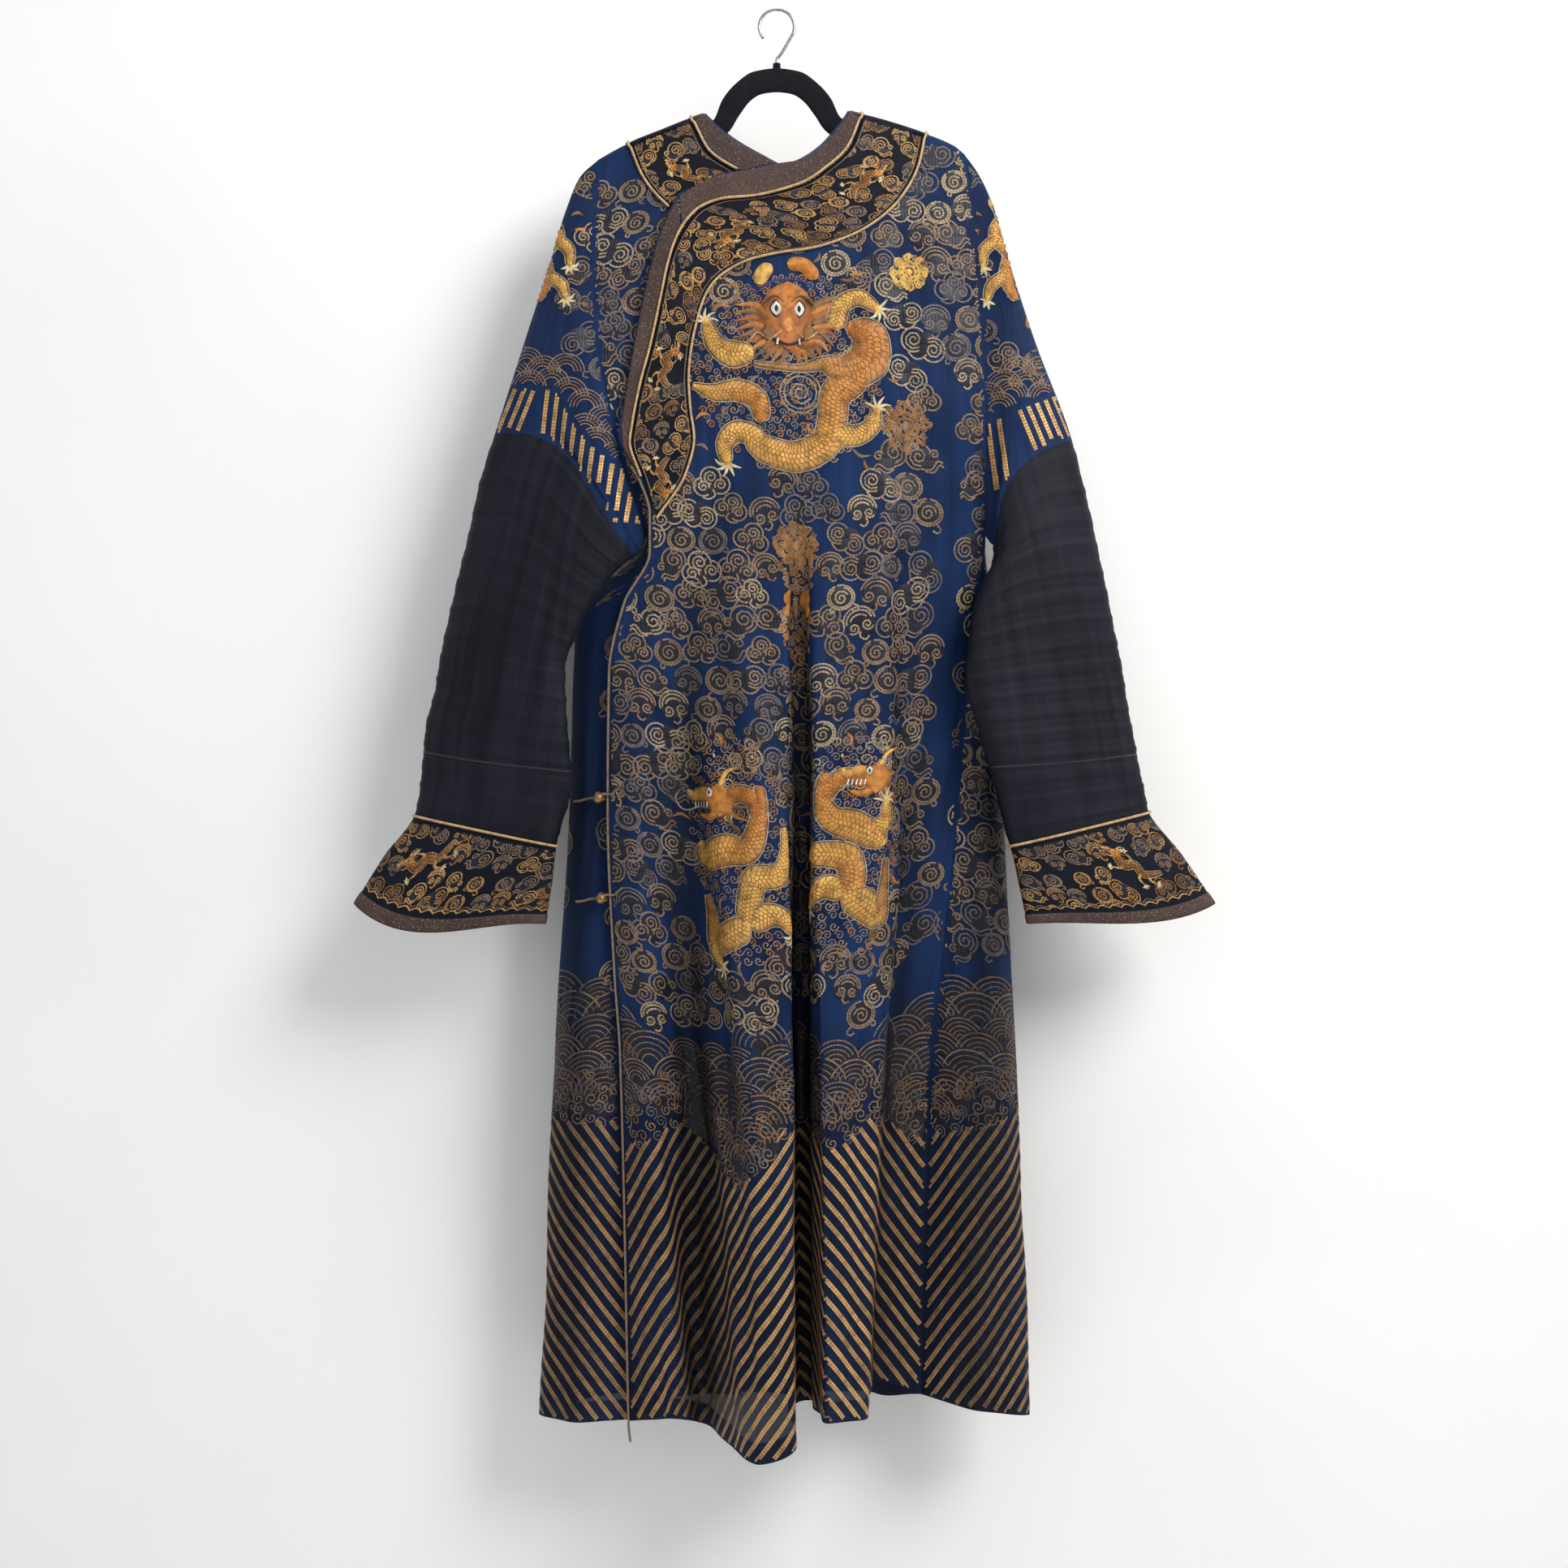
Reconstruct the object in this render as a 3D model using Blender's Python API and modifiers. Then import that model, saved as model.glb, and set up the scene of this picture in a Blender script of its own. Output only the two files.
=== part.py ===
"""A Chinese dragon robe hanging on a velvet coat hanger, as construction solids.

Metres, +Z up, the robe's front faces -Y. The origin is the inside top of the
hanger's hook. Sides are the wearer's: "right" pieces lie at -X.

Every cloth piece is an open surface S(u, v) worked out from the tables below and
thickened into a wall. A table gives, for each fold, its place across the robe and
how far it stands forward at seven levels below the hook. Between folds and between
levels the surface follows a monotone cubic, so no fold overshoots its neighbour.
"""

import math
from collections import namedtuple

import bpy
import numpy as np

MM = 0.001

# ---- Walls and gaps -------------------------------------------------------------
CLOTH = 1.6 * MM          # wall of the silk panels and sleeves
TRIM = 1.0 * MM           # wall of the bands sewn on the panels
SEAM = 0.55 * MM          # each piece stops this far short of a seam
SEAM_TURN = 0.8           # and this share of the wall more for each unit of tan(half the bend)
SHARPEST = 0.8            # cosine at which that stops growing
LIFT = 0.7 * MM           # clear space between a panel's wall and what lies on it
CORD_LIFT = 0.6 * MM      # clear space between a band's wall and the cord along its edge

# ---- The hanging --------------------------------------------------------------------
FOLD_RADIUS = 4.2 * MM    # cloth bent over the hanger's arms, at mid wall
SETTLE = 60 * MM          # below the shoulder fold the cloth opens out over this length
UNDERARM = 570 * MM       # below the hook
LEVELS = np.array([170, 380, 570, 660, 870, 1200, 1530]) * MM

TOP_ROUNDS = 12           # rounds that settle where a panel's columns meet its top edge
LOOK_STEPS = 30           # places looked at between two folds when seeking a point by its x
NUDGE = 1e-3              # step in a surface's own parameters when taking its direction

Fold = namedtuple("Fold", "name across forward hem")

# Each fold of the front, from the overlap's free edge to the left side seam:
# place across and reach forward at each level, and the hem's distance below the
# hook, all in millimetres.
FRONT = (
    Fold("free_edge", (-106, -155, -132, -165, -180, -165, -158), (24, 33, 38, 34, 26, 22, 22), 1522),
    Fold("side_swell", (-77, -115, -104, -130, -149, -131, -118), (25, 35, 40, 40, 38, 42, 46), 1513),
    Fold("side_valley", (-46, -78, -78, -90, -104, -89, -80), (25, 35, 38, 32, 22, 12, 4), 1530),
    Fold("big_ridge", (-19, -32, -28, -28, -27, -23, -18), (25, 36, 43, 50, 66, 88, 105), 1543),
    Fold("ridge_roll", (-2, -2, 6, 9, 13, 17, 21), (25, 36, 42, 48, 60, 76, 90), 1528),
    Fold("slit_right", (4, 8, 13, 14, 16, 15, 14), (25, 35, 38, 36, 29, 10, -4), 1515),
    Fold("centre", (8, 12, 19, 21, 24, 24, 25), (25, 35, 37, 34, 24, 4, -10), 1510),
    Fold("slit_left", (12, 18, 26, 29, 32, 34, 36), (25, 35, 38, 36, 28, 9, -4), 1508),
    Fold("left_ridge", (29, 38, 41, 42, 44, 48, 54), (24, 35, 43, 49, 60, 76, 88), 1505),
    Fold("left_roll", (77, 107, 115, 118, 121, 104, 93), (22, 33, 40, 43, 48, 56, 60), 1508),
    Fold("recess", (134, 142, 140, 138, 136, 118, 102), (16, 28, 30, 27, 18, 0, -12), 1489),
    Fold("plain_strip", (172, 184, 184, 178, 165, 142, 130), (13, 24, 22, 17, 10, -8, -20), 1496),
    Fold("left_side", (203, 222, 226, 212, 194, 166, 158), (10, 15, 4, 4, 4, -14, -26), 1507),
)

# The back, from the left side seam round to the right one. It wraps forward past
# both sides, so its seams lie on the robe's front.
BACK = (
    Fold("left_side", (203, 222, 226, 212, 194, 166, 158), (-10, -13, 4, 4, 4, -14, -26), 1507),
    Fold("left_wrap", (197, 214, 225, 229, 227, 219, 219), (-11, -15, -2, 4, 12, 12, 14), 1514),
    Fold("left_far", (190, 205, 222, 238, 246, 266, 277), (-12, -18, -10, -7, -6, -12, -16), 1526),
    Fold("left_turn", (180, 194, 208, 220, 226, 240, 246), (-13, -21, -22, -25, -30, -36, -40), 1520),
    Fold("left_pleat", (162, 168, 175, 180, 186, 194, 198), (-15, -24, -28, -33, -42, -56, -68), 1517),
    Fold("left_hollow", (125, 125, 128, 130, 132, 134, 138), (-17, -27, -30, -32, -37, -44, -50), 1515),
    Fold("left_back_ridge", (77, 76, 76, 76, 76, 76, 76), (-18, -29, -33, -38, -46, -62, -74), 1517),
    Fold("back_centre", (8, 8, 9, 9, 9, 9, 9), (-18, -29, -32, -34, -40, -50, -56), 1515),
    Fold("right_back_ridge", (-77, -64, -60, -60, -60, -58, -58), (-18, -29, -33, -38, -46, -62, -76), 1517),
    Fold("right_hollow", (-116, -111, -110, -114, -118, -120, -122), (-17, -27, -30, -32, -38, -46, -52), 1515),
    Fold("right_pleat", (-150, -148, -136, -160, -170, -178, -180), (-15, -24, -26, -34, -42, -56, -66), 1518),
    Fold("right_turn", (-171, -166, -148, -200, -208, -222, -228), (-13, -19, -12, -26, -30, -36, -40), 1521),
    Fold("right_far", (-180, -176, -143, -218, -225, -246, -258), (-12, -13, 4, -4, -8, -12, -14), 1524),
    Fold("right_wrap", (-187, -184, -139, -198, -205, -212, -215), (-11, -7, 17, 12, 14, 14, 14), 1526),
    Fold("right_side", (-193, -190, -138, -170, -178, -169, -152), (-10, 0, 26, 18, 12, 10, 8), 1524),
)

# The underlap, from the right side seam to its own free edge, beneath the overlap.
UNDERLAP = (
    Fold("right_side", (-193, -190, -138, -170, -178, -169, -152), (10, 25, 26, 18, 12, 10, 8), 1524),
    Fold("under_swell", (-77, -118, -104, -120, -130, -125, -115), (14, 21, 26, 18, 8, 0, -8), 1506),
    Fold("under_fall", (-42, -52, -52, -65, -75, -80, -78), (15, 22, 24, 18, 4, -6, -14), 1503),
    Fold("under_edge", (18, 4, -4, -14, -24, -34, -40), (15, 22, 24, 18, 2, -8, -18), 1505),
)

# ---- Outlines, as (across, below the hook) in millimetres -------------------------
SHOULDER_FOLD = (
    (-193, 161), (-166, 146), (-124, 129), (-80, 112), (0, 92),
    (91, 112), (149, 129), (192, 146), (203, 155),
)
RIGHT_ARMHOLE = (
    (-193, 161), (-198, 220), (-197, 300), (-190, 380), (-176, 450), (-158, 515), (-138, 570),
)
LEFT_ARMHOLE = ((203, 155), (212, 220), (219, 310), (224, 400), (226, 490), (226, 570))
NECK_FRONT = ((8, 172), (25, 165), (46, 150), (66, 126), (77, 110))
NECK_UNDER = ((-77, 112), (-66, 123), (-45, 141), (-6, 164), (20, 178))
NECK_BACK = ((-77, 112), (-62, 130), (-36, 152), (4, 166), (42, 153), (65, 129), (77, 110))
NECK_HALF = 76.8 * MM     # the neck opening ends here on the shoulder fold
OVERLAP_TOP = ((-106, 203), (-85, 194), (-63, 182), (-28, 176), (-2, 170), (8, 172))
# The overlap's free edge runs from the collar down to the underarm, then out to the side.
OVERLAP_EDGE = (
    (-106, 203), (-127, 249), (-142, 311), (-154, 374), (-164, 434), (-169, 464),
    (-159, 490), (-145, 514), (-134, 550), (-134, 590), (-162, 646), (-178, 720),
    (-180, 868), (-173, 1042), (-167, 1129), (-158, 1522),
)

# ---- Sleeves --------------------------------------------------------------------------
# Each row is a ring from the sleeve's outer fold to its inner fold, in millimetres:
# both ends across and below the hook, how far its middle bows towards the shoulder
# (skew 1 puts most of that near the outer fold), how far each end stands forward, and
# half its thickness.
Ring = namedtuple("Ring", "outer_x outer_drop inner_x inner_drop bow skew outer_fwd inner_fwd half")
RIGHT_SLEEVE = (
    Ring(-193, 161, -138, 570, -26, 0, 0, 26, 13),
    Ring(-213, 180, -140, 575, -25, 0, 0, 28, 15),
    Ring(-229, 218, -142, 580, -22, 0, 0, 31, 19),
    Ring(-246, 274, -144, 584, -18, 0, 0, 33, 22),
    Ring(-275, 366, -146, 588, -5, 0, 0, 34, 24),
    Ring(-307, 463, -150, 594, 28, 1, 0, 35, 24),
    Ring(-323, 516, -168, 608, 23, 1, 0, 38, 22),
    Ring(-335, 573, -191, 638, 16, 1, 0, 40, 20),
    Ring(-349, 630, -212, 676, 10, 1, 0, 40, 20),
    Ring(-363, 692, -225, 714, 5, 1, 1, 38, 20),
    Ring(-370, 736, -224, 762, 2, 1, 2, 38, 20),
    Ring(-380, 775, -221, 802, 0, 1, 2, 38, 20),
    Ring(-383, 815, -218, 837, 0, 1, 3, 37, 20),
    Ring(-392, 869, -234, 901, 0, 1, 4, 34, 20),
    Ring(-424, 916, -241, 947, -8, 1, 6, 29, 19),
    Ring(-457, 967, -248, 988, -19, 1, 6, 24, 17),
)
LEFT_SLEEVE = (
    Ring(203, 155, 226, 570, -8, 0, 0, 4, 13),
    Ring(218, 176, 229, 574, -9, 0, 0, 5, 15),
    Ring(234, 210, 231, 577, -8, 0, 0, 6, 18),
    Ring(254, 280, 233, 579, -2, 0, 0, 7, 21),
    Ring(283, 366, 235, 581, 12, 0, 0, 8, 24),
    Ring(320, 467, 236, 586, 30, 0, 0, 10, 26),
    Ring(334, 524, 232, 602, 23, 0, 0, 20, 25),
    Ring(349, 586, 217, 632, 13, 0, 0, 36, 21),
    Ring(362, 652, 205, 683, 5, 0, 0, 42, 20),
    Ring(373, 709, 201, 731, 0, 0, 1, 44, 20),
    Ring(383, 766, 215, 782, 0, 0, 2, 44, 20),
    Ring(391, 815, 230, 831, 0, 0, 3, 42, 20),
    Ring(396, 841, 238, 862, 0, 0, 4, 38, 20),
    Ring(401, 866, 248, 901, 0, 0, 5, 34, 20),
    Ring(437, 913, 259, 944, -4, 1, 6, 28, 19),
    Ring(474, 967, 269, 988, -10, 1, 6, 24, 17),
)
ARMHOLE, ELBOW_SEAM, CUFF_SEAM, CUFF_END = 0, 5, 13, 15    # rows of the tables above
SLEEVES = {"right": RIGHT_SLEEVE, "left": LEFT_SLEEVE}
ARMHOLES = {"right_side": RIGHT_ARMHOLE, "left_side": LEFT_ARMHOLE}
# Each sleeve's front panel, and which fold of it and of the back borders the armhole.
SLEEVE_EDGES = {
    "right": (UNDERLAP, 0, len(BACK) - 1),
    "left": (FRONT, len(FRONT) - 1, 0),
}
BLUNT = 0.75              # under 1 rounds the folded ends of a sleeve's ring
RIBS = 16                 # pressed ribs along each plain lower sleeve
RIB_HEIGHT = 1.3 * MM
CUFF_BAND = 13 * MM       # brocade edging round the cuff's mouth
BLEND_ROWS = 3            # a sleeve leaves the armhole's own edge over this many rings
# How far each sleeve piece starts and ends short of its seams, further where it turns.
ARMHOLE_SHIFT = 2.6 * MM
ELBOW_SHIFT = 0.55 * MM
CUFF_SHIFT = 0.35 * MM
CUFF_CORD_ROW = 3.5 * MM  # its cord lies this far below the cuff's upper edge
# Degrees round a sleeve's ring from its outer fold, closer together at both folds.
RING_TURNS = (0, 9, 27, 50, 73, 97, 122, 149, 171, 180, 189, 211, 238, 263, 287, 310, 333, 351)

# ---- Bands on the panels, as (across, below the hook) in millimetres ----------------
# Each band lies between two edges that run side by side from its start to its end.
COLLAR_INNER = (
    (79, 110), (67.5, 127), (47.5, 151.5), (26, 166.5), (-2, 171.5), (-28, 177.5), (-63, 183.5), (-104, 205),
)
COLLAR_OUTER = (
    (92, 113), (76, 152), (54, 174), (28, 192), (-19, 206), (-57, 210), (-82, 219), (-101, 240),
)
COLLAR_UNDER_INNER = ((-79, 112), (-67, 124.5), (-46, 142.5), (-38, 148), (-2, 168))
COLLAR_UNDER_OUTER = ((-92, 117), (-72, 155), (-50, 171), (-43, 175), (-14, 192))
COLLAR_BACK_INNER = ((-79, 112), (-63, 131), (-37, 153), (4, 167), (43, 154), (66, 130), (79, 110))
COLLAR_BACK_OUTER = ((-92, 117), (-78, 152), (-46, 180), (4, 195), (50, 180), (78, 150), (92, 113))
YOKE_FRONT_INNER = (
    (94, 113), (78, 153), (56, 175), (30, 193), (-18, 207), (-56, 211), (-81, 220),
    (-99, 241), (-108, 258), (-116, 283), (-122, 313), (-134, 370), (-145, 412), (-153, 455),
    (-156, 475), (-143, 512), (-132, 546),
)
YOKE_FRONT_OUTER = (
    (161, 133), (153, 170), (137, 202), (110, 231), (74, 252), (38, 264), (0, 270),
    (-34, 279), (-61, 295), (-77, 317), (-85, 343), (-91, 372), (-94, 405), (-92, 438),
    (-88, 470), (-98, 510), (-127, 554),
)
YOKE_UNDER_INNER = ((-94, 117), (-74, 156), (-52, 172), (-34, 183))
YOKE_UNDER_OUTER = ((-160, 144), (-145, 181), (-130, 202), (-117, 215))
YOKE_BACK_INNER = ((-94, 117), (-80, 153), (-47, 181), (4, 196), (52, 181), (80, 151), (94, 113))
YOKE_BACK_OUTER = ((-160, 144), (-140, 190), (-85, 240), (4, 262), (88, 240), (142, 186), (161, 133))
EDGE_STRIP_INNER = (
    (-103, 240), (-110, 256), (-118, 283), (-124, 313), (-136, 370), (-147, 412),
    (-155, 452), (-157, 474), (-145, 510),
)
EDGE_STRIP_OUTER = (
    (-107, 208), (-126, 250), (-134, 280), (-141, 311), (-153, 374), (-163, 434),
    (-166, 458), (-164, 476), (-148, 506),
)

# The cord down the seam between the yoke and the brown strip, from the collar's corner.
EDGE_PIPING = (
    (-109, 256), (-117, 283), (-123, 313), (-135, 370), (-146, 412), (-154, 453.5),
    (-156.5, 474.5), (-145, 509),
)

PIPING = 1.5 * MM         # radius of the gold cord along the bands
PIPING_ROWS = 2.3         # points of the cord for each point of its table
SIDE_CORD = 1.4 * MM      # radius of the cord along the overlap's free edge
CORD_TAIL = ((0.5, 0, -11), (2, -1, -22))     # its loose end, from the hem, in millimetres

# ---- Buttons ----------------------------------------------------------------------------
BUTTON_RADIUS = 5.6 * MM
BUTTON_DROPS = (853 * MM, 961 * MM)
BUTTON_BESIDE_EDGE = 11 * MM
BUTTON_FORWARD = 1 * MM   # its middle stands this far forward of the overlap's edge
LOOP_RADIUS = 1.2 * MM
EDGE_CORD_FROM = 500 * MM     # the cord down the overlap's edge starts here, below the hook
# Where the cords that hold a button lie, (across, below) from the overlap's edge and the
# button's height, in millimetres: on the overlap, and on the back panel's wrapped edge.
HOLD_CORD = ((3, -4), (8, -8), (13, -12))
HOLD_LOOP = ((-24, 1), (-31, 3), (-38, 4))
# The direction from the button's middle in which each of them starts.
HOLD_CORD_FROM = (0.6, -0.45, 0.6)
HOLD_LOOP_FROM = (-0.9, 0.4, 0.0)

# ---- Hanger -------------------------------------------------------------------------
HANGER_THICK = 6.0 * MM
# The flat band's upper and lower edges, (across, below the hook) in millimetres. Its
# arms run just under the shoulder fold, and the middle rises out of the neck opening.
HANGER_UPPER = (
    (-204, 180), (-193, 165.5), (-166, 149), (-124, 132), (-90, 121), (-77, 121.5), (-69, 118.5),
    (-59, 96), (-44, 78), (-25, 65.5), (0, 62), (25, 65.5), (44, 78), (59, 95), (69, 115),
    (77, 119), (91, 120), (120, 125), (149, 133.5), (180, 144.5), (196, 155.5), (208, 170),
)
HANGER_LOWER = (
    (-196, 190), (-184, 181), (-157, 170), (-115, 155), (-80, 145), (-63, 139), (-52, 131),
    (-41, 114), (-29, 98), (-16, 90), (0, 88), (16, 90), (29, 98), (41, 113), (52, 129),
    (63, 137), (81, 142), (112, 149), (141, 156), (172, 165), (187, 173), (200, 181),
)
HANGER_RINGS = 35         # sections along the band, each with HANGER_SIDES points
HANGER_SIDES = 10
HANGER_SQUARE = 0.6       # under 1 squares the band's section
END_ROUND = 8 * MM        # the band's ends round off over this length
END_SHARE = 0.15          # down to this share of its height, squared
FERRULE_RADIUS, FERRULE_HEIGHT = 4.5 * MM, 5 * MM
FERRULE_TOP = 56.7 * MM   # below the hook's inside top
HOOK_WIRE = 1.9 * MM      # radius
HOOK_BEND = 19 * MM       # radius of the hook's wire centre line
HOOK_ANGLES = (-25, 215)  # degrees round from the +X side, past the crown
# The stem's points from the ferrule's top, (across, up) in millimetres.
HOOK_STEM = ((0, 0.8), (0.5, 5), (6, 12))

COLOURS = {
    "silk_blue": (0.012, 0.040, 0.13, 0.55, 0.0),
    "silk_dark": (0.010, 0.011, 0.022, 0.5, 0.0),
    "band_black": (0.012, 0.012, 0.018, 0.6, 0.0),
    "brocade_brown": (0.10, 0.055, 0.048, 0.65, 0.0),
    "gold_cord": (0.62, 0.42, 0.20, 0.4, 0.3),
    "brass": (0.78, 0.57, 0.26, 0.25, 1.0),
    "velvet_black": (0.004, 0.004, 0.006, 0.95, 0.0),
    "chrome": (0.75, 0.76, 0.78, 0.12, 1.0),
}


# ---- Curves through tables --------------------------------------------------------------
def slopes(steps):
    """Harmonic mean of the two neighbouring steps, zero at a turning point."""
    inner = np.zeros_like(steps[1:])
    same = steps[1:] * steps[:-1] > 0
    inner[same] = 2 * (steps[1:] * steps[:-1])[same] / (steps[1:] + steps[:-1])[same]
    return np.concatenate([steps[:1], inner, steps[-1:]])


def monotone(knots, values, at):
    """Monotone cubic through (knots, values), read at every entry of at."""
    knots = np.asarray(knots, float)
    values = np.asarray(values, float)
    gaps = np.diff(knots)
    tangent = slopes(np.diff(values) / gaps)
    at = np.clip(at, knots[0], knots[-1])
    i = np.clip(np.searchsorted(knots, at, side="right") - 1, 0, len(gaps) - 1)
    t = (at - knots[i]) / gaps[i]
    return hermite(t, values[i], values[i + 1], tangent[i] * gaps[i], tangent[i + 1] * gaps[i])


def hermite(t, start, end, leave, arrive):
    """Cubic from start to end with the given end slopes, t from 0 to 1."""
    return (
        start * (2 * t**3 - 3 * t**2 + 1)
        + end * (3 * t**2 - 2 * t**3)
        + leave * (t**3 - 2 * t**2 + t)
        + arrive * (t**3 - t**2)
    )


def across(columns, u):
    """Monotone cubic through columns[0], columns[1], ... read at u, point by point."""
    tangent = slopes(np.diff(columns, axis=0))
    i = np.clip(np.floor(u).astype(int), 0, len(columns) - 2)

    def take(array, index):
        return np.take_along_axis(array, index[None], axis=0)[0]

    return hermite(
        u - i, take(columns, i), take(columns, i + 1), take(tangent, i), take(tangent, i + 1)
    )


def outline(points, at, along=0):
    """Reads an outline table at distances across (along=0) or below the hook (along=1)."""
    table = np.array(points) * MM
    table = table[np.argsort(table[:, along], kind="stable")]
    return monotone(table[:, along], table[:, 1 - along], at)


# ---- The robe's body ------------------------------------------------------------------
def opened(x, drop, reach):
    """How far cloth stands off the hanger's plane: round over the fold, then out to reach."""
    below = np.maximum(drop - outline(SHOULDER_FOLD, x), 0)
    bend = FOLD_RADIUS * np.sqrt(1 - (1 - np.minimum(below / FOLD_RADIUS, 1)) ** 2)
    return bend + (reach - FOLD_RADIUS) * (1 - np.exp(-below / SETTLE))


def ring_point(rings, row, turn):
    """A sleeve's surface: row runs down the table, turn goes round from the outer fold.

    Along a ring the middle line runs from the outer to the inner fold by
    s = (1 - cos turn) / 2, bowed by 4 s (1 - s) (1 + skew (1 - 2 s)), and stands off it by
    half * |sin turn| ** BLUNT, forward for the first half turn and backward after.
    """
    table = np.array(rings, float) * MM
    row = np.asarray(row, float)
    cells = np.stack([across(np.broadcast_to(
        table[:, c].reshape((-1,) + (1,) * row.ndim), (len(table),) + row.shape), row)
        for c in range(table.shape[1])])
    outer_x, outer_drop, inner_x, inner_drop, bow, skew, outer_fwd, inner_fwd, half = cells
    skew = skew / MM
    s = (1 - np.cos(turn)) / 2
    run_x, run_drop = inner_x - outer_x, inner_drop - outer_drop
    length = np.hypot(run_x, run_drop)
    side = np.sign(rings[0].outer_x)
    lean = bow * 4 * s * (1 - s) * (1 + skew * (1 - 2 * s))
    x = outer_x + run_x * s - side * lean * np.abs(run_drop) / length
    drop = outer_drop + run_drop * s - lean * np.abs(run_x) / length
    stand = half * np.abs(np.sin(turn)) ** BLUNT * np.where(np.sin(turn) >= 0, 1, -1)
    forward = outer_fwd + (inner_fwd - outer_fwd) * s + stand
    return np.stack([x, -forward, -drop], axis=-1)


def panel_point(folds, facing, u, drop):
    """A body panel's surface: u counts its folds, drop is the distance below the hook."""
    xs, reaches = [], []
    for fold in folds:
        x = monotone(LEVELS, np.array(fold.across) * MM, drop)
        if fold.name == "free_edge":
            x = outline(OVERLAP_EDGE, drop, along=1)
        if fold.name in ARMHOLES:
            x = np.where(drop < UNDERARM, outline(ARMHOLES[fold.name], drop, along=1), x)
        xs.append(x)
        reaches.append(monotone(LEVELS, np.array(fold.forward) * MM, drop))
    x = across(np.stack(xs), u)
    reach = across(np.stack(reaches), u)
    return np.stack([x, -facing * opened(x, drop, facing * reach), -drop], axis=-1)


def sleeve_point(side, row, turn):
    """A sleeve's surface: its rings, drawn at the armhole onto the panels' own edges."""
    rings = SLEEVES[side]
    here = ring_point(rings, row, turn)
    start = ring_point(rings, np.zeros_like(row), turn)
    drop = -start[..., 2]
    front, front_fold, back_fold = SLEEVE_EDGES[side]
    edge = np.where(
        (np.sin(turn) >= 0)[..., None],
        panel_point(front, 1, np.full_like(drop, front_fold), drop),
        panel_point(BACK, -1, np.full_like(drop, back_fold), drop),
    )
    fade = np.clip(1 - row / BLEND_ROWS, 0, 1)[..., None] ** 2
    return here + (edge - start) * fade


def top_drop(folds, facing, edge, u):
    """Distance below the hook of a panel's top edge, where its column u meets edge(x)."""
    drop = np.full(np.shape(u), LEVELS[0])
    for _ in range(TOP_ROUNDS):
        drop = edge(panel_point(folds, facing, u, drop)[..., 0])
    return drop


def shoulder_or(neck):
    """Top edge: the shoulder fold, cut away by a neckline within NECK_HALF of the middle."""

    def edge(x):
        fold = outline(SHOULDER_FOLD, x)
        return np.where(np.abs(x) < NECK_HALF, outline(neck, x), fold)

    return edge


def overlap_top(x):
    return outline(OVERLAP_TOP, x)


FOLD_ROWS = FOLD_RADIUS * (1 - np.cos(np.radians([6.5, 30, 60, 90])))
ROW_SHARES = np.array([
    0.007, 0.03, 0.07, 0.12, 0.175, 0.225, 0.265, 0.3, 0.34, 0.38, 0.44,
    0.52, 0.61, 0.7, 0.8, 0.9, 1.0,
])


def row_drops(top, hem):
    """Rows of a panel: over the shoulder fold, then at shares of the way to the hem."""
    start = top + FOLD_ROWS[-1]
    down = start[:, None] + (hem - start)[:, None] * ROW_SHARES[None, :]
    return np.concatenate([top[:, None] + FOLD_ROWS[None, :], down], axis=1)


def panel_grid(folds, facing, edge, first, last, steps):
    """Points of the panel from one named fold to another, with steps between its folds."""
    names = [fold.name for fold in folds]
    lo, hi = names.index(first), names.index(last)
    u = np.concatenate([np.arange(n) / n + lo + i for i, n in enumerate(steps)] + [[hi]])
    hems = monotone(np.arange(len(folds)), np.array([f.hem for f in folds]) * MM, u)
    drop = row_drops(top_drop(folds, facing, edge, u), hems)
    return panel_point(folds, facing, np.broadcast_to(u[:, None], drop.shape), drop)


def part_seam(one, end, other, start):
    """Draws two panels back from the seam they share, further where they meet at an angle.

    Below the underarm the pull-back is SEAM + SEAM_TURN * wall * tan(half the bend).
    Above it the two edges border an armhole, where a sleeve leaves its own clear space.
    """
    sides = []
    for grid, edge in ((one, end), (other, start)):
        inward = grid[edge + 1 if edge == 0 else edge - 1] - grid[edge]
        sides.append(inward / np.linalg.norm(inward, axis=-1, keepdims=True))
    cosine = np.clip(np.sum(sides[0] * sides[1], axis=-1), -1, SHARPEST)
    pull = SEAM + SEAM_TURN * CLOTH * np.sqrt((1 + cosine) / (1 - cosine))
    apart = np.linalg.norm(one[end] - other[start], axis=-1) > SEAM
    over_fold = np.arange(len(pull)) < len(FOLD_ROWS)
    pull = np.where(apart | over_fold, SEAM, pull)[:, None]
    one[end] += sides[0] * pull
    other[start] += sides[1] * pull


# ---- Meshes ------------------------------------------------------------------------------
def grid_faces(rows, columns, closed=False):
    """Quads of a grid of rows x columns points, joined round if closed."""
    i, j = np.meshgrid(np.arange(rows - 1), np.arange(columns - (not closed)), indexing="ij")
    k = (j + 1) % columns
    return np.stack(
        [i * columns + j, i * columns + k, (i + 1) * columns + k, (i + 1) * columns + j], axis=-1
    ).reshape(-1, 4)


def add_mesh(name, points, faces, colour, smooth=True):
    mesh = bpy.data.meshes.new(name)
    mesh.from_pydata(points.reshape(-1, 3).tolist(), [], faces.tolist())
    mesh.update()
    if smooth:
        mesh.shade_smooth()
        mesh.set_sharp_from_angle(angle=math.radians(40))
    return add_object(name, mesh, colour)


def add_object(name, data, colour):
    obj = bpy.data.objects.new(name, data)
    robe.objects.link(obj)
    data.materials.append(materials[colour])
    return obj


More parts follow.
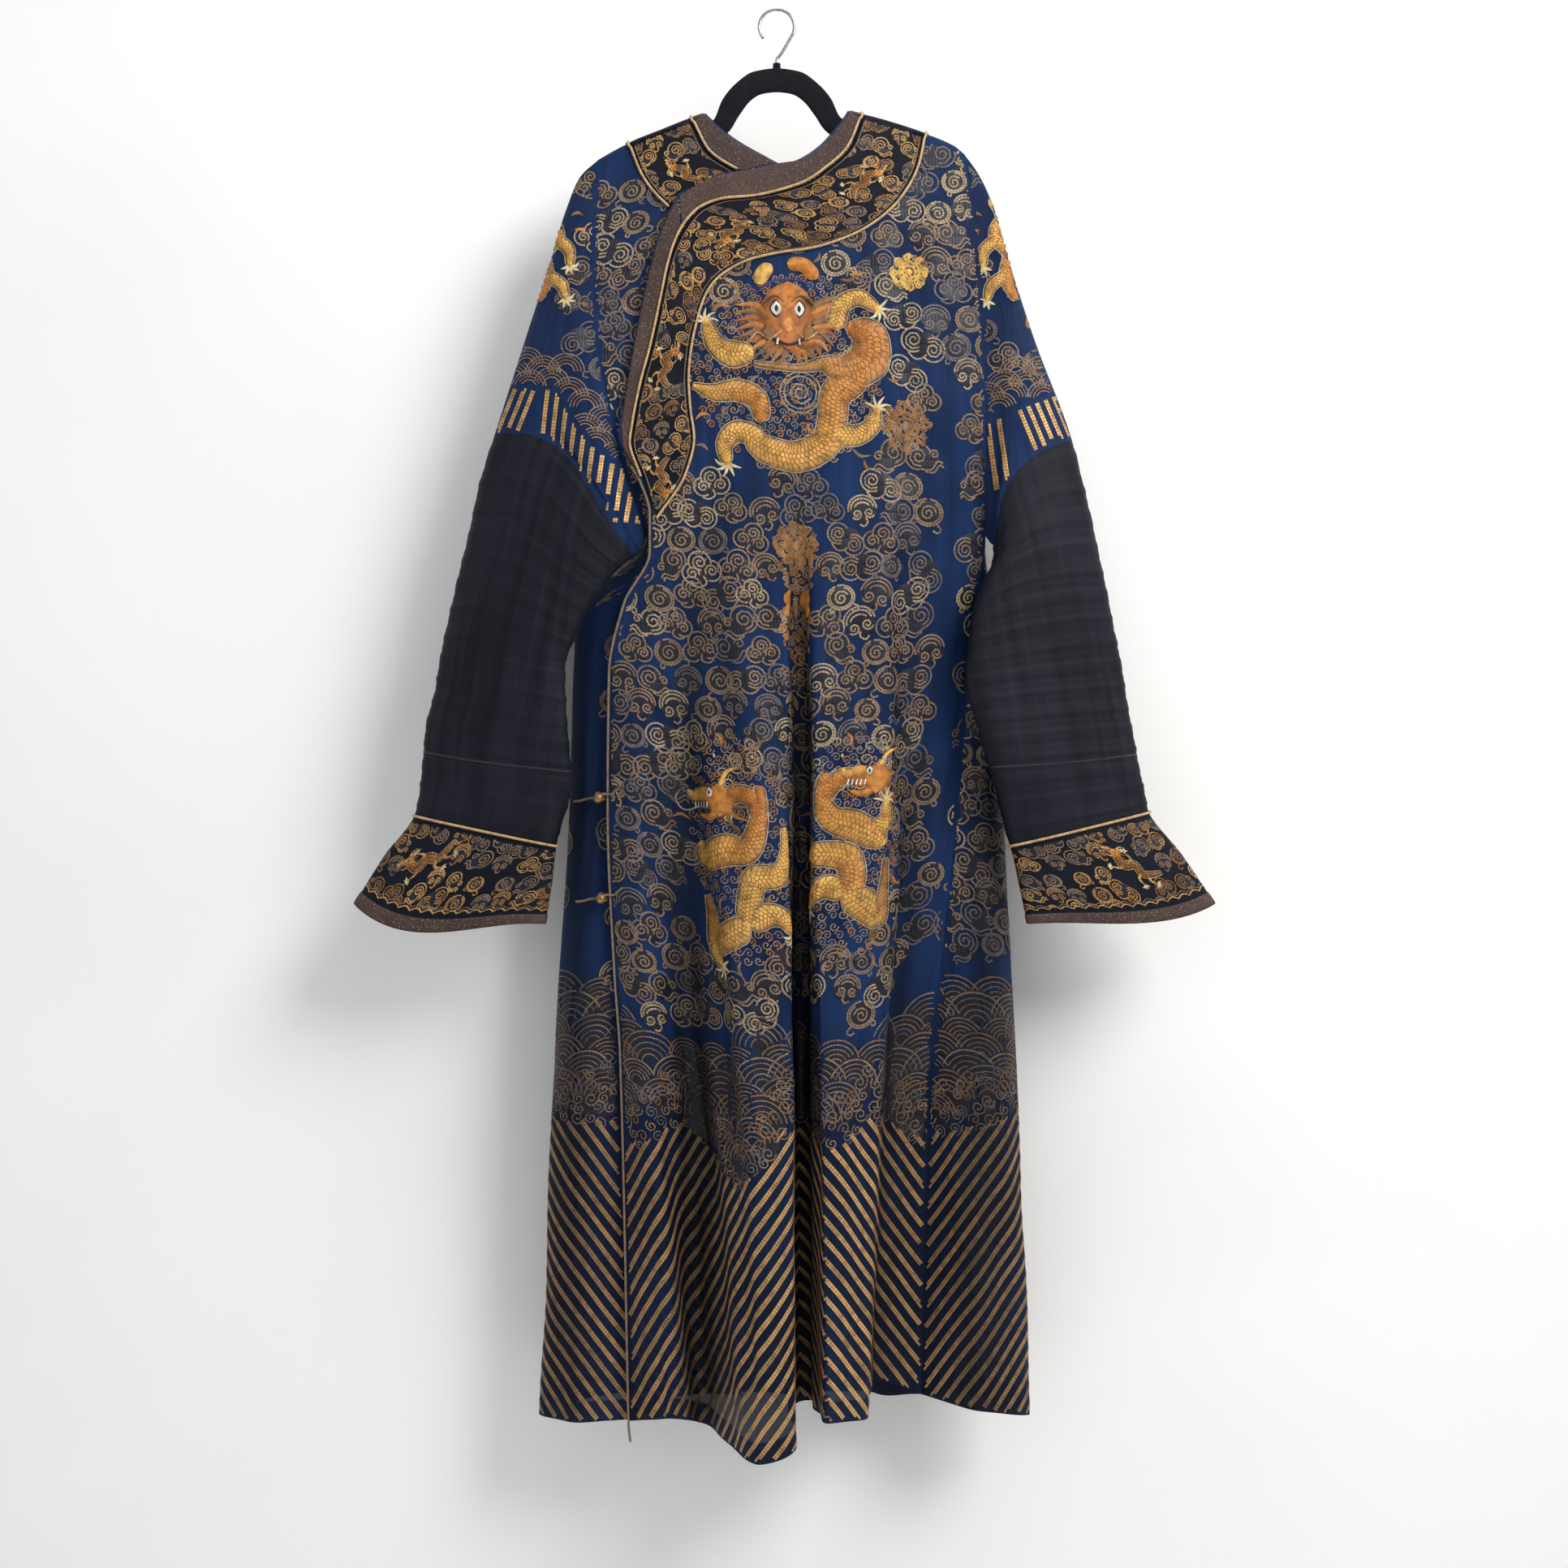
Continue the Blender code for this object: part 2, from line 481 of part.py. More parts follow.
def wall(name, grid, colour, thickness):
    """A cloth piece: its open mid surface, with Solidify for the wall."""
    obj = add_mesh(name, grid, grid_faces(*grid.shape[:2]), colour)
    solid = obj.modifiers.new("Wall", "SOLIDIFY")
    solid.thickness = thickness
    solid.offset = 0
    return obj


def tube(name, outer, inner, colour):
    """An open tube from rings outside and rings inside, joined by a rim at each end."""
    count = outer.shape[1]
    points = np.concatenate([outer.reshape(-1, 3), inner.reshape(-1, 3)])
    outside = grid_faces(len(outer), count, closed=True)
    inside = grid_faces(len(inner), count, closed=True)[:, ::-1] + len(outer) * count
    j = np.arange(count)
    k = (j + 1) % count
    base = len(outer) * count
    low, high = (len(outer) - 1) * count, base + (len(inner) - 1) * count
    rims = np.concatenate([
        np.stack([base + j, base + k, k, j], axis=-1),
        np.stack([low + j, low + k, high + k, high + j], axis=-1),
    ])
    obj = add_mesh(name, points, np.concatenate([outside, inside, rims]), colour)
    if volume_of(points, np.concatenate([outside, inside, rims])) < 0:
        obj.data.flip_normals()
    return obj


def volume_of(points, faces):
    """Signed volume of a closed mesh of quads."""
    a, b, c, d = (points[faces[:, n]] for n in range(4))
    return (np.einsum("ij,ij->i", a, np.cross(b, c)) + np.einsum("ij,ij->i", a, np.cross(c, d))).sum() / 6


def cord(name, points, radius, colour, closed=False):
    """A round cord: a curve with a bevel along the points."""
    curve = bpy.data.curves.new(name, "CURVE")
    curve.dimensions = "3D"
    curve.bevel_depth = radius
    curve.bevel_resolution = 1
    curve.use_fill_caps = not closed
    spline = curve.splines.new("POLY")
    spline.points.add(len(points) - 1)
    spline.use_cyclic_u = closed
    spline.points.foreach_set("co", np.c_[points, np.ones(len(points))].ravel())
    return add_object(name, curve, colour)


# ---- What lies on a panel -----------------------------------------------------------------
def on_panel(folds, facing, x, drop, lift, between=None):
    """The panel's point at (x, drop), moved out along its normal by lift.

    Where the panel doubles back, between names the two folds to look between.
    """
    names = [fold.name for fold in folds]
    lo, hi = (0, len(folds) - 1) if between is None else map(names.index, between)
    u = np.linspace(lo, hi, LOOK_STEPS * (hi - lo) + 1)
    wide = drop.shape + u.shape
    line = panel_point(folds, facing, np.broadcast_to(u, wide), np.broadcast_to(drop[..., None], wide))
    line = line[..., 0]
    near = np.clip(np.argmin(np.abs(line - x[..., None]), axis=-1), 1, len(u) - 2)
    before, after = (np.take_along_axis(line, (near + n)[..., None], axis=-1)[..., 0] for n in (-1, 1))
    at = u[near - 1] + (x - before) / (after - before) * (u[near + 1] - u[near - 1])
    here = panel_point(folds, facing, at, drop)
    along = panel_point(folds, facing, at + NUDGE, drop) - panel_point(folds, facing, at - NUDGE, drop)
    normal = np.cross(panel_point(folds, facing, at, drop + NUDGE * CLOTH) - here, along)
    normal /= np.linalg.norm(normal, axis=-1, keepdims=True)
    return here + normal * lift


def strip_lines(first_edge, second_edge, rows, breadth):
    """A band's grid of (x, drop): rows from start to end, breadth lines between its edges."""
    a, b = np.array(first_edge) * MM, np.array(second_edge) * MM
    knots = np.arange(len(a))
    at = np.linspace(0, len(a) - 1, rows)
    first = np.stack([monotone(knots, a[:, n], at) for n in (0, 1)], axis=-1)
    second = np.stack([monotone(knots, b[:, n], at) for n in (0, 1)], axis=-1)
    t = np.linspace(0, 1, breadth)[None, :, None]
    return first[:, None] * (1 - t) + second[:, None] * t


def start_on_fold(lines, at_start, at_end):
    """Adds the rows over the shoulder fold to a band that begins or ends there."""
    parts = [lines]
    if at_start:
        top = lines[0].copy()
        top[:, 1] = outline(SHOULDER_FOLD, top[:, 0])
        parts[0] = lines[1:]
        parts.insert(0, np.stack([top + [0, row] for row in FOLD_ROWS]))
    if at_end:
        top = lines[-1].copy()
        top[:, 1] = outline(SHOULDER_FOLD, top[:, 0])
        parts[-1] = parts[-1][:-1]
        parts.append(np.stack([top + [0, row] for row in FOLD_ROWS[::-1]]))
    return np.concatenate(parts)


def band(name, folds, facing, edges, rows, colour, on_fold=(False, False), breadth=4):
    lines = start_on_fold(strip_lines(*edges, rows, breadth), *on_fold)
    grid = on_panel(folds, facing, lines[..., 0], lines[..., 1], CLOTH / 2 + LIFT + TRIM / 2)
    return wall(name, grid, colour, TRIM)


def piping(name, folds, facing, line, on_fold=(False, False)):
    """Gold cord over a band's edge, resting just above the band's own wall."""
    rows = round(PIPING_ROWS * len(line))
    lines = start_on_fold(strip_lines(line, line, rows, 1), *on_fold)[:, 0]
    height = CLOTH / 2 + LIFT + TRIM + CORD_LIFT + PIPING
    points = on_panel(folds, facing, lines[:, 0], lines[:, 1], height)
    return cord(name, points, PIPING, "gold_cord")


# ---- The pieces ------------------------------------------------------------------------------
def make_body():
    top_left = shoulder_or(NECK_FRONT)
    top_under = shoulder_or(NECK_UNDER)
    top_back = shoulder_or(NECK_BACK)
    pieces = (
        ("overlap_front", FRONT, 1, overlap_top, "free_edge", "centre", (2, 3, 3, 3, 2, 2)),
        ("left_front", FRONT, 1, top_left, "centre", "left_side", (2, 3, 3, 3, 2, 2)),
        ("left_back", BACK, -1, top_back, "left_side", "back_centre", (2,) * 7),
        ("right_back", BACK, -1, top_back, "back_centre", "right_side", (2,) * 7),
        ("underlap_front", UNDERLAP, 1, top_under, "right_side", "under_edge", (3, 2, 3)),
    )
    for name, folds, facing, edge, first, last, steps in pieces:
        grids[name] = panel_grid(folds, facing, edge, first, last, steps)
    part_seam(grids["overlap_front"], -1, grids["left_front"], 0)
    part_seam(grids["left_front"], -1, grids["left_back"], 0)
    part_seam(grids["left_back"], -1, grids["right_back"], 0)
    part_seam(grids["right_back"], -1, grids["underlap_front"], 0)
    for name, grid in grids.items():
        wall(name, grid, "silk_blue", CLOTH)


def ring_rows(side, rows, offset, ribs=0.0, shift=(0.0, 0.0)):
    """Rings of a sleeve's wall, offset out from its mid surface, ribbed if asked.

    The first and last ring move along the sleeve by the two shifts, square to their seam.
    """
    row, turn = np.meshgrid(rows, np.radians(RING_TURNS), indexing="ij")
    here = sleeve_point(side, row, turn)
    later, earlier = np.minimum(row + NUDGE, CUFF_END), np.maximum(row - NUDGE, ARMHOLE)
    along = sleeve_point(side, later, turn) - sleeve_point(side, earlier, turn)
    around = sleeve_point(side, row, turn + NUDGE) - sleeve_point(side, row, turn - NUDGE)
    out = 1 if side == "right" else -1
    normal = np.cross(along, around) * out
    normal /= np.linalg.norm(normal, axis=-1, keepdims=True)
    square = np.cross(around, normal) * out
    square /= np.linalg.norm(square, axis=-1, keepdims=True)
    here[0] += square[0] * shift[0]
    here[-1] += square[-1] * shift[1]
    return here + normal * (offset + ribs)


def make_sleeves():
    half = CLOTH / 2
    for side, rings in SLEEVES.items():
        table = np.array(rings, float) * MM
        steps = np.hypot(np.diff(table[:, 0] + table[:, 2]), np.diff(table[:, 1] + table[:, 3])) / 2
        reach = np.r_[0, np.cumsum(steps)]

        def stretch(first, last, count, reach=reach):
            return monotone(reach, np.arange(len(reach)), np.linspace(reach[first], reach[last], count))

        upper = stretch(ARMHOLE, ELBOW_SEAM, 8)
        plain = stretch(ELBOW_SEAM, CUFF_SEAM, 9)
        ribbed = stretch(ELBOW_SEAM, CUFF_SEAM, 2 * RIBS + 1)
        high = (np.arange(2 * RIBS + 1) % 2)[:, None, None] * RIB_HEIGHT
        mouth = monotone(reach, np.arange(len(reach)), reach[CUFF_END] - np.array([CUFF_BAND, 0]))
        cuff = np.concatenate([stretch(CUFF_SEAM, CUFF_END, 4)[:3], mouth])
        for name, colour, outside, inside, ribs, shift in (
            ("upper_sleeve", "silk_blue", upper, upper, 0.0, (ARMHOLE_SHIFT, -ELBOW_SHIFT)),
            ("lower_sleeve", "silk_dark", ribbed, plain, high, (ELBOW_SHIFT, -CUFF_SHIFT)),
            ("cuff", "band_black", cuff, cuff, 0.0, (CUFF_SHIFT, 0.0)),
        ):
            outer_wall = ring_rows(side, outside, half, ribs, shift)
            inner_wall = ring_rows(side, inside, -half, 0.0, shift)
            tube(f"{side}_{name}", outer_wall, inner_wall, colour)
        out = half + LIFT
        outer_wall, inner_wall = ring_rows(side, mouth, out + TRIM), ring_rows(side, mouth, out)
        tube(f"{side}_cuff_band", outer_wall, inner_wall, "brocade_brown")
        top = monotone(reach, np.arange(len(reach)), reach[CUFF_SEAM] + np.array([CUFF_CORD_ROW]))
        line = ring_rows(side, top, half + 2 * CORD_LIFT + PIPING)[0]
        cord(f"{side}_cuff_piping", line, PIPING, "gold_cord", closed=True)


def make_bands():
    both = (True, True)
    start = (True, False)
    none = (False, False)
    bands = (
        ("collar_band", FRONT, 1, (COLLAR_INNER, COLLAR_OUTER), 24, "brocade_brown", start),
        ("collar_band_underlap", UNDERLAP, 1, (COLLAR_UNDER_INNER, COLLAR_UNDER_OUTER), 10,
         "brocade_brown", start),
        ("collar_band_back", BACK, -1, (COLLAR_BACK_INNER, COLLAR_BACK_OUTER), 20, "brocade_brown", both),
        ("yoke_band", FRONT, 1, (YOKE_FRONT_INNER, YOKE_FRONT_OUTER), 34, "band_black", start),
        ("yoke_band_underlap", UNDERLAP, 1, (YOKE_UNDER_INNER, YOKE_UNDER_OUTER), 8, "band_black", start),
        ("yoke_band_back", BACK, -1, (YOKE_BACK_INNER, YOKE_BACK_OUTER), 22, "band_black", both),
        ("overlap_edge_strip", FRONT, 1, (EDGE_STRIP_INNER, EDGE_STRIP_OUTER), 24, "brocade_brown", none),
    )
    for name, folds, facing, edges, rows, colour, on_fold in bands:
        band(name, folds, facing, edges, rows, colour, on_fold)
    piping("collar_piping", FRONT, 1, COLLAR_OUTER + EDGE_PIPING, start)
    piping("collar_piping_back", BACK, -1, COLLAR_BACK_OUTER, both)
    piping("collar_piping_underlap", UNDERLAP, 1, COLLAR_UNDER_OUTER[:4], start)
    piping("yoke_piping", FRONT, 1, YOKE_FRONT_OUTER, start)
    piping("yoke_piping_back", BACK, -1, YOKE_BACK_OUTER, both)
    piping("yoke_piping_underlap", UNDERLAP, 1, YOKE_UNDER_OUTER, start)


def make_closure():
    edge = grids["overlap_front"][0]
    beyond = edge - grids["overlap_front"][1]
    beyond /= np.linalg.norm(beyond, axis=-1, keepdims=True)
    line = (edge + beyond * (SIDE_CORD + 1.5 * LIFT))[-edge[:, 2] > EDGE_CORD_FROM]
    tail = line[-1] + np.array(CORD_TAIL) * MM
    cord("overlap_side_cord", np.concatenate([line, tail]), SIDE_CORD, "brocade_brown")
    clear = BUTTON_RADIUS + LIFT + LOOP_RADIUS
    rise = CLOTH / 2 + LIFT + LOOP_RADIUS
    for number, drop in enumerate(BUTTON_DROPS, start=1):
        edge_x = outline(OVERLAP_EDGE, drop, along=1)
        forward = np.interp(drop, -line[:, 2], line[:, 1])
        centre = np.array([edge_x - BUTTON_BESIDE_EDGE, forward - BUTTON_FORWARD, -drop])
        bpy.ops.mesh.primitive_uv_sphere_add(
            segments=12, ring_count=8, radius=BUTTON_RADIUS, location=centre)
        ball = bpy.context.object
        ball.name = ball.data.name = f"button_{number}"
        ball.data.materials.append(materials["brass"])
        ball.data.shade_smooth()
        move_to_robe(ball)
        for name, places, starts, folds, facing, between in (
            ("button_cord", HOLD_CORD, HOLD_CORD_FROM, FRONT, 1, ("free_edge", "side_swell")),
            ("button_loop", HOLD_LOOP, HOLD_LOOP_FROM, BACK, -1, ("right_far", "right_side")),
        ):
            x, below = np.array([edge_x, drop])[:, None] + np.array(places).T * MM
            over = on_panel(folds, facing, x, below, rise, between)
            near = centre + np.array([starts]) * clear
            cord(f"{name}_{number}", np.concatenate([near, over]), LOOP_RADIUS, "brocade_brown")


def move_to_robe(obj):
    for collection in obj.users_collection:
        collection.objects.unlink(obj)
    robe.objects.link(obj)


def make_hanger():
    upper, lower = np.array(HANGER_UPPER) * MM, np.array(HANGER_LOWER) * MM
    middle = (upper + lower) / 2
    length = np.r_[0, np.cumsum(np.linalg.norm(np.diff(middle, axis=0), axis=1))]
    at = np.linspace(0, length[-1], HANGER_RINGS)
    middle = np.stack([monotone(length, middle[:, n], at) for n in (0, 1)], axis=-1)
    rise = np.stack([monotone(length, (upper - lower)[:, n] / 2, at) for n in (0, 1)], axis=-1)
    end = np.minimum(at, length[-1] - at)
    rounded = 1 - (1 - np.minimum(end / END_ROUND, 1)) ** 2
    rise *= np.sqrt(np.clip(rounded, END_SHARE, 1))[:, None]
    corners = np.linspace(0, math.tau, HANGER_SIDES, endpoint=False)
    flat = HANGER_THICK / 2 * np.abs(np.sin(corners)) ** HANGER_SQUARE * np.sign(np.sin(corners))
    edge = middle[:, None] + rise[:, None] * np.cos(corners)[None, :, None]
    rings = np.stack([edge[..., 0], np.broadcast_to(flat, edge.shape[:2]), -edge[..., 1]], axis=-1)
    count = len(corners)
    sides = grid_faces(len(rings), count, closed=True)
    mesh = bpy.data.meshes.new("hanger")
    ends = [list(range(count)), [(len(rings) - 1) * count + n for n in range(count)][::-1]]
    points = rings.reshape(-1, 3)
    faces = [list(face) for face in sides] + [end[::-1] for end in ends]
    mesh.from_pydata(points.tolist(), [], [[int(n) for n in face] for face in faces])
    mesh.update()
    if volume_of(points, sides) < 0:
        mesh.flip_normals()
    mesh.shade_smooth()
    add_object("hanger", mesh, "velvet_black")

    bpy.ops.mesh.primitive_cylinder_add(
        vertices=20, radius=FERRULE_RADIUS, depth=FERRULE_HEIGHT,
        location=(0, 0, -FERRULE_TOP - FERRULE_HEIGHT / 2))
    ferrule = bpy.context.object
    ferrule.name = ferrule.data.name = "hanger_ferrule"
    ferrule.data.materials.append(materials["velvet_black"])
    move_to_robe(ferrule)

    turn = np.radians(np.linspace(*HOOK_ANGLES, 26))
    across_bow, up_bow = HOOK_BEND * np.cos(turn), HOOK_BEND * (np.sin(turn) - 1) + HOOK_WIRE
    across_stem, up_stem = np.array(HOOK_STEM).T * MM
    wire = np.stack([
        np.r_[across_stem, across_bow], np.zeros(len(HOOK_STEM) + len(turn)),
        np.r_[up_stem - FERRULE_TOP, up_bow],
    ], axis=-1)
    cord("hanger_hook", wire, HOOK_WIRE, "chrome").data.bevel_resolution = 2


# ---- Scene ------------------------------------------------------------------------------
for old in list(bpy.data.objects):
    bpy.data.objects.remove(old, do_unlink=True)
robe = bpy.data.collections.new("dragon_robe")
bpy.context.scene.collection.children.link(robe)
materials = {}
grids = {}
for colour_name, (red, green, blue, rough, metal) in COLOURS.items():
    material = bpy.data.materials.new(colour_name)
    material.use_nodes = True
    shader = material.node_tree.nodes["Principled BSDF"]
    shader.inputs["Base Color"].default_value = (red, green, blue, 1)
    shader.inputs["Roughness"].default_value = rough
    shader.inputs["Metallic"].default_value = metal
    materials[colour_name] = material

make_hanger()
make_body()
make_sleeves()
make_bands()
make_closure()
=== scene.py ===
"""A Chinese dragon robe on a velvet coat hanger: cloth, embroidery, bands, hanger and stage.

Metres, +Z up, the robe's front faces -Y, and the origin is the inside top of the hanger's
hook. Sides are the wearer's. Each cloth is a surface worked out from the fold tables, with
its own flat coordinates: the distance round the cloth from its middle line, and down it.
Every stitched line is a path in those flat coordinates, laid on the cloth as a raised ribbon.
"""

import math
from collections import namedtuple

import bpy
import numpy as np
from bpy.props import FloatProperty, FloatVectorProperty, PointerProperty
from bpy.types import Operator, Panel, PropertyGroup
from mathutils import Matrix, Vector


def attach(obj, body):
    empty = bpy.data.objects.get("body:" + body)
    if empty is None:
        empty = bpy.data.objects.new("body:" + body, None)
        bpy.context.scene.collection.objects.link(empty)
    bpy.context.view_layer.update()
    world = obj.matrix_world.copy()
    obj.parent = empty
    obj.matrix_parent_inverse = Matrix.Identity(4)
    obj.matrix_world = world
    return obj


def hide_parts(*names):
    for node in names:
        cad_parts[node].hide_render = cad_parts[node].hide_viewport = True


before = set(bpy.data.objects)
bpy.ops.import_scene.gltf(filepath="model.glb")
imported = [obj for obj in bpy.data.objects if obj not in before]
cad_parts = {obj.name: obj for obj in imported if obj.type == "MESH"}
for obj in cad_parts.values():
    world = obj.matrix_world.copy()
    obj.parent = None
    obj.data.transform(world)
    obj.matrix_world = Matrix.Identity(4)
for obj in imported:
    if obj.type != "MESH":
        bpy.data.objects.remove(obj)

bl_info = {
    "name": "Dragon Robe",
    "version": (1, 0, 0),
    "blender": (4, 5, 0),
    "location": "3D View > Sidebar > Robe",
    "description": "Builds an embroidered robe hanging on a coat hanger",
    "category": "Object",
}

MM = 0.001

# ---- The hanging --------------------------------------------------------------------
FOLD_RADIUS = 4.2 * MM    # cloth bent over the hanger's arms, at mid wall
SETTLE = 60 * MM          # below the shoulder fold the cloth opens out over this length
UNDERARM = 570 * MM       # below the hook
LEVELS = np.array([170, 380, 570, 660, 870, 1200, 1530]) * MM

TOP_ROUNDS = 12           # rounds that settle where a panel's columns meet its top edge
LOOK_STEPS = 30           # places looked at between two folds when seeking a point by its x
NUDGE = 1e-3              # step in a surface's own parameters when taking its direction

Fold = namedtuple("Fold", "name across forward hem")

# Each fold of the front, from the overlap's free edge to the left side seam:
# place across and reach forward at each level, and the hem's distance below the
# hook, all in millimetres.
FRONT = (
    Fold("free_edge", (-106, -155, -132, -165, -180, -165, -158), (24, 33, 38, 34, 26, 22, 22), 1522),
    Fold("side_swell", (-77, -115, -104, -130, -149, -131, -118), (25, 35, 40, 40, 38, 42, 46), 1513),
    Fold("side_valley", (-46, -78, -78, -90, -104, -89, -80), (25, 35, 38, 32, 22, 12, 4), 1530),
    Fold("big_ridge", (-19, -32, -28, -28, -27, -23, -18), (25, 36, 43, 50, 66, 88, 105), 1543),
    Fold("ridge_roll", (-2, -2, 6, 9, 13, 17, 21), (25, 36, 42, 48, 60, 76, 90), 1528),
    Fold("slit_right", (4, 8, 13, 14, 16, 15, 14), (25, 35, 38, 36, 29, 10, -4), 1515),
    Fold("centre", (8, 12, 19, 21, 24, 24, 25), (25, 35, 37, 34, 24, 4, -10), 1510),
    Fold("slit_left", (12, 18, 26, 29, 32, 34, 36), (25, 35, 38, 36, 28, 9, -4), 1508),
    Fold("left_ridge", (29, 38, 41, 42, 44, 48, 54), (24, 35, 43, 49, 60, 76, 88), 1505),
    Fold("left_roll", (77, 107, 115, 118, 121, 104, 93), (22, 33, 40, 43, 48, 56, 60), 1508),
    Fold("recess", (134, 142, 140, 138, 136, 118, 102), (16, 28, 30, 27, 18, 0, -12), 1489),
    Fold("plain_strip", (172, 184, 184, 178, 165, 142, 130), (13, 24, 22, 17, 10, -8, -20), 1496),
    Fold("left_side", (203, 222, 226, 212, 194, 166, 158), (10, 15, 4, 4, 4, -14, -26), 1507),
)

# The back, from the left side seam round to the right one. It wraps forward past
# both sides, so its seams lie on the robe's front.
BACK = (
    Fold("left_side", (203, 222, 226, 212, 194, 166, 158), (-10, -13, 4, 4, 4, -14, -26), 1507),
    Fold("left_wrap", (197, 214, 225, 229, 227, 219, 219), (-11, -15, -2, 4, 12, 12, 14), 1514),
    Fold("left_far", (190, 205, 222, 238, 246, 266, 277), (-12, -18, -10, -7, -6, -12, -16), 1526),
    Fold("left_turn", (180, 194, 208, 220, 226, 240, 246), (-13, -21, -22, -25, -30, -36, -40), 1520),
    Fold("left_pleat", (162, 168, 175, 180, 186, 194, 198), (-15, -24, -28, -33, -42, -56, -68), 1517),
    Fold("left_hollow", (125, 125, 128, 130, 132, 134, 138), (-17, -27, -30, -32, -37, -44, -50), 1515),
    Fold("left_back_ridge", (77, 76, 76, 76, 76, 76, 76), (-18, -29, -33, -38, -46, -62, -74), 1517),
    Fold("back_centre", (8, 8, 9, 9, 9, 9, 9), (-18, -29, -32, -34, -40, -50, -56), 1515),
    Fold("right_back_ridge", (-77, -64, -60, -60, -60, -58, -58), (-18, -29, -33, -38, -46, -62, -76), 1517),
    Fold("right_hollow", (-116, -111, -110, -114, -118, -120, -122), (-17, -27, -30, -32, -38, -46, -52), 1515),
    Fold("right_pleat", (-150, -148, -136, -160, -170, -178, -180), (-15, -24, -26, -34, -42, -56, -66), 1518),
    Fold("right_turn", (-171, -166, -148, -200, -208, -222, -228), (-13, -19, -12, -26, -30, -36, -40), 1521),
    Fold("right_far", (-180, -176, -143, -218, -225, -246, -258), (-12, -13, 4, -4, -8, -12, -14), 1524),
    Fold("right_wrap", (-187, -184, -139, -198, -205, -212, -215), (-11, -7, 17, 12, 14, 14, 14), 1526),
    Fold("right_side", (-193, -190, -138, -170, -178, -169, -152), (-10, 0, 26, 18, 12, 10, 8), 1524),
)

# The underlap, from the right side seam to its own free edge, beneath the overlap.
UNDERLAP = (
    Fold("right_side", (-193, -190, -138, -170, -178, -169, -152), (10, 25, 26, 18, 12, 10, 8), 1524),
    Fold("under_swell", (-77, -118, -104, -120, -130, -125, -115), (14, 21, 26, 18, 8, 0, -8), 1506),
    Fold("under_fall", (-42, -52, -52, -65, -75, -80, -78), (15, 22, 24, 18, 4, -6, -14), 1503),
    Fold("under_edge", (18, 4, -4, -14, -24, -34, -40), (15, 22, 24, 18, 2, -8, -18), 1505),
)

# ---- Outlines, as (across, below the hook) in millimetres -------------------------
SHOULDER_FOLD = (
    (-193, 161), (-166, 146), (-124, 129), (-80, 112), (0, 92),
    (91, 112), (149, 129), (192, 146), (203, 155),
)
RIGHT_ARMHOLE = (
    (-193, 161), (-198, 220), (-197, 300), (-190, 380), (-176, 450), (-158, 515), (-138, 570),
)
LEFT_ARMHOLE = ((203, 155), (212, 220), (219, 310), (224, 400), (226, 490), (226, 570))
NECK_FRONT = ((8, 172), (25, 165), (46, 150), (66, 126), (77, 110))
NECK_UNDER = ((-77, 112), (-66, 123), (-45, 141), (-6, 164), (20, 178))
NECK_BACK = ((-77, 112), (-62, 130), (-36, 152), (4, 166), (42, 153), (65, 129), (77, 110))
NECK_HALF = 76.8 * MM     # the neck opening ends here on the shoulder fold
OVERLAP_TOP = ((-106, 203), (-85, 194), (-63, 182), (-28, 176), (-2, 170), (8, 172))
# The overlap's free edge runs from the collar down to the underarm, then out to the side.
OVERLAP_EDGE = (
    (-106, 203), (-127, 249), (-142, 311), (-154, 374), (-164, 434), (-169, 464),
    (-159, 490), (-145, 514), (-134, 550), (-134, 590), (-162, 646), (-178, 720),
    (-180, 868), (-173, 1042), (-167, 1129), (-158, 1522),
)

# ---- Sleeves --------------------------------------------------------------------------
# Each row is a ring from the sleeve's outer fold to its inner fold, in millimetres:
# both ends across and below the hook, how far its middle bows towards the shoulder
# (skew 1 puts most of that near the outer fold), how far each end stands forward, and
# half its thickness.
Ring = namedtuple("Ring", "outer_x outer_drop inner_x inner_drop bow skew outer_fwd inner_fwd half")
RIGHT_SLEEVE = (
    Ring(-193, 161, -138, 570, -26, 0, 0, 26, 13),
    Ring(-213, 180, -140, 575, -25, 0, 0, 28, 15),
    Ring(-229, 218, -142, 580, -22, 0, 0, 31, 19),
    Ring(-246, 274, -144, 584, -18, 0, 0, 33, 22),
    Ring(-275, 366, -146, 588, -5, 0, 0, 34, 24),
    Ring(-307, 463, -150, 594, 28, 1, 0, 35, 24),
    Ring(-323, 516, -168, 608, 23, 1, 0, 38, 22),
    Ring(-335, 573, -191, 638, 16, 1, 0, 40, 20),
    Ring(-349, 630, -212, 676, 10, 1, 0, 40, 20),
    Ring(-363, 692, -225, 714, 5, 1, 1, 38, 20),
    Ring(-370, 736, -224, 762, 2, 1, 2, 38, 20),
    Ring(-380, 775, -221, 802, 0, 1, 2, 38, 20),
    Ring(-383, 815, -218, 837, 0, 1, 3, 37, 20),
    Ring(-392, 869, -234, 901, 0, 1, 4, 34, 20),
    Ring(-424, 916, -241, 947, -8, 1, 6, 29, 19),
    Ring(-457, 967, -248, 988, -19, 1, 6, 24, 17),
)
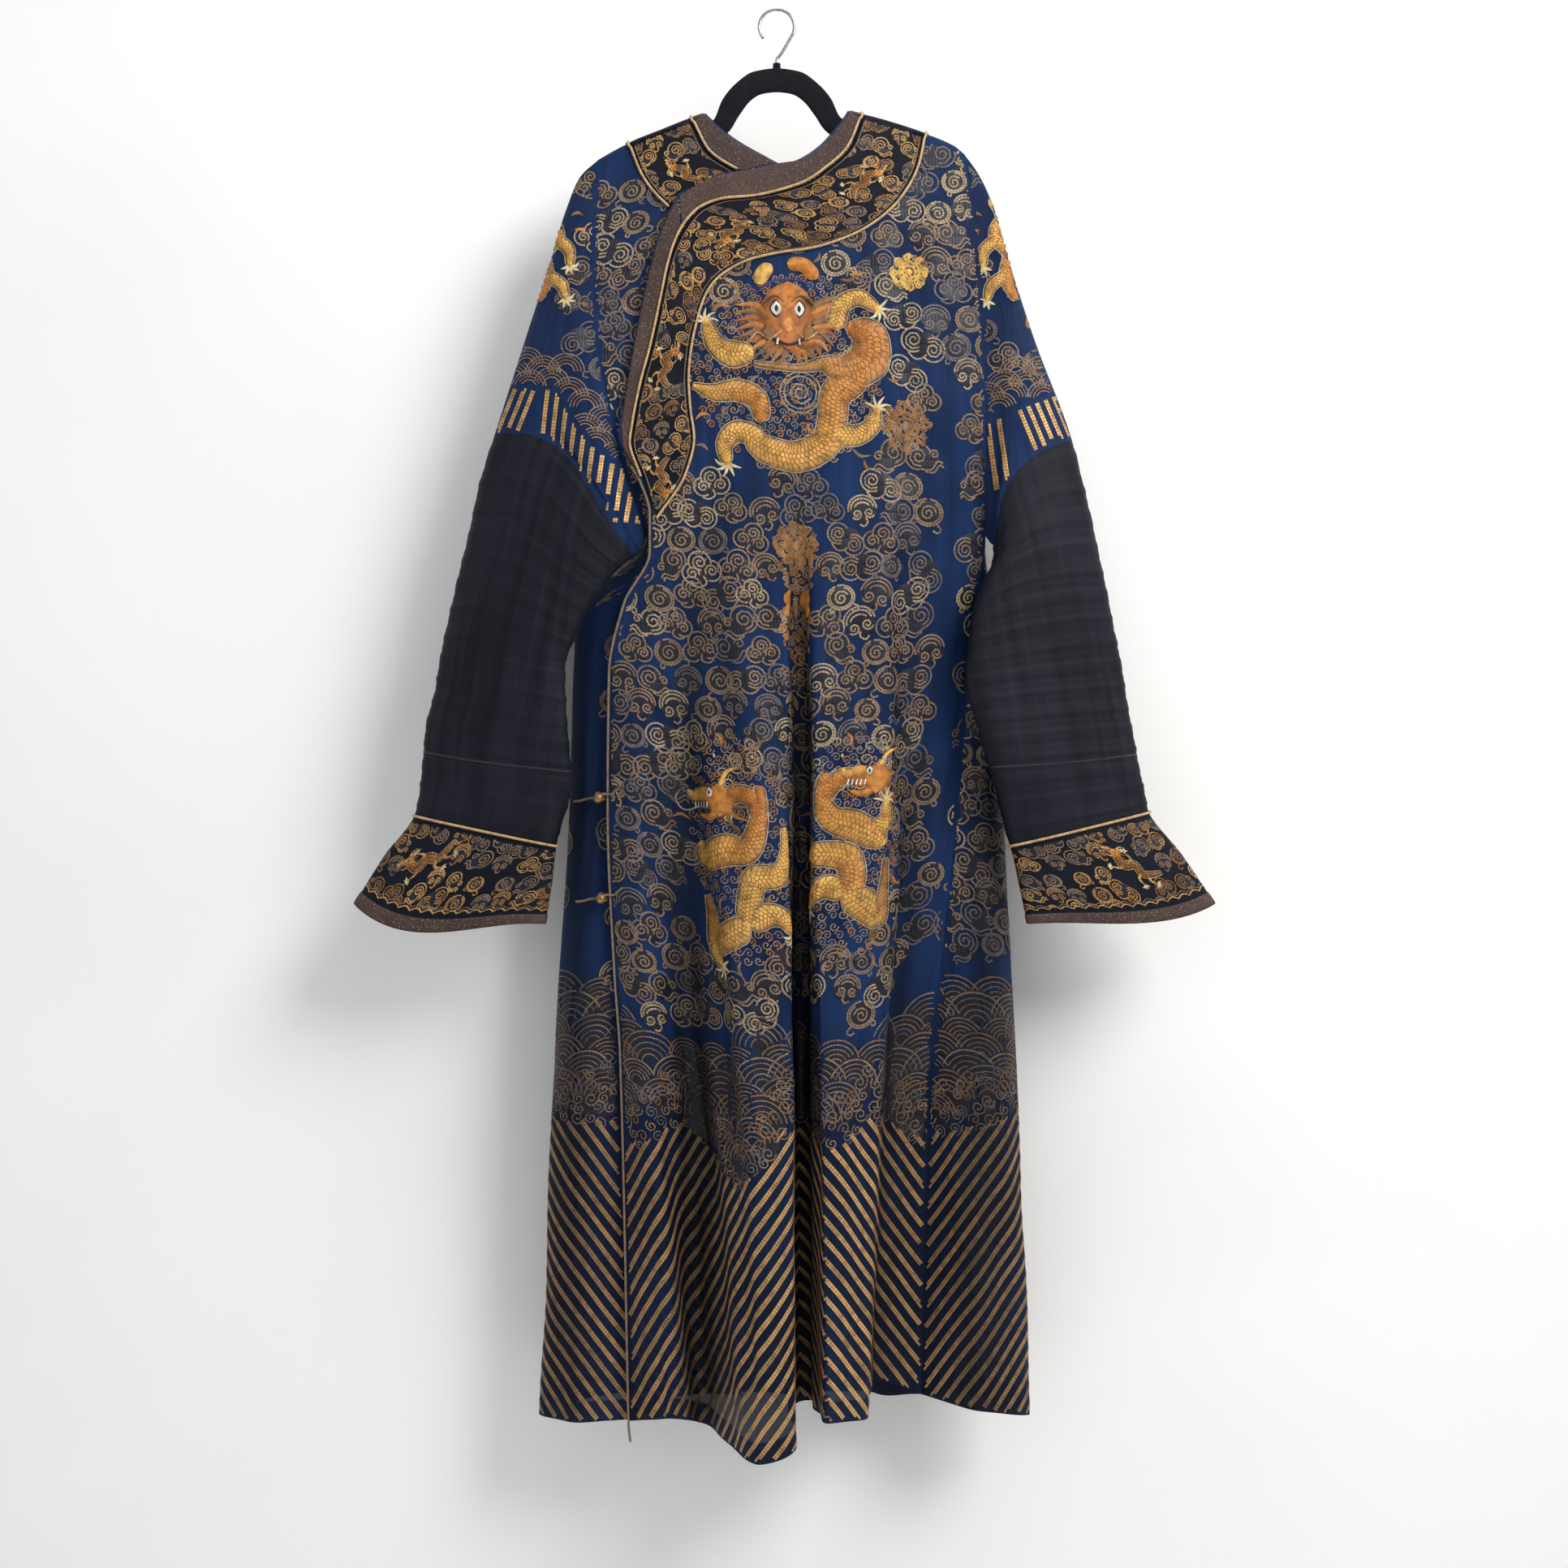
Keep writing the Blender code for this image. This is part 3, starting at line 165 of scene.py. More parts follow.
LEFT_SLEEVE = (
    Ring(203, 155, 226, 570, -8, 0, 0, 4, 13),
    Ring(218, 176, 229, 574, -9, 0, 0, 5, 15),
    Ring(234, 210, 231, 577, -8, 0, 0, 6, 18),
    Ring(254, 280, 233, 579, -2, 0, 0, 7, 21),
    Ring(283, 366, 235, 581, 12, 0, 0, 8, 24),
    Ring(320, 467, 236, 586, 30, 0, 0, 10, 26),
    Ring(334, 524, 232, 602, 23, 0, 0, 20, 25),
    Ring(349, 586, 217, 632, 13, 0, 0, 36, 21),
    Ring(362, 652, 205, 683, 5, 0, 0, 42, 20),
    Ring(373, 709, 201, 731, 0, 0, 1, 44, 20),
    Ring(383, 766, 215, 782, 0, 0, 2, 44, 20),
    Ring(391, 815, 230, 831, 0, 0, 3, 42, 20),
    Ring(396, 841, 238, 862, 0, 0, 4, 38, 20),
    Ring(401, 866, 248, 901, 0, 0, 5, 34, 20),
    Ring(437, 913, 259, 944, -4, 1, 6, 28, 19),
    Ring(474, 967, 269, 988, -10, 1, 6, 24, 17),
)
ARMHOLE, ELBOW_SEAM, CUFF_SEAM, CUFF_END = 0, 5, 13, 15    # rows of the tables above
SLEEVES = {"right": RIGHT_SLEEVE, "left": LEFT_SLEEVE}
ARMHOLES = {"right_side": RIGHT_ARMHOLE, "left_side": LEFT_ARMHOLE}
# Each sleeve's front panel, and which fold of it and of the back borders the armhole.
SLEEVE_EDGES = {
    "right": (UNDERLAP, 0, len(BACK) - 1),
    "left": (FRONT, len(FRONT) - 1, 0),
}
BLUNT = 0.75              # under 1 rounds the folded ends of a sleeve's ring
RIBS = 16                 # pressed ribs along each plain lower sleeve
RIB_HEIGHT = 1.3 * MM
CUFF_BAND = 13 * MM       # brocade edging round the cuff's mouth
BLEND_ROWS = 3            # a sleeve leaves the armhole's own edge over this many rings
CUFF_CORD_ROW = 3.5 * MM  # its cord lies this far below the cuff's upper edge

# ---- Bands on the panels, as (across, below the hook) in millimetres ----------------
# Each band lies between two edges that run side by side from its start to its end.
COLLAR_INNER = (
    (79, 110), (67.5, 127), (47.5, 151.5), (26, 166.5), (-2, 171.5), (-28, 177.5), (-63, 183.5), (-104, 205),
)
COLLAR_OUTER = (
    (92, 113), (76, 152), (54, 174), (28, 192), (-19, 206), (-57, 210), (-82, 219), (-101, 240),
)
COLLAR_UNDER_INNER = ((-79, 112), (-67, 124.5), (-46, 142.5), (-38, 148), (-2, 168))
COLLAR_UNDER_OUTER = ((-92, 117), (-72, 155), (-50, 171), (-43, 175), (-14, 192))
COLLAR_BACK_INNER = ((-79, 112), (-63, 131), (-37, 153), (4, 167), (43, 154), (66, 130), (79, 110))
COLLAR_BACK_OUTER = ((-92, 117), (-78, 152), (-46, 180), (4, 195), (50, 180), (78, 150), (92, 113))
YOKE_FRONT_INNER = (
    (94, 113), (78, 153), (56, 175), (30, 193), (-18, 207), (-56, 211), (-81, 220),
    (-99, 241), (-108, 258), (-116, 283), (-122, 313), (-134, 370), (-145, 412), (-153, 455),
    (-156, 475), (-143, 512), (-132, 546),
)
YOKE_FRONT_OUTER = (
    (161, 133), (153, 170), (137, 202), (110, 231), (74, 252), (38, 264), (0, 270),
    (-34, 279), (-61, 295), (-77, 317), (-85, 343), (-91, 372), (-94, 405), (-92, 438),
    (-88, 470), (-98, 510), (-127, 554),
)
YOKE_UNDER_INNER = ((-94, 117), (-74, 156), (-52, 172), (-34, 183))
YOKE_UNDER_OUTER = ((-160, 144), (-145, 181), (-130, 202), (-117, 215))
YOKE_BACK_INNER = ((-94, 117), (-80, 153), (-47, 181), (4, 196), (52, 181), (80, 151), (94, 113))
YOKE_BACK_OUTER = ((-160, 144), (-140, 190), (-85, 240), (4, 262), (88, 240), (142, 186), (161, 133))
EDGE_STRIP_INNER = (
    (-103, 240), (-110, 256), (-118, 283), (-124, 313), (-136, 370), (-147, 412),
    (-155, 452), (-157, 474), (-145, 510),
)
EDGE_STRIP_OUTER = (
    (-107, 208), (-126, 250), (-134, 280), (-141, 311), (-153, 374), (-163, 434),
    (-166, 458), (-164, 476), (-148, 506),
)

# The cord down the seam between the yoke and the brown strip, from the collar's corner.
EDGE_PIPING = (
    (-109, 256), (-117, 283), (-123, 313), (-135, 370), (-146, 412), (-154, 453.5),
    (-156.5, 474.5), (-145, 509),
)

PIPING = 1.5 * MM         # radius of the gold cord along the bands
SIDE_CORD = 1.4 * MM      # radius of the cord along the overlap's free edge
CORD_TAIL = ((0.5, 0, -11), (2, -1, -22))     # its loose end, from the hem, in millimetres

# ---- Buttons ----------------------------------------------------------------------------
BUTTON_RADIUS = 5.6 * MM
BUTTON_DROPS = (853 * MM, 961 * MM)
BUTTON_BESIDE_EDGE = 11 * MM
BUTTON_FORWARD = 1 * MM   # its middle stands this far forward of the overlap's edge
LOOP_RADIUS = 1.2 * MM
BUTTON_GAP = 0.7 * MM     # clear space between a button and the cords that hold it
EDGE_CORD_FROM = 500 * MM     # the cord down the overlap's edge starts here, below the hook
# Where the cords that hold a button lie, (across, below) from the overlap's edge and the
# button's height, in millimetres: on the overlap, and on the back panel's wrapped edge.
HOLD_CORD = ((3, -4), (8, -8), (13, -12))
HOLD_LOOP = ((-24, 1), (-31, 3), (-38, 4))
# The direction from the button's middle in which each of them starts.
HOLD_CORD_FROM = (0.6, -0.45, 0.6)
HOLD_LOOP_FROM = (-0.9, 0.4, 0.0)

# ---- Hanger -------------------------------------------------------------------------
HANGER_THICK = 6.0 * MM
# The flat band's upper and lower edges, (across, below the hook) in millimetres. Its
# arms run just under the shoulder fold, and the middle rises out of the neck opening.
HANGER_UPPER = (
    (-204, 180), (-193, 165.5), (-166, 149), (-124, 132), (-90, 121), (-77, 121.5), (-69, 118.5),
    (-59, 96), (-44, 78), (-25, 65.5), (0, 62), (25, 65.5), (44, 78), (59, 95), (69, 115),
    (77, 119), (91, 120), (120, 125), (149, 133.5), (180, 144.5), (196, 155.5), (208, 170),
)
HANGER_LOWER = (
    (-196, 190), (-184, 181), (-157, 170), (-115, 155), (-80, 145), (-63, 139), (-52, 131),
    (-41, 114), (-29, 98), (-16, 90), (0, 88), (16, 90), (29, 98), (41, 113), (52, 129),
    (63, 137), (81, 142), (112, 149), (141, 156), (172, 165), (187, 173), (200, 181),
)
HANGER_SQUARE = 0.6       # under 1 squares the band's section
END_ROUND = 8 * MM        # the band's ends round off over this length
FERRULE_HEIGHT = 5 * MM
FERRULE_TOP = 56.7 * MM   # below the hook's inside top
HOOK_WIRE = 1.9 * MM      # radius
HOOK_BEND = 19 * MM       # radius of the hook's wire centre line
HOOK_ANGLES = (-25, 215)  # degrees round from the +X side, past the crown
# The stem's points from the ferrule's top, (across, up) in millimetres.
HOOK_STEM = ((0, 0.8), (0.5, 5), (6, 12))


# ---- Curves through tables --------------------------------------------------------------
def slopes(steps):
    """Harmonic mean of the two neighbouring steps, zero at a turning point."""
    inner = np.zeros_like(steps[1:])
    same = steps[1:] * steps[:-1] > 0
    inner[same] = 2 * (steps[1:] * steps[:-1])[same] / (steps[1:] + steps[:-1])[same]
    return np.concatenate([steps[:1], inner, steps[-1:]])


def monotone(knots, values, at):
    """Monotone cubic through (knots, values), read at every entry of at."""
    knots = np.asarray(knots, float)
    values = np.asarray(values, float)
    gaps = np.diff(knots)
    tangent = slopes(np.diff(values) / gaps)
    at = np.clip(at, knots[0], knots[-1])
    i = np.clip(np.searchsorted(knots, at, side="right") - 1, 0, len(gaps) - 1)
    t = (at - knots[i]) / gaps[i]
    return hermite(t, values[i], values[i + 1], tangent[i] * gaps[i], tangent[i + 1] * gaps[i])


def hermite(t, start, end, leave, arrive):
    """Cubic from start to end with the given end slopes, t from 0 to 1."""
    return (
        start * (2 * t**3 - 3 * t**2 + 1)
        + end * (3 * t**2 - 2 * t**3)
        + leave * (t**3 - 2 * t**2 + t)
        + arrive * (t**3 - t**2)
    )


def across(columns, u):
    """Monotone cubic through columns[0], columns[1], ... read at u, point by point."""
    tangent = slopes(np.diff(columns, axis=0))
    i = np.clip(np.floor(u).astype(int), 0, len(columns) - 2)

    def take(array, index):
        return np.take_along_axis(array, index[None], axis=0)[0]

    return hermite(
        u - i, take(columns, i), take(columns, i + 1), take(tangent, i), take(tangent, i + 1)
    )


def outline(points, at, along=0):
    """Reads an outline table at distances across (along=0) or below the hook (along=1)."""
    table = np.array(points) * MM
    table = table[np.argsort(table[:, along], kind="stable")]
    return monotone(table[:, along], table[:, 1 - along], at)


# ---- The robe's body ------------------------------------------------------------------
def opened(x, drop, reach):
    """How far cloth stands off the hanger's plane: round over the fold, then out to reach."""
    below = np.maximum(drop - outline(SHOULDER_FOLD, x), 0)
    bend = FOLD_RADIUS * np.sqrt(1 - (1 - np.minimum(below / FOLD_RADIUS, 1)) ** 2)
    return bend + (reach - FOLD_RADIUS) * (1 - np.exp(-below / SETTLE))


def ring_point(rings, row, turn):
    """A sleeve's surface: row runs down the table, turn goes round from the outer fold.

    Along a ring the middle line runs from the outer to the inner fold by
    s = (1 - cos turn) / 2, bowed by 4 s (1 - s) (1 + skew (1 - 2 s)), and stands off it by
    half * |sin turn| ** BLUNT, forward for the first half turn and backward after.
    """
    table = np.array(rings, float) * MM
    row = np.asarray(row, float)
    cells = np.stack([across(np.broadcast_to(
        table[:, c].reshape((-1,) + (1,) * row.ndim), (len(table),) + row.shape), row)
        for c in range(table.shape[1])])
    outer_x, outer_drop, inner_x, inner_drop, bow, skew, outer_fwd, inner_fwd, half = cells
    skew = skew / MM
    s = (1 - np.cos(turn)) / 2
    run_x, run_drop = inner_x - outer_x, inner_drop - outer_drop
    length = np.hypot(run_x, run_drop)
    side = np.sign(rings[0].outer_x)
    lean = bow * 4 * s * (1 - s) * (1 + skew * (1 - 2 * s))
    x = outer_x + run_x * s - side * lean * np.abs(run_drop) / length
    drop = outer_drop + run_drop * s - lean * np.abs(run_x) / length
    stand = half * np.abs(np.sin(turn)) ** BLUNT * np.where(np.sin(turn) >= 0, 1, -1)
    forward = outer_fwd + (inner_fwd - outer_fwd) * s + stand
    return np.stack([x, -forward, -drop], axis=-1)


def panel_point(folds, facing, u, drop):
    """A body panel's surface: u counts its folds, drop is the distance below the hook."""
    xs, reaches = [], []
    for fold in folds:
        x = monotone(LEVELS, np.array(fold.across) * MM, drop)
        if fold.name == "free_edge":
            x = outline(OVERLAP_EDGE, drop, along=1)
        if fold.name in ARMHOLES:
            x = np.where(drop < UNDERARM, outline(ARMHOLES[fold.name], drop, along=1), x)
        xs.append(x)
        reaches.append(monotone(LEVELS, np.array(fold.forward) * MM, drop))
    x = across(np.stack(xs), u)
    reach = across(np.stack(reaches), u)
    return np.stack([x, -facing * opened(x, drop, facing * reach), -drop], axis=-1)


def sleeve_point(side, row, turn):
    """A sleeve's surface: its rings, drawn at the armhole onto the panels' own edges."""
    rings = SLEEVES[side]
    here = ring_point(rings, row, turn)
    start = ring_point(rings, np.zeros_like(row), turn)
    drop = -start[..., 2]
    front, front_fold, back_fold = SLEEVE_EDGES[side]
    edge = np.where(
        (np.sin(turn) >= 0)[..., None],
        panel_point(front, 1, np.full_like(drop, front_fold), drop),
        panel_point(BACK, -1, np.full_like(drop, back_fold), drop),
    )
    fade = np.clip(1 - row / BLEND_ROWS, 0, 1)[..., None] ** 2
    return here + (edge - start) * fade


# ---- Cloths: surfaces with flat coordinates of their own --------------------------------
ROW_STEP = 8 * MM         # rows of a cloth's table
FOLD_COLUMNS = 16         # its columns between two folds
CLOTH_TOP, CLOTH_FOOT = 88 * MM, 1560 * MM
SLEEVE_ROWS, SLEEVE_COLUMNS = 260, 113
CREASE_FROM = 160 * MM    # creases fade in from this far below the hook
CREASE_FADE = 60 * MM
FLAT_STEP = 1.5 * MM      # step of the table that turns a distance across into a column
FOLD_TURNS = 7            # rows of a panel over the shoulder fold
UPPER_ROWS, LOWER_ROWS = 24, 12
UPPER_END, LOWER_START = 280 * MM, 1440 * MM
HEM_TURN = 22 * MM        # cloth turned up inside the hem
HEM_CLEAR = 0.5 * MM      # stitches end this far above it
INSIDE = 0.8 * MM         # a turned-in layer lies this far behind the outer one
DRIFT_WAVES = 5
# Painted shade: dye and threads are darkened in the hollows of the folds, as though shade fell there.
HOLLOW_SIDES = np.array([-52, -38, -24, 24, 38, 52]) * MM   # where a fold's hollow is looked for
HOLLOW_LEAST, HOLLOW_DEPTH = 0.5 * MM, 17 * MM    # depths at which its painted shade starts and is full
HOLLOW_PAINTED_SHADE = 0.62       # the light that the full painted shade takes from the dye and threads
FACING = 0.12             # cloth counts as seen where its normal's share of Y is over this
AHEAD = 2e-4              # metres ahead weigh this much against the square of metres aside


def read(table, i, j):
    """Bilinear reading of table at fractional row i and column j."""
    i = np.clip(i, 0, len(table) - 1.001)
    j = np.clip(j, 0, table.shape[1] - 1.001)
    a, b = i.astype(int), j.astype(int)
    s, t = i - a, j - b
    if table.ndim > 2:
        s, t = s[..., None], t[..., None]
    top = table[a, b] * (1 - t) + table[a, b + 1] * t
    low = table[a + 1, b] * (1 - t) + table[a + 1, b + 1] * t
    return top * (1 - s) + low * s


def unit(vectors):
    return vectors / np.maximum(np.linalg.norm(vectors, axis=-1, keepdims=True), 1e-12)


def smooth(x, low, high):
    """0 below low, 1 above high, an S curve between."""
    t = np.clip((x - low) / (high - low), 0, 1)
    return t * t * (3 - 2 * t)


def drift(x, y, seed, size):
    """Slow uneven waves between -1 and 1: five sine waves of unlike lengths, added."""
    x, y = x / size, y / size
    total = 0
    for n in range(DRIFT_WAVES):
        turn = seed * 1.7 + n * 2.4
        total = total + np.sin(
            (x * math.cos(turn) + y * math.sin(turn)) * (1 + 0.37 * n) * math.tau + seed + n * n)
    return total / 3.2


class Cloth:
    """A cloth as a table of points, rows down it and columns across, with flat coordinates.

    across[i, j] is the distance along row i from the middle column, down[i] the row's own
    distance down. lay() gives the point of the cloth at any (across, down).
    """

    def __init__(self, points, down, middle, on, turn=1, crease=None):
        steps = np.linalg.norm(np.diff(points, axis=1), axis=-1)
        run = np.concatenate([np.zeros((len(points), 1)), np.cumsum(steps, axis=1)], axis=1)
        self.down, self.on, self.turn, self.hem = down, on, turn, None
        self.across = run - run[:, middle:middle + 1]
        self.push = self.facing(points) * crease(self.across, down[:, None])[..., None]
        self.points = points + self.push
        self.normals = self.facing(self.points)
        # Painted shade: where a point lies behind the cloth 24 to 52 mm to either side, in a hollow, its dye and
        # threads are darkened.
        out = points[..., 1] * np.sign(self.normals[on][:, 1].sum())
        around = [np.interp(row[:, None] + HOLLOW_SIDES, row, stand) for row, stand in zip(self.across, out)]
        hollow = np.mean(around, axis=-1) - out
        self.shade = 1 - HOLLOW_PAINTED_SHADE * smooth(hollow, HOLLOW_LEAST, HOLLOW_DEPTH)
        self.low = self.across[on].min()
        self.high = self.across[on].max()
        places = np.arange(self.low, self.high + FLAT_STEP, FLAT_STEP)
        columns = np.arange(points.shape[1])
        self.back = np.stack([
            np.interp(places, row[mask], columns[mask], left=-1, right=-1)
            if mask.sum() > 1 else np.full(len(places), -1.0)
            for row, mask in zip(self.across, on)])
        held = np.maximum(self.back, 0)
        whole = np.take_along_axis(on, np.floor(held).astype(int), axis=1)
        whole &= np.take_along_axis(on, np.ceil(held).astype(int), axis=1)
        self.back[~whole] = -1

    def facing(self, points):
        return unit(np.cross(np.gradient(points, axis=0), np.gradient(points, axis=1))) * self.turn

    def row(self, down):
        return np.interp(down, self.down, np.arange(len(self.down)))

    def lay(self, across, down):
        """Points and outward directions at flat coordinates, and where these are on the cloth."""
        row, place = self.row(down), (across - self.low) / FLAT_STEP
        good = (place >= 0) & (place <= self.back.shape[1] - 1.01)
        good &= (down >= self.down[0]) & (down <= self.down[-1])
        a = np.floor(row).astype(int)
        b = np.clip(np.floor(place).astype(int), 0, self.back.shape[1] - 2)
        below = np.minimum(a + 1, len(self.back) - 1)
        corners = [self.back[a, b], self.back[a, b + 1], self.back[below, b], self.back[below, b + 1]]
        good &= np.min(corners, axis=0) >= 0
        column = np.maximum(read(self.back, row, place), 0)
        if self.hem is not None:
            good &= down < np.interp(column, np.arange(len(self.hem)), self.hem) - HEM_CLEAR
        return read(self.points, row, column), unit(read(self.normals, row, column)), good

    def shaded(self, across, down):
        """Painted shade over the dye and threads at flat coordinates: 1 on a ridge, less in a hollow."""
        row, place = self.row(down), (across - self.low) / FLAT_STEP
        return read(self.shade, row, np.maximum(read(self.back, row, place), 0))

    def find(self, x, drop):
        """Flat coordinates of the frontmost place seen at (x, drop) from the cloth's own side."""
        seen = self.on & (np.abs(self.normals[..., 1]) > FACING)
        near = (self.points[..., 0] - x) ** 2 + (self.points[..., 2] + drop) ** 2
        ahead = self.points[..., 1] * np.sign(self.normals[..., 1])
        cost = np.where(seen, near - AHEAD * ahead, np.inf)
        i, j = np.unravel_index(np.argmin(cost), cost.shape)
        return self.across[i, j], self.down[i]


def soft_creases(seed, strength, fade_over):
    """Depth of a cloth's small creases: long soft ridges down it and slanting pulls high up."""

    def depth(across, down):
        wander = 0.012 * drift(down, across * 0, seed, 0.55)
        ridge = np.sin((across + wander) / 0.043 * math.tau / 1.3 + seed)
        ridge = ridge * (0.6 + 0.6 * drift(across, down * 0.35, seed + 3, 0.21))
        pull = drift(across + 0.6 * down, down - 0.8 * across, seed + 7, 0.13)
        lower = smooth(down, 0.25, 1.0)
        start, end = across[:, :1], across[:, -1:]
        fade = smooth(across - start, 0, fade_over) * smooth(end - across, 0, fade_over)
        fade = fade * smooth(down, CREASE_FROM, CREASE_FROM + 2 * CREASE_FADE)
        return MM * fade * strength * (ridge * (0.4 + 0.9 * lower) + 0.6 * pull * (1.1 - lower))

    return depth


def overlap_top(x):
    return outline(OVERLAP_TOP, x)


def shoulder_or(neck):
    """Top edge: the shoulder fold, cut away by a neckline within NECK_HALF of the middle."""

    def edge(x):
        return np.where(np.abs(x) < NECK_HALF, outline(neck, x), outline(SHOULDER_FOLD, x))

    return edge


def top_drop(folds, facing, edge, u):
    """Distance below the hook of a panel's top edge, where its column u meets edge(x)."""
    drop = np.full(np.shape(u), LEVELS[0])
    for _ in range(TOP_ROUNDS):
        drop = edge(panel_point(folds, facing, u, drop)[..., 0])
    return drop


def panel_cloth(folds, facing, middle, edges, seed, strength=2.6, fade_over=CREASE_FADE):
    """The cloth of one or two body panels; edges give (first fold, last fold, top edge)."""
    u = np.linspace(0, len(folds) - 1, FOLD_COLUMNS * (len(folds) - 1) + 1)
    down = np.arange(CLOTH_TOP, CLOTH_FOOT, ROW_STEP)
    grid_u = np.broadcast_to(u, (len(down), len(u)))
    grid_down = np.broadcast_to(down[:, None], (len(down), len(u)))
    points = panel_point(folds, facing, grid_u, grid_down)
    names = [fold.name for fold in folds]
    hem = monotone(np.arange(len(folds)), np.array([fold.hem for fold in folds]) * MM, u)
    on = grid_down <= hem[None] + ROW_STEP
    for first, last, edge in edges:
        mine = (u >= names.index(first)) & (u <= names.index(last))
        on[:, mine] &= (grid_down >= edge(points[..., 0]))[:, mine]
    crease = soft_creases(seed, strength, fade_over)
    cloth = Cloth(points, down, names.index(middle) * FOLD_COLUMNS, on, crease=crease)
    cloth.u, cloth.hem, cloth.folds, cloth.side, cloth.names = u, hem, folds, facing, names
    return cloth


def on_panel(cloth, u, drop):
    """The panel's points, outward directions and distances across at fold counts and drops."""

    def point(count, below):
        return panel_point(cloth.folds, cloth.side, count, below)

    here = point(u, drop)
    out = unit(np.cross(point(u, drop + NUDGE * MM) - here, point(u + NUDGE, drop) - point(u - NUDGE, drop)))
    row, column = cloth.row(drop), np.broadcast_to(u * FOLD_COLUMNS, drop.shape)
    return here + read(cloth.push, row, column), out, read(cloth.across, row, column)


def fold_count(cloth, x, drop, between=None):
    """The fold count at which the panel stands at x, between two named folds if told."""
    lo, hi = (0, len(cloth.folds) - 1) if between is None else map(cloth.names.index, between)
    u = np.linspace(lo, hi, LOOK_STEPS * (hi - lo) + 1)
    wide = drop.shape + u.shape
    line = panel_point(cloth.folds, cloth.side, np.broadcast_to(u, wide),
                       np.broadcast_to(drop[..., None], wide))[..., 0]
    near = np.clip(np.argmin(np.abs(line - x[..., None]), axis=-1), 1, len(u) - 2)
    before, after = (np.take_along_axis(line, (near + n)[..., None], axis=-1)[..., 0] for n in (-1, 1))
    return u[near - 1] + (x - before) / (after - before) * (u[near + 1] - u[near - 1])


def sleeve_cloth(side, seed):
    """The whole sleeve's cloth, from the armhole to the cuff's mouth, round from its outer fold."""
    table = np.array(SLEEVES[side], float) * MM
    steps = np.hypot(np.diff(table[:, 0] + table[:, 2]), np.diff(table[:, 1] + table[:, 3])) / 2
    reach = np.r_[0, np.cumsum(steps)]
    down = np.linspace(0, reach[-1], SLEEVE_ROWS)
    row = monotone(reach, np.arange(len(reach)), down)
    v = np.linspace(-1, 1, SLEEVE_COLUMNS)
    turn = math.pi * (v - 0.08 * np.sin(math.tau * v))
    rows, turns = np.meshgrid(row, turn, indexing="ij")
    points = sleeve_point(side, rows, turns)
    elbow, wrist = reach[[ELBOW_SEAM, CUFF_SEAM]]

    def crease(across, down):
        round_it = across / (across[:, -1:] - across[:, :1]) * math.tau
        soft = drift(np.cos(round_it) * 0.1, down + 0.1 * np.sin(round_it), seed, 0.17) * MM * 0.8
        soft = soft * smooth(down, 0.03, 0.1) * smooth(reach[-1] - down, 0.0, 0.05)
        inside = smooth(down, elbow, elbow + 4 * MM) * smooth(wrist - down, 0, 4 * MM)
        share = np.clip((down - elbow) / (wrist - elbow), 0, 1)
        uneven = 0.75 + 0.25 * drift(across, down * 3, seed + 2, 0.16)
        slip = 0.25 * drift(across, down * 0, seed + 5, 0.3)
        broad = 0.5 - 0.5 * np.cos((share * RIBS + slip * 0.2) * math.tau)
        narrow = np.cos((share * RIBS * 2.63 + slip) * math.tau) * 0.22
        return soft + inside * RIB_HEIGHT * uneven * (broad ** 2 * 0.8 + narrow)

    way = 1 if side == "right" else -1
    cloth = Cloth(points, down, SLEEVE_COLUMNS // 2, np.ones(points.shape[:2], bool), way, crease)
    cloth.reach, cloth.way = reach, way
    return cloth


# ---- Meshes ------------------------------------------------------------------------------
UV_UNIT = 0.1             # metres of cloth for one unit of its UV map


LINE_HIGH, LINE_LOW = 0.6 * MM, 0.15 * MM       # a stitched line's middle and edges, over the cloth
CORD_HELPER = np.array([0.31, 0.93, 0.17])     # no cord runs along this


def silk(red, green, blue):
    """A screen colour, 0 to 255, as linear light."""
    shown = np.array([red, green, blue]) / 255
    return tuple(np.where(shown <= 0.04045, shown / 12.92, ((shown + 0.055) / 1.055) ** 2.4).tolist())


def grid_faces(rows, columns, closed=False):
    """Quads of a grid of rows x columns points, joined round if closed."""
    i, j = np.meshgrid(np.arange(rows - 1), np.arange(columns - (not closed)), indexing="ij")
    k = (j + 1) % columns
    return np.stack(
        [i * columns + j, (i + 1) * columns + j, (i + 1) * columns + k, i * columns + k], axis=-1
    ).reshape(-1, 4)


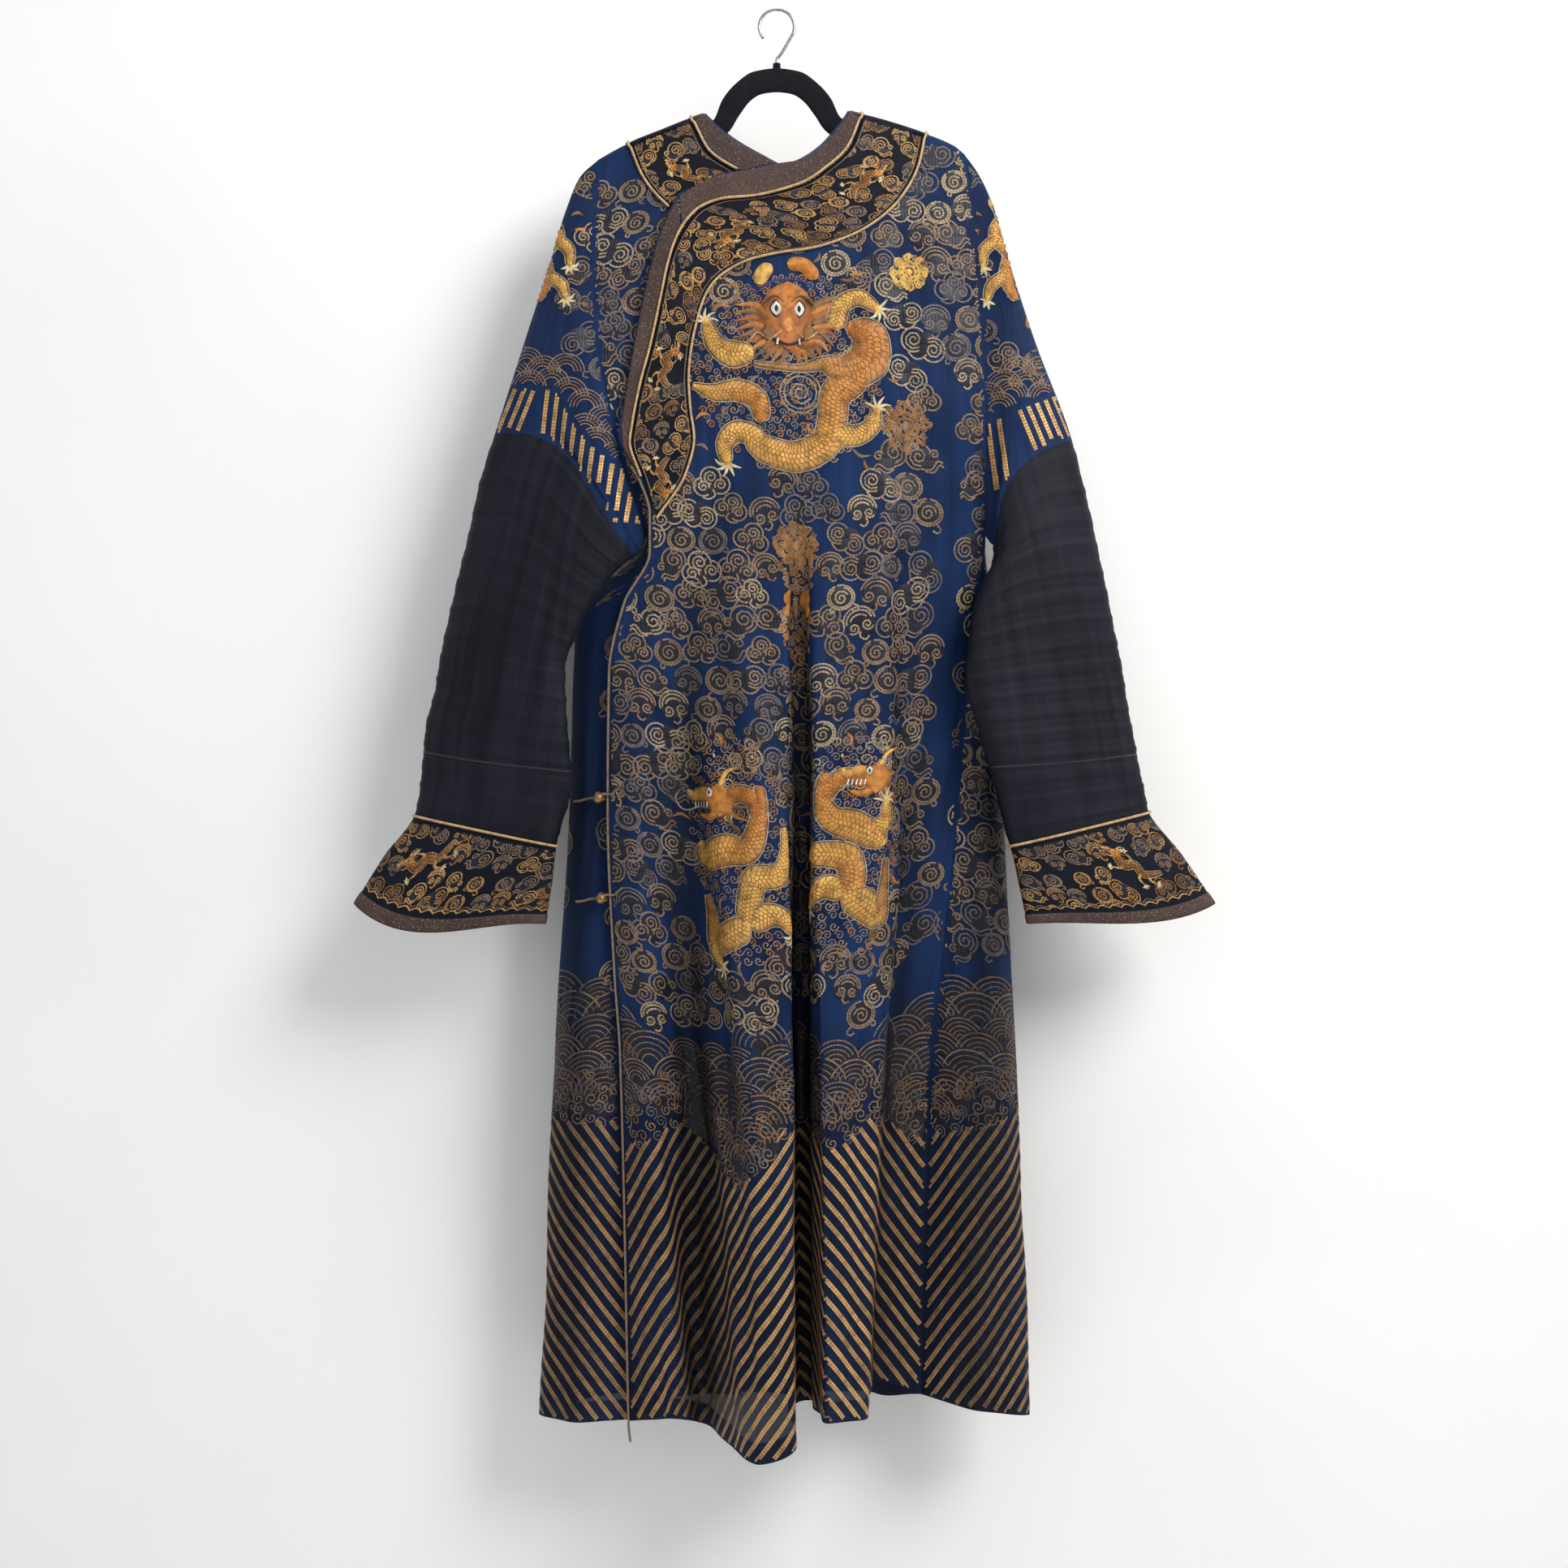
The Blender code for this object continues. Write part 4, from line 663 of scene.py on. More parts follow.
class Piece:
    """Collects grids of points into one mesh that rides on the robe."""

    def __init__(self):
        self.points, self.faces, self.uv, self.colour, self.count = [], [], [], [], 0

    def add(self, points, faces, corner_uv, colour=(1, 1, 1)):
        self.points.append(points.reshape(-1, 3))
        self.uv.append(corner_uv.reshape(-1, 2))
        self.colour.append(np.broadcast_to(colour, points.shape).reshape(-1, 3))
        self.faces.append(faces + self.count)
        self.count += len(self.points[-1])

    def grid(self, grid, uv, closed=False, flip=False, colour=(1, 1, 1)):
        """A grid of points; a closed one's uv has one column more, where it comes round."""
        turn = slice(None, None, -1) if flip else slice(None)
        faces = grid_faces(*grid.shape[:2], closed)[:, turn]
        corners = grid_faces(grid.shape[0], grid.shape[1] + closed)[:, turn]
        uv = np.broadcast_to(uv, (grid.shape[0], grid.shape[1] + closed, 2)).reshape(-1, 2)
        self.add(grid, faces, uv[corners.ravel()], colour)

    def tube(self, path, radius, sides=8, closed=False, capped=True, colour=(1, 1, 1)):
        """A round cord: at each point of path a circle square to it, with domed ends.

        The circle's directions are one fixed helper vector made square to the path, and the
        vector square to both. U of the UV map runs along the cord in radii, V round it.
        """
        path = np.asarray(path, float)
        run = np.roll(path, -1, axis=0) - np.roll(path, 1, axis=0) if closed else np.gradient(path, axis=0)
        run = unit(run)
        radius = np.broadcast_to(np.asarray(radius, float), (len(path),)).copy()
        if capped and not closed:
            dome = np.sin(np.radians([12, 45, 75]))
            back = 1 - np.cos(np.radians([78, 45, 15]))
            start = path[0] - run[0] * radius[0] * (1 - back[:, None])
            end = path[-1] + run[-1] * radius[-1] * (1 - back[::-1, None])
            path = np.concatenate([start, path, end])
            run = np.concatenate([run[:1].repeat(3, 0), run, run[-1:].repeat(3, 0)])
            radius = np.concatenate([radius[0] * dome, radius, radius[-1] * dome[::-1]])
        first = unit(CORD_HELPER - run * (run @ CORD_HELPER)[:, None])
        second = np.cross(run, first)
        length = np.r_[0, np.cumsum(np.linalg.norm(np.diff(path, axis=0), axis=1))]
        turn = np.linspace(0, math.tau, sides + 1)
        ring = first[:, None] * np.cos(turn[:-1])[:, None] + second[:, None] * np.sin(turn[:-1])[:, None]
        grid = path[:, None] + ring * radius[:, None, None]
        if closed:
            grid, length = np.concatenate([grid, grid[:1]]), np.r_[length, 2 * length[-1] - length[-2]]
        uv = np.stack(np.broadcast_arrays(length[:, None] / UV_UNIT, turn / math.tau), axis=-1)
        self.grid(grid, uv, closed=True, flip=True, colour=colour)

    def make(self, name, material, nodes=(), slot=None):
        points, faces = np.concatenate(self.points), np.concatenate(self.faces)
        uv, colour = np.concatenate(self.uv), np.concatenate(self.colour)
        mesh = bpy.data.meshes.new(name)
        mesh.vertices.add(len(points))
        mesh.vertices.foreach_set("co", points.astype(np.float32).ravel())
        mesh.loops.add(faces.size)
        mesh.loops.foreach_set("vertex_index", faces.ravel().astype(np.int32))
        mesh.polygons.add(len(faces))
        mesh.polygons.foreach_set("loop_start", np.arange(0, faces.size, 4, dtype=np.int32))
        mesh.update(calc_edges=True)
        flat = mesh.uv_layers.new(name="flat")
        flat.data.foreach_set("uv", uv.astype(np.float32).ravel())
        # Colour attribute: the threads' own colour and, on body panels and threads laid on cloths, the painted shade of
        # the cloth's hollows.
        thread = mesh.color_attributes.new("thread", "FLOAT_COLOR", "POINT")
        thread.data.foreach_set("color", np.c_[colour, np.ones(len(colour))].astype(np.float32).ravel())
        mesh.shade_smooth()
        if mesh.validate():
            raise ValueError(f"{name} has faulty faces")
        mesh.materials.append(finishes[material])
        obj = bpy.data.objects.new(name, mesh)
        bpy.context.scene.collection.objects.link(obj)
        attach(obj, "root")
        if nodes:
            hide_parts(*nodes)
        return obj


class Stitches(Piece):
    """Stitched lines and laid shapes on cloths, as one mesh of raised ribbons."""

    def __init__(self, lift=0.0, keep=None):
        super().__init__()
        self.lift, self.keep = lift, keep

    def line(self, cloth, path, width, colour, height=LINE_HIGH, low=LINE_LOW, lanes=3, keep=None):
        """Lays paths (..., n, 2) of flat metres as ribbons, width across and raised in the middle.

        Across the ribbon the lift is low + (height - low) sqrt(1 - c c), c from -1 to 1.
        """
        path = np.asarray(path, float)
        path = path.reshape((-1,) + path.shape[-2:])
        count, length = path.shape[:2]
        run = unit(np.gradient(path, axis=1))
        side = np.stack([-run[..., 1], run[..., 0]], axis=-1)
        width = np.broadcast_to(np.asarray(width, float), (count, length))
        cross = np.linspace(-1, 1, lanes)
        flat = path[:, :, None] + side[:, :, None] * (width / 2)[..., None, None] * cross[:, None]
        raised = low + (height - low) * np.sqrt(1 - cross**2) if lanes > 2 else np.full(2, height)
        points, normals, good = cloth.lay(flat[..., 0], flat[..., 1])
        points = points + normals * (self.lift + raised)[:, None]
        for test in (self.keep, keep):
            if test is not None:
                good &= test(flat[..., 0], flat[..., 1], points)
        steps = np.linalg.norm(np.diff(path, axis=1), axis=-1)
        along = np.concatenate([np.zeros((count, 1)), np.cumsum(steps, axis=1)], axis=1)
        uv = np.stack(np.broadcast_arrays(along[..., None] / UV_UNIT, (cross + 1) / 2), axis=-1)
        faces = grid_faces(length, lanes)[None] + (np.arange(count) * length * lanes)[:, None, None]
        faces = faces.reshape(-1, 4)
        faces = faces[good.reshape(-1)[faces].all(axis=1)]
        used, index = np.unique(faces, return_inverse=True)
        if not len(used):
            return
        colour = np.asarray(colour, float)
        if colour.ndim == 2:
            colour = colour[:, None, None]
        colour = np.broadcast_to(colour, (count, length, lanes, 3))
        # Threads laid on a cloth carry the painted shade of its hollows.
        if isinstance(cloth, Cloth):
            colour = colour * cloth.shaded(flat[..., 0], flat[..., 1])[..., None]
        colour = colour.reshape(-1, 3)[used]
        turn = slice(None, None, -1) if cloth.turn > 0 else slice(None)
        self.add(points.reshape(-1, 3)[used], index.reshape(-1, 4)[:, turn],
                 uv.reshape(-1, 2)[faces[:, turn].ravel()], colour)


# ---- The cloth pieces ---------------------------------------------------------------------
cloths, strips, pieces = {}, {}, {}


def cut_cloths():
    """Works out every cloth's table of points."""
    cloths["front"] = panel_cloth(FRONT, 1, "centre", (
        ("free_edge", "centre", overlap_top), ("centre", "left_side", shoulder_or(NECK_FRONT))), 3)
    cloths["back"] = panel_cloth(BACK, -1, "back_centre", (
        ("left_side", "right_side", shoulder_or(NECK_BACK)),), 5, 2.6, 150 * MM)
    cloths["under"] = panel_cloth(UNDERLAP, 1, "under_swell", (
        ("right_side", "under_edge", shoulder_or(NECK_UNDER)),), 8, 1.0)
    cloths["right"] = sleeve_cloth("right", 11)
    cloths["left"] = sleeve_cloth("left", 14)


def panel(name, cloth, first, last, edge):
    """A body panel: rows over the shoulder fold or from the neckline, then down to the hem.

    Inside the hem a second layer, HEM_TURN deep, is joined on along its lower edge.
    """
    u = cloth.u[cloth.names.index(first) * FOLD_COLUMNS:cloth.names.index(last) * FOLD_COLUMNS + 1]
    hem = np.interp(u, cloth.u, cloth.hem)
    top = top_drop(cloth.folds, cloth.side, edge, u)
    over = top[:, None] + FOLD_RADIUS * (1 - np.cos(np.linspace(0, math.pi / 2, FOLD_TURNS)))
    upper = np.linspace(over[:, -1], UPPER_END, UPPER_ROWS)[1:-1].T
    rows = round((LOWER_START - UPPER_END) / ROW_STEP)
    middle = np.broadcast_to(np.arange(UPPER_END, LOWER_START, ROW_STEP), (len(u), rows))
    lower = np.linspace(np.full(len(u), LOWER_START), hem, LOWER_ROWS).T
    drop = np.concatenate([over, upper, middle, lower], axis=1).T
    points, _, across = on_panel(cloth, np.broadcast_to(u, drop.shape), drop)
    column = np.broadcast_to(u * FOLD_COLUMNS, drop.shape)
    # The panel's colour attribute carries the painted shade of the cloth's hollows.
    shade = read(cloth.shade, cloth.row(drop), column)[..., None].repeat(3, axis=-1)
    piece = Piece()
    piece.grid(points, np.stack([across, drop], axis=-1) / UV_UNIT, colour=shade)
    turned = np.linspace(hem, hem - HEM_TURN, 4)
    inner, out, inner_across = on_panel(cloth, np.broadcast_to(u, turned.shape), turned)
    inner[1:] -= out[1:] * INSIDE
    piece.grid(inner, np.stack([inner_across, turned], axis=-1) / UV_UNIT)
    return piece.make(name, "silk_blue", [name.replace("_cloth", "")], "silk_blue")


# Each panel: cloth, first and last fold, top edge, flat cut (width, length) and area.
PANEL_CUTS = (
    ("overlap_front", "front", "free_edge", "centre", "overlap", (0.38, 1.38), 0.36),
    ("left_front", "front", "centre", "left_side", "front", (0.29, 1.41), 0.33),
    ("left_back", "back", "left_side", "back_centre", "back", (0.44, 1.42), 0.45),
    ("right_back", "back", "back_centre", "right_side", "back", (0.42, 1.42), 0.43),
    ("underlap_front", "under", "right_side", "under_edge", "under", (0.24, 1.42), 0.23),
)
# Each sleeve piece: material, flat cut all round and area.
SLEEVE_CUTS = (
    ("upper_sleeve", "silk_blue", (0.5, 0.33), 0.056),
    ("lower_sleeve", "silk_dark", (0.47, 0.39), 0.14),
    ("cuff", "band_black", (0.46, 0.13), 0.045),
)


def make_panels():
    edges = {"overlap": overlap_top, "front": shoulder_or(NECK_FRONT),
             "back": shoulder_or(NECK_BACK), "under": shoulder_or(NECK_UNDER)}
    for name, cloth, first, last, edge, flat, area in PANEL_CUTS:
        pieces[name] = panel(name + "_cloth", cloths[cloth], first, last, edges[edge]), flat, area


def sleeve_rows(cloth, start, end):
    """Rows of the sleeve's table from one distance down it to another."""
    return slice(round(float(cloth.row(start))), round(float(cloth.row(end))) + 1)


# The trims sewn on each cloth.
TRIMS = {}
CUFF_CORD_POINTS = 120


def make_sleeve_cloths():
    for side in SLEEVES:
        cloth = cloths[side]
        seams = cloth.reach[[ARMHOLE, ELBOW_SEAM, CUFF_SEAM, CUFF_END]]
        for (kind, material, flat, area), start, end in zip(SLEEVE_CUTS, seams, seams[1:]):
            rows = sleeve_rows(cloth, start, end)
            piece = Piece()
            uv = np.stack(np.broadcast_arrays(cloth.across[rows], cloth.down[rows, None]), axis=-1) / UV_UNIT
            piece.grid(cloth.points[rows, :-1], uv, closed=True, flip=side == "left")
            node = f"{side}_{kind}"
            pieces[node] = piece.make(node + "_cloth", material, [node], material), flat, area
        rows = sleeve_rows(cloth, seams[-1] - CUFF_BAND, seams[-1])
        last = rows.stop - 1
        rings = cloth.points[rows, :-1]
        out = cloth.normals[rows, :-1]
        lift = np.full(len(rings), BAND_LIFT)
        lift[[0, -1]] = BAND_LIFT * 0.4
        rings = rings + out * lift[:, None, None]
        inner = (cloth.points - cloth.normals * INSIDE)[[last, last - 3], :-1]
        grid = np.concatenate([rings, inner])
        down = np.r_[cloth.down[rows], cloth.down[last] + MM, cloth.down[last] + 6 * MM]
        uv = np.stack(np.broadcast_arrays(cloth.across[last][None], down[:, None]), axis=-1) / UV_UNIT
        piece = Piece()
        piece.grid(grid, uv, closed=True, flip=side == "left")
        edging = piece.make(f"{side}_cuff_edging", "brocade_brown", [f"{side}_cuff_band"], "brocade_brown")
        ring = cloth.row(seams[2] + CUFF_CORD_ROW)
        columns = np.linspace(0, SLEEVE_COLUMNS - 1, CUFF_CORD_POINTS + 1)[:-1]
        ring = np.full(CUFF_CORD_POINTS, ring)
        path = read(cloth.points, ring, columns) + unit(read(cloth.normals, ring, columns)) * PIPING
        piece = Piece()
        piece.tube(path, PIPING, closed=True)
        cord = piece.make(f"{side}_cuff_cord", "gold_cord", [f"{side}_cuff_piping"], "gold_cord")
        TRIMS[f"{side}_cuff"] = [edging, cord]


# ---- Bands sewn on the panels ----------------------------------------------------------------
BAND_LIFT = 1.0 * MM      # the cuff's edging stands this far off the cuff
YOKE_LIFT, COLLAR_LIFT = 1.0 * MM, 1.3 * MM     # and the bands' faces this far off the panel
PIPING_LIFT = 2.1 * MM    # the middle of the gold cord along a band
BAND_BREADTH = 13         # lines along a band's face


def strip_lines(first_edge, second_edge, rows, breadth):
    """A band's grid of (x, drop): rows from start to end, breadth lines between its edges."""
    a, b = np.array(first_edge) * MM, np.array(second_edge) * MM
    knots = np.arange(len(a))
    at = np.linspace(0, len(a) - 1, rows)
    first = np.stack([monotone(knots, a[:, n], at) for n in (0, 1)], axis=-1)
    second = np.stack([monotone(knots, b[:, n], at) for n in (0, 1)], axis=-1)
    t = np.linspace(0, 1, breadth)[None, :, None]
    return first[:, None] * (1 - t) + second[:, None] * t


def start_on_fold(lines, at_start, at_end):
    """Adds the rows over the shoulder fold to a band that begins or ends there."""
    rows = FOLD_RADIUS * (1 - np.cos(np.linspace(0, math.pi / 2, FOLD_TURNS)))
    parts = [lines]
    if at_start:
        top = lines[0].copy()
        top[:, 1] = outline(SHOULDER_FOLD, top[:, 0])
        parts = [np.stack([top + [0, row] for row in rows]), lines[1:]]
    if at_end:
        top = lines[-1].copy()
        top[:, 1] = outline(SHOULDER_FOLD, top[:, 0])
        parts[-1] = parts[-1][:-1]
        parts.append(np.stack([top + [0, row] for row in rows[::-1]]))
    return np.concatenate(parts)


def along_lines(lines):
    """Distance along each line of a band, row by row."""
    steps = np.linalg.norm(np.diff(lines, axis=0), axis=-1).mean(axis=1)
    return np.r_[0, np.cumsum(steps)]


def band(name, cloth, edges, rows, material, on_fold, lift):
    """A band: its face stands off the panel, soft at both edges, where it turns down to it."""
    lines = start_on_fold(strip_lines(*edges, rows, BAND_BREADTH), *on_fold)
    u = fold_count(cloth, lines[..., 0], lines[..., 1])
    points, normals, _ = on_panel(cloth, u, lines[..., 1])
    side = np.linspace(-1, 1, BAND_BREADTH)
    face = points + normals * (lift * (0.55 + 0.45 * (1 - side ** 8)))[:, None]
    grid = np.concatenate([points[:, :1], face, points[:, -1:]], axis=1)
    width = np.linalg.norm(lines[:, -1] - lines[:, 0], axis=-1)
    breadth = np.r_[-1, side, 1] * width[:, None] / 2
    uv = np.stack(np.broadcast_arrays(breadth, along_lines(lines)[:, None]), axis=-1) / UV_UNIT
    piece = Piece()
    inward = np.cross(points[1, 0] - points[0, 0], points[0, -1] - points[0, 0]) @ normals[0, 0]
    piece.grid(grid, uv, flip=inward < 0)
    strips[name] = Strip(face, normals, lines, inward)
    return piece.make(name, material, [name.replace("_face", "")], material)


def edge_cord(name, cloth, line, on_fold, radius, lift):
    """Gold cord lying over a band's edge."""
    lines = start_on_fold(strip_lines(line, line, 5 * len(line), 1), *on_fold)
    u = fold_count(cloth, lines[..., 0], lines[..., 1])
    points, normals, _ = on_panel(cloth, u, lines[..., 1])
    piece = Piece()
    piece.tube((points + normals * lift)[:, 0], radius)
    return piece.make(name, "gold_cord", [name.replace("_cord", "")], "gold_cord")


def make_bands():
    front, back, under = cloths["front"], cloths["back"], cloths["under"]
    start, both, none = (True, False), (True, True), (False, False)
    carriers = {id(front): "overlap_front", id(back): "right_back", id(under): "underlap_front"}
    for name, cloth, edges, rows, on_fold in (
        ("collar_band_face", front, (COLLAR_INNER, COLLAR_OUTER), 110, start),
        ("collar_band_underlap_face", under, (COLLAR_UNDER_INNER, COLLAR_UNDER_OUTER), 60, start),
        ("collar_band_back_face", back, (COLLAR_BACK_INNER, COLLAR_BACK_OUTER), 110, both),
        ("yoke_band_face", front, (YOKE_FRONT_INNER, YOKE_FRONT_OUTER), 180, start),
        ("yoke_band_underlap_face", under, (YOKE_UNDER_INNER, YOKE_UNDER_OUTER), 40, start),
        ("yoke_band_back_face", back, (YOKE_BACK_INNER, YOKE_BACK_OUTER), 120, both),
        ("overlap_edge_strip_face", front, (EDGE_STRIP_INNER, EDGE_STRIP_OUTER), 110, none),
    ):
        material, lift = ("band_black", YOKE_LIFT) if "yoke" in name else ("brocade_brown", COLLAR_LIFT)
        trim = band(name, cloth, edges, rows, material, on_fold, lift)
        TRIMS.setdefault(carriers[id(cloth)], []).append(trim)
    for name, cloth, line, on_fold in (
        ("collar_piping_cord", front, COLLAR_OUTER + EDGE_PIPING, start),
        ("collar_piping_back_cord", back, COLLAR_BACK_OUTER, both),
        ("collar_piping_underlap_cord", under, COLLAR_UNDER_OUTER[:4], start),
        ("yoke_piping_cord", front, YOKE_FRONT_OUTER, start),
        ("yoke_piping_back_cord", back, YOKE_BACK_OUTER, both),
        ("yoke_piping_underlap_cord", under, YOKE_UNDER_OUTER, start),
    ):
        cord = edge_cord(name, cloth, line, on_fold, PIPING, PIPING_LIFT)
        TRIMS.setdefault(carriers[id(cloth)], []).append(cord)


# ---- Cords, buttons and hanger -------------------------------------------------------------
def smooth_path(points, count):
    """count places along a smooth curve through the points, evenly by knot."""
    points = np.asarray(points, float)
    knots = np.arange(len(points))
    at = np.linspace(0, len(points) - 1, count)
    tangent = np.gradient(points, axis=0)
    i = np.minimum(at.astype(int), len(points) - 2)
    t = (at - knots[i])[:, None]
    return hermite(t, points[i], points[i + 1], tangent[i], tangent[i + 1])


def turned(piece, profile, centre, sides=24, lean=(0, 0, 1), colour=(1, 1, 1)):
    """A turned shape: a profile of (radius, height) carried round an axis through centre."""
    radius, height = np.array(profile).T
    up = unit(np.array(lean, float))
    first = unit(np.cross(up, (0.3, 0.9, 0.2)))
    second = np.cross(up, first)
    turn = np.linspace(0, math.tau, sides + 1)
    ring = first * np.cos(turn[:-1, None]) + second * np.sin(turn[:-1, None])
    grid = np.array(centre) + ring * radius[:, None, None] + up * height[:, None, None]
    run = np.r_[0, np.cumsum(np.hypot(np.diff(radius), np.diff(height)))]
    uv = np.stack(np.broadcast_arrays(run[:, None] / UV_UNIT, turn / math.tau), axis=-1)
    piece.grid(grid, uv, closed=True, flip=True, colour=colour)


BUTTON_RIBS, BUTTON_RIB = 5, 0.02              # rings cast round the ball, and their share of its radius
# The button's shank and the hanger's ferrule, as (radius, height) in millimetres.
SHANK = ((1.7, 0), (1.9, 0.3), (1.5, 0.7), (0.9, 1.0), (0.2, 1.1))
FERRULE = ((0.5, 0), (4.1, 0), (4.5, 0.4), (4.5, 1.2), (4.1, 1.7), (4.1, 3.2), (4.4, 3.6),
           (4.3, 4.4), (3.4, 4.9), (1.95, 5.0))


def make_side_cord():
    """The cord down the overlap's free edge, with its loose end below the hem."""
    cloth = cloths["front"]
    drop = np.linspace(EDGE_CORD_FROM, cloth.hem[0] - MM, 300)
    edge, _, _ = on_panel(cloth, np.zeros(len(drop)), drop)
    inner, _, _ = on_panel(cloth, np.full(len(drop), 0.06), drop)
    line = edge + unit(edge - inner) * SIDE_CORD
    tail = line[-1] + np.array(CORD_TAIL) * MM
    piece = Piece()
    piece.tube(np.concatenate([line, smooth_path(np.concatenate([line[-1:], tail]), 12)[1:]]), SIDE_CORD)
    piece.make("overlap_edge_cord", "tan_cord", ["overlap_side_cord"], "brocade_brown")
    return line


def make_closure():
    """Both ball buttons, each with the cord that holds it and the loop that it slips into."""
    line = make_side_cord()
    clear = BUTTON_RADIUS + BUTTON_GAP + LOOP_RADIUS
    rise = LOOP_RADIUS + 0.2 * MM
    for number, drop in enumerate(BUTTON_DROPS, start=1):
        edge_x = outline(OVERLAP_EDGE, drop, along=1)
        forward = np.interp(drop, -line[:, 2], line[:, 1])
        centre = np.array([edge_x - BUTTON_BESIDE_EDGE, forward - BUTTON_FORWARD, -drop])
        ball = Piece()
        polar = np.radians(np.linspace(2, 178, 30))
        rib = 1 + BUTTON_RIB * np.cos(polar * 2 * BUTTON_RIBS)
        turned(ball, np.c_[np.sin(polar) * rib, -np.cos(polar) * rib] * BUTTON_RADIUS, centre, 40,
               HOLD_CORD_FROM)
        stem = centre + unit(np.array(HOLD_CORD_FROM)) * BUTTON_RADIUS * 0.97
        turned(ball, np.array(SHANK) * MM, stem, 20, HOLD_CORD_FROM)
        ball.make(f"ball_button_{number}", "brass", [f"button_{number}"], "brass")
        for kind, places, starts, cloth, between in (
            ("cord", HOLD_CORD, HOLD_CORD_FROM, cloths["front"], ("free_edge", "side_swell")),
            ("loop", HOLD_LOOP, HOLD_LOOP_FROM, cloths["back"], ("right_far", "right_side")),
        ):
            x, below = np.array([edge_x, drop])[:, None] + np.array(places).T * MM
            over, out, _ = on_panel(cloth, fold_count(cloth, x, below, between), below)
            near = centre + np.array([starts]) * clear
            path = smooth_path(np.concatenate([near, over + out * rise]), 40)
            side = unit(np.cross(np.gradient(path, axis=0), out[0]))
            piece = Piece()
            for way in (-0.5, 0.5):
                piece.tube(path + side * way * LOOP_RADIUS, LOOP_RADIUS * 0.55)
            if kind == "loop":
                turn = np.radians(np.linspace(0, 360, 31))[:-1]
                axis = unit(np.array(HOLD_CORD_FROM))
                first = unit(np.cross(axis, (0.1, 1, 0)))
                ring = first * np.cos(turn)[:, None] + np.cross(axis, first) * np.sin(turn)[:, None]
                hoop = centre + axis * BUTTON_RADIUS * 0.55 + ring * (BUTTON_RADIUS * 0.84 + LOOP_RADIUS * 0.5)
                piece.tube(hoop, LOOP_RADIUS * 0.5, closed=True)
            piece.make(f"knotted_{kind}_{number}", "tan_cord", [f"button_{kind}_{number}"], "brocade_brown")


def make_hanger():
    """The flat band's rings: half its thickness along y by a power under 1 of sine, and half its height across by
    cosine, shrunk to a rounded end at either tip."""
    upper, lower = np.array(HANGER_UPPER) * MM, np.array(HANGER_LOWER) * MM
    middle = (upper + lower) / 2
    length = np.r_[0, np.cumsum(np.linalg.norm(np.diff(middle, axis=0), axis=1))]
    at = np.linspace(0, length[-1], 160)
    at[[0, -1]] += [0.02 * MM, -0.02 * MM]
    middle = np.stack([monotone(length, middle[:, n], at) for n in (0, 1)], axis=-1)
    rise = np.stack([monotone(length, (upper - lower)[:, n] / 2, at) for n in (0, 1)], axis=-1)
    end = np.minimum(at, length[-1] - at)
    rounded = np.sqrt(np.clip(1 - (1 - np.minimum(end / END_ROUND, 1)) ** 2, 0.004, 1))
    turn = np.linspace(0, math.tau, 33)
    corner = turn[:-1]
    flat = HANGER_THICK / 2 * np.abs(np.sin(corner)) ** HANGER_SQUARE * np.sign(np.sin(corner))
    edge = middle[:, None] + (rise * rounded[:, None])[:, None] * np.cos(corner)[None, :, None]
    grid = np.stack([edge[..., 0], flat * np.sqrt(rounded)[:, None], -edge[..., 1]], axis=-1)
    uv = np.stack(np.broadcast_arrays(at[:, None], turn * 6 * MM), axis=-1) / UV_UNIT
    piece = Piece()
    piece.grid(grid, uv, closed=True)
    piece.make("hanger_pad", "velvet_black", ["hanger"], "velvet_black")

    piece = Piece()
    turned(piece, np.array(FERRULE) * MM, (0, 0, -FERRULE_TOP - FERRULE_HEIGHT), 40)
    piece.make("hanger_collar", "velvet_black", ["hanger_ferrule"], "velvet_black")

    angle = np.radians(np.linspace(*HOOK_ANGLES, 90))
    bow = np.stack([HOOK_BEND * np.cos(angle), HOOK_BEND * (np.sin(angle) - 1) + HOOK_WIRE], axis=-1)
    stem = np.array(HOOK_STEM) * MM - [0, FERRULE_TOP]
    stem = smooth_path(np.concatenate([stem, bow[:1]]), 20)[:-1]
    line = np.concatenate([stem, bow])
    path = np.stack([line[:, 0], np.zeros(len(line)), line[:, 1]], axis=-1)
    piece = Piece()
    piece.tube(path, HOOK_WIRE, sides=20)
    piece.make("hanger_wire", "chrome", ["hanger_hook"], "chrome")


# ---- Embroidery: shapes in flat millimetres, x across and y down ------------------------------
TAN, GREY, CREAM = silk(146, 120, 96), silk(116, 104, 104), silk(178, 156, 124)
BROWN_GOLD, DARK_GOLD = silk(150, 104, 56), silk(96, 66, 40)
YELLOW, ORANGE, PALE = silk(244, 192, 96), silk(212, 134, 52), silk(246, 226, 180)
STRIPE_GOLD, STRIPE_TAN = silk(206, 160, 100), silk(132, 98, 66)
DARK_GROUND, WAVE_BROWN = silk(26, 28, 46), silk(134, 98, 64)
INK, WHITE = silk(8, 12, 26), silk(238, 236, 226)
SCALE = silk(158, 92, 36)
PATH_POINTS = 15          # points of a curl, arc or curve, if not told otherwise
FIN_STEP, FIN_LENGTH, FIN_WIDTH = 5, 3.4, 1.7 * MM     # fins: path points apart, millimetres long
SCALE_PITCH = 4.6 * MM
TOE_SPREAD = 38           # degrees between a foot's toes
PETALS = 8
CLOUD_WIDE, CLOUD_HIGH = 37, 30                # the dark ground under a cloud
CLOUD_TURN = 44           # degrees between the two furthest ways that a cloud leans
CLOUD_LEAST, CLOUD_SPREAD = 0.88, 0.24         # the smallest cloud's size, and how far sizes differ


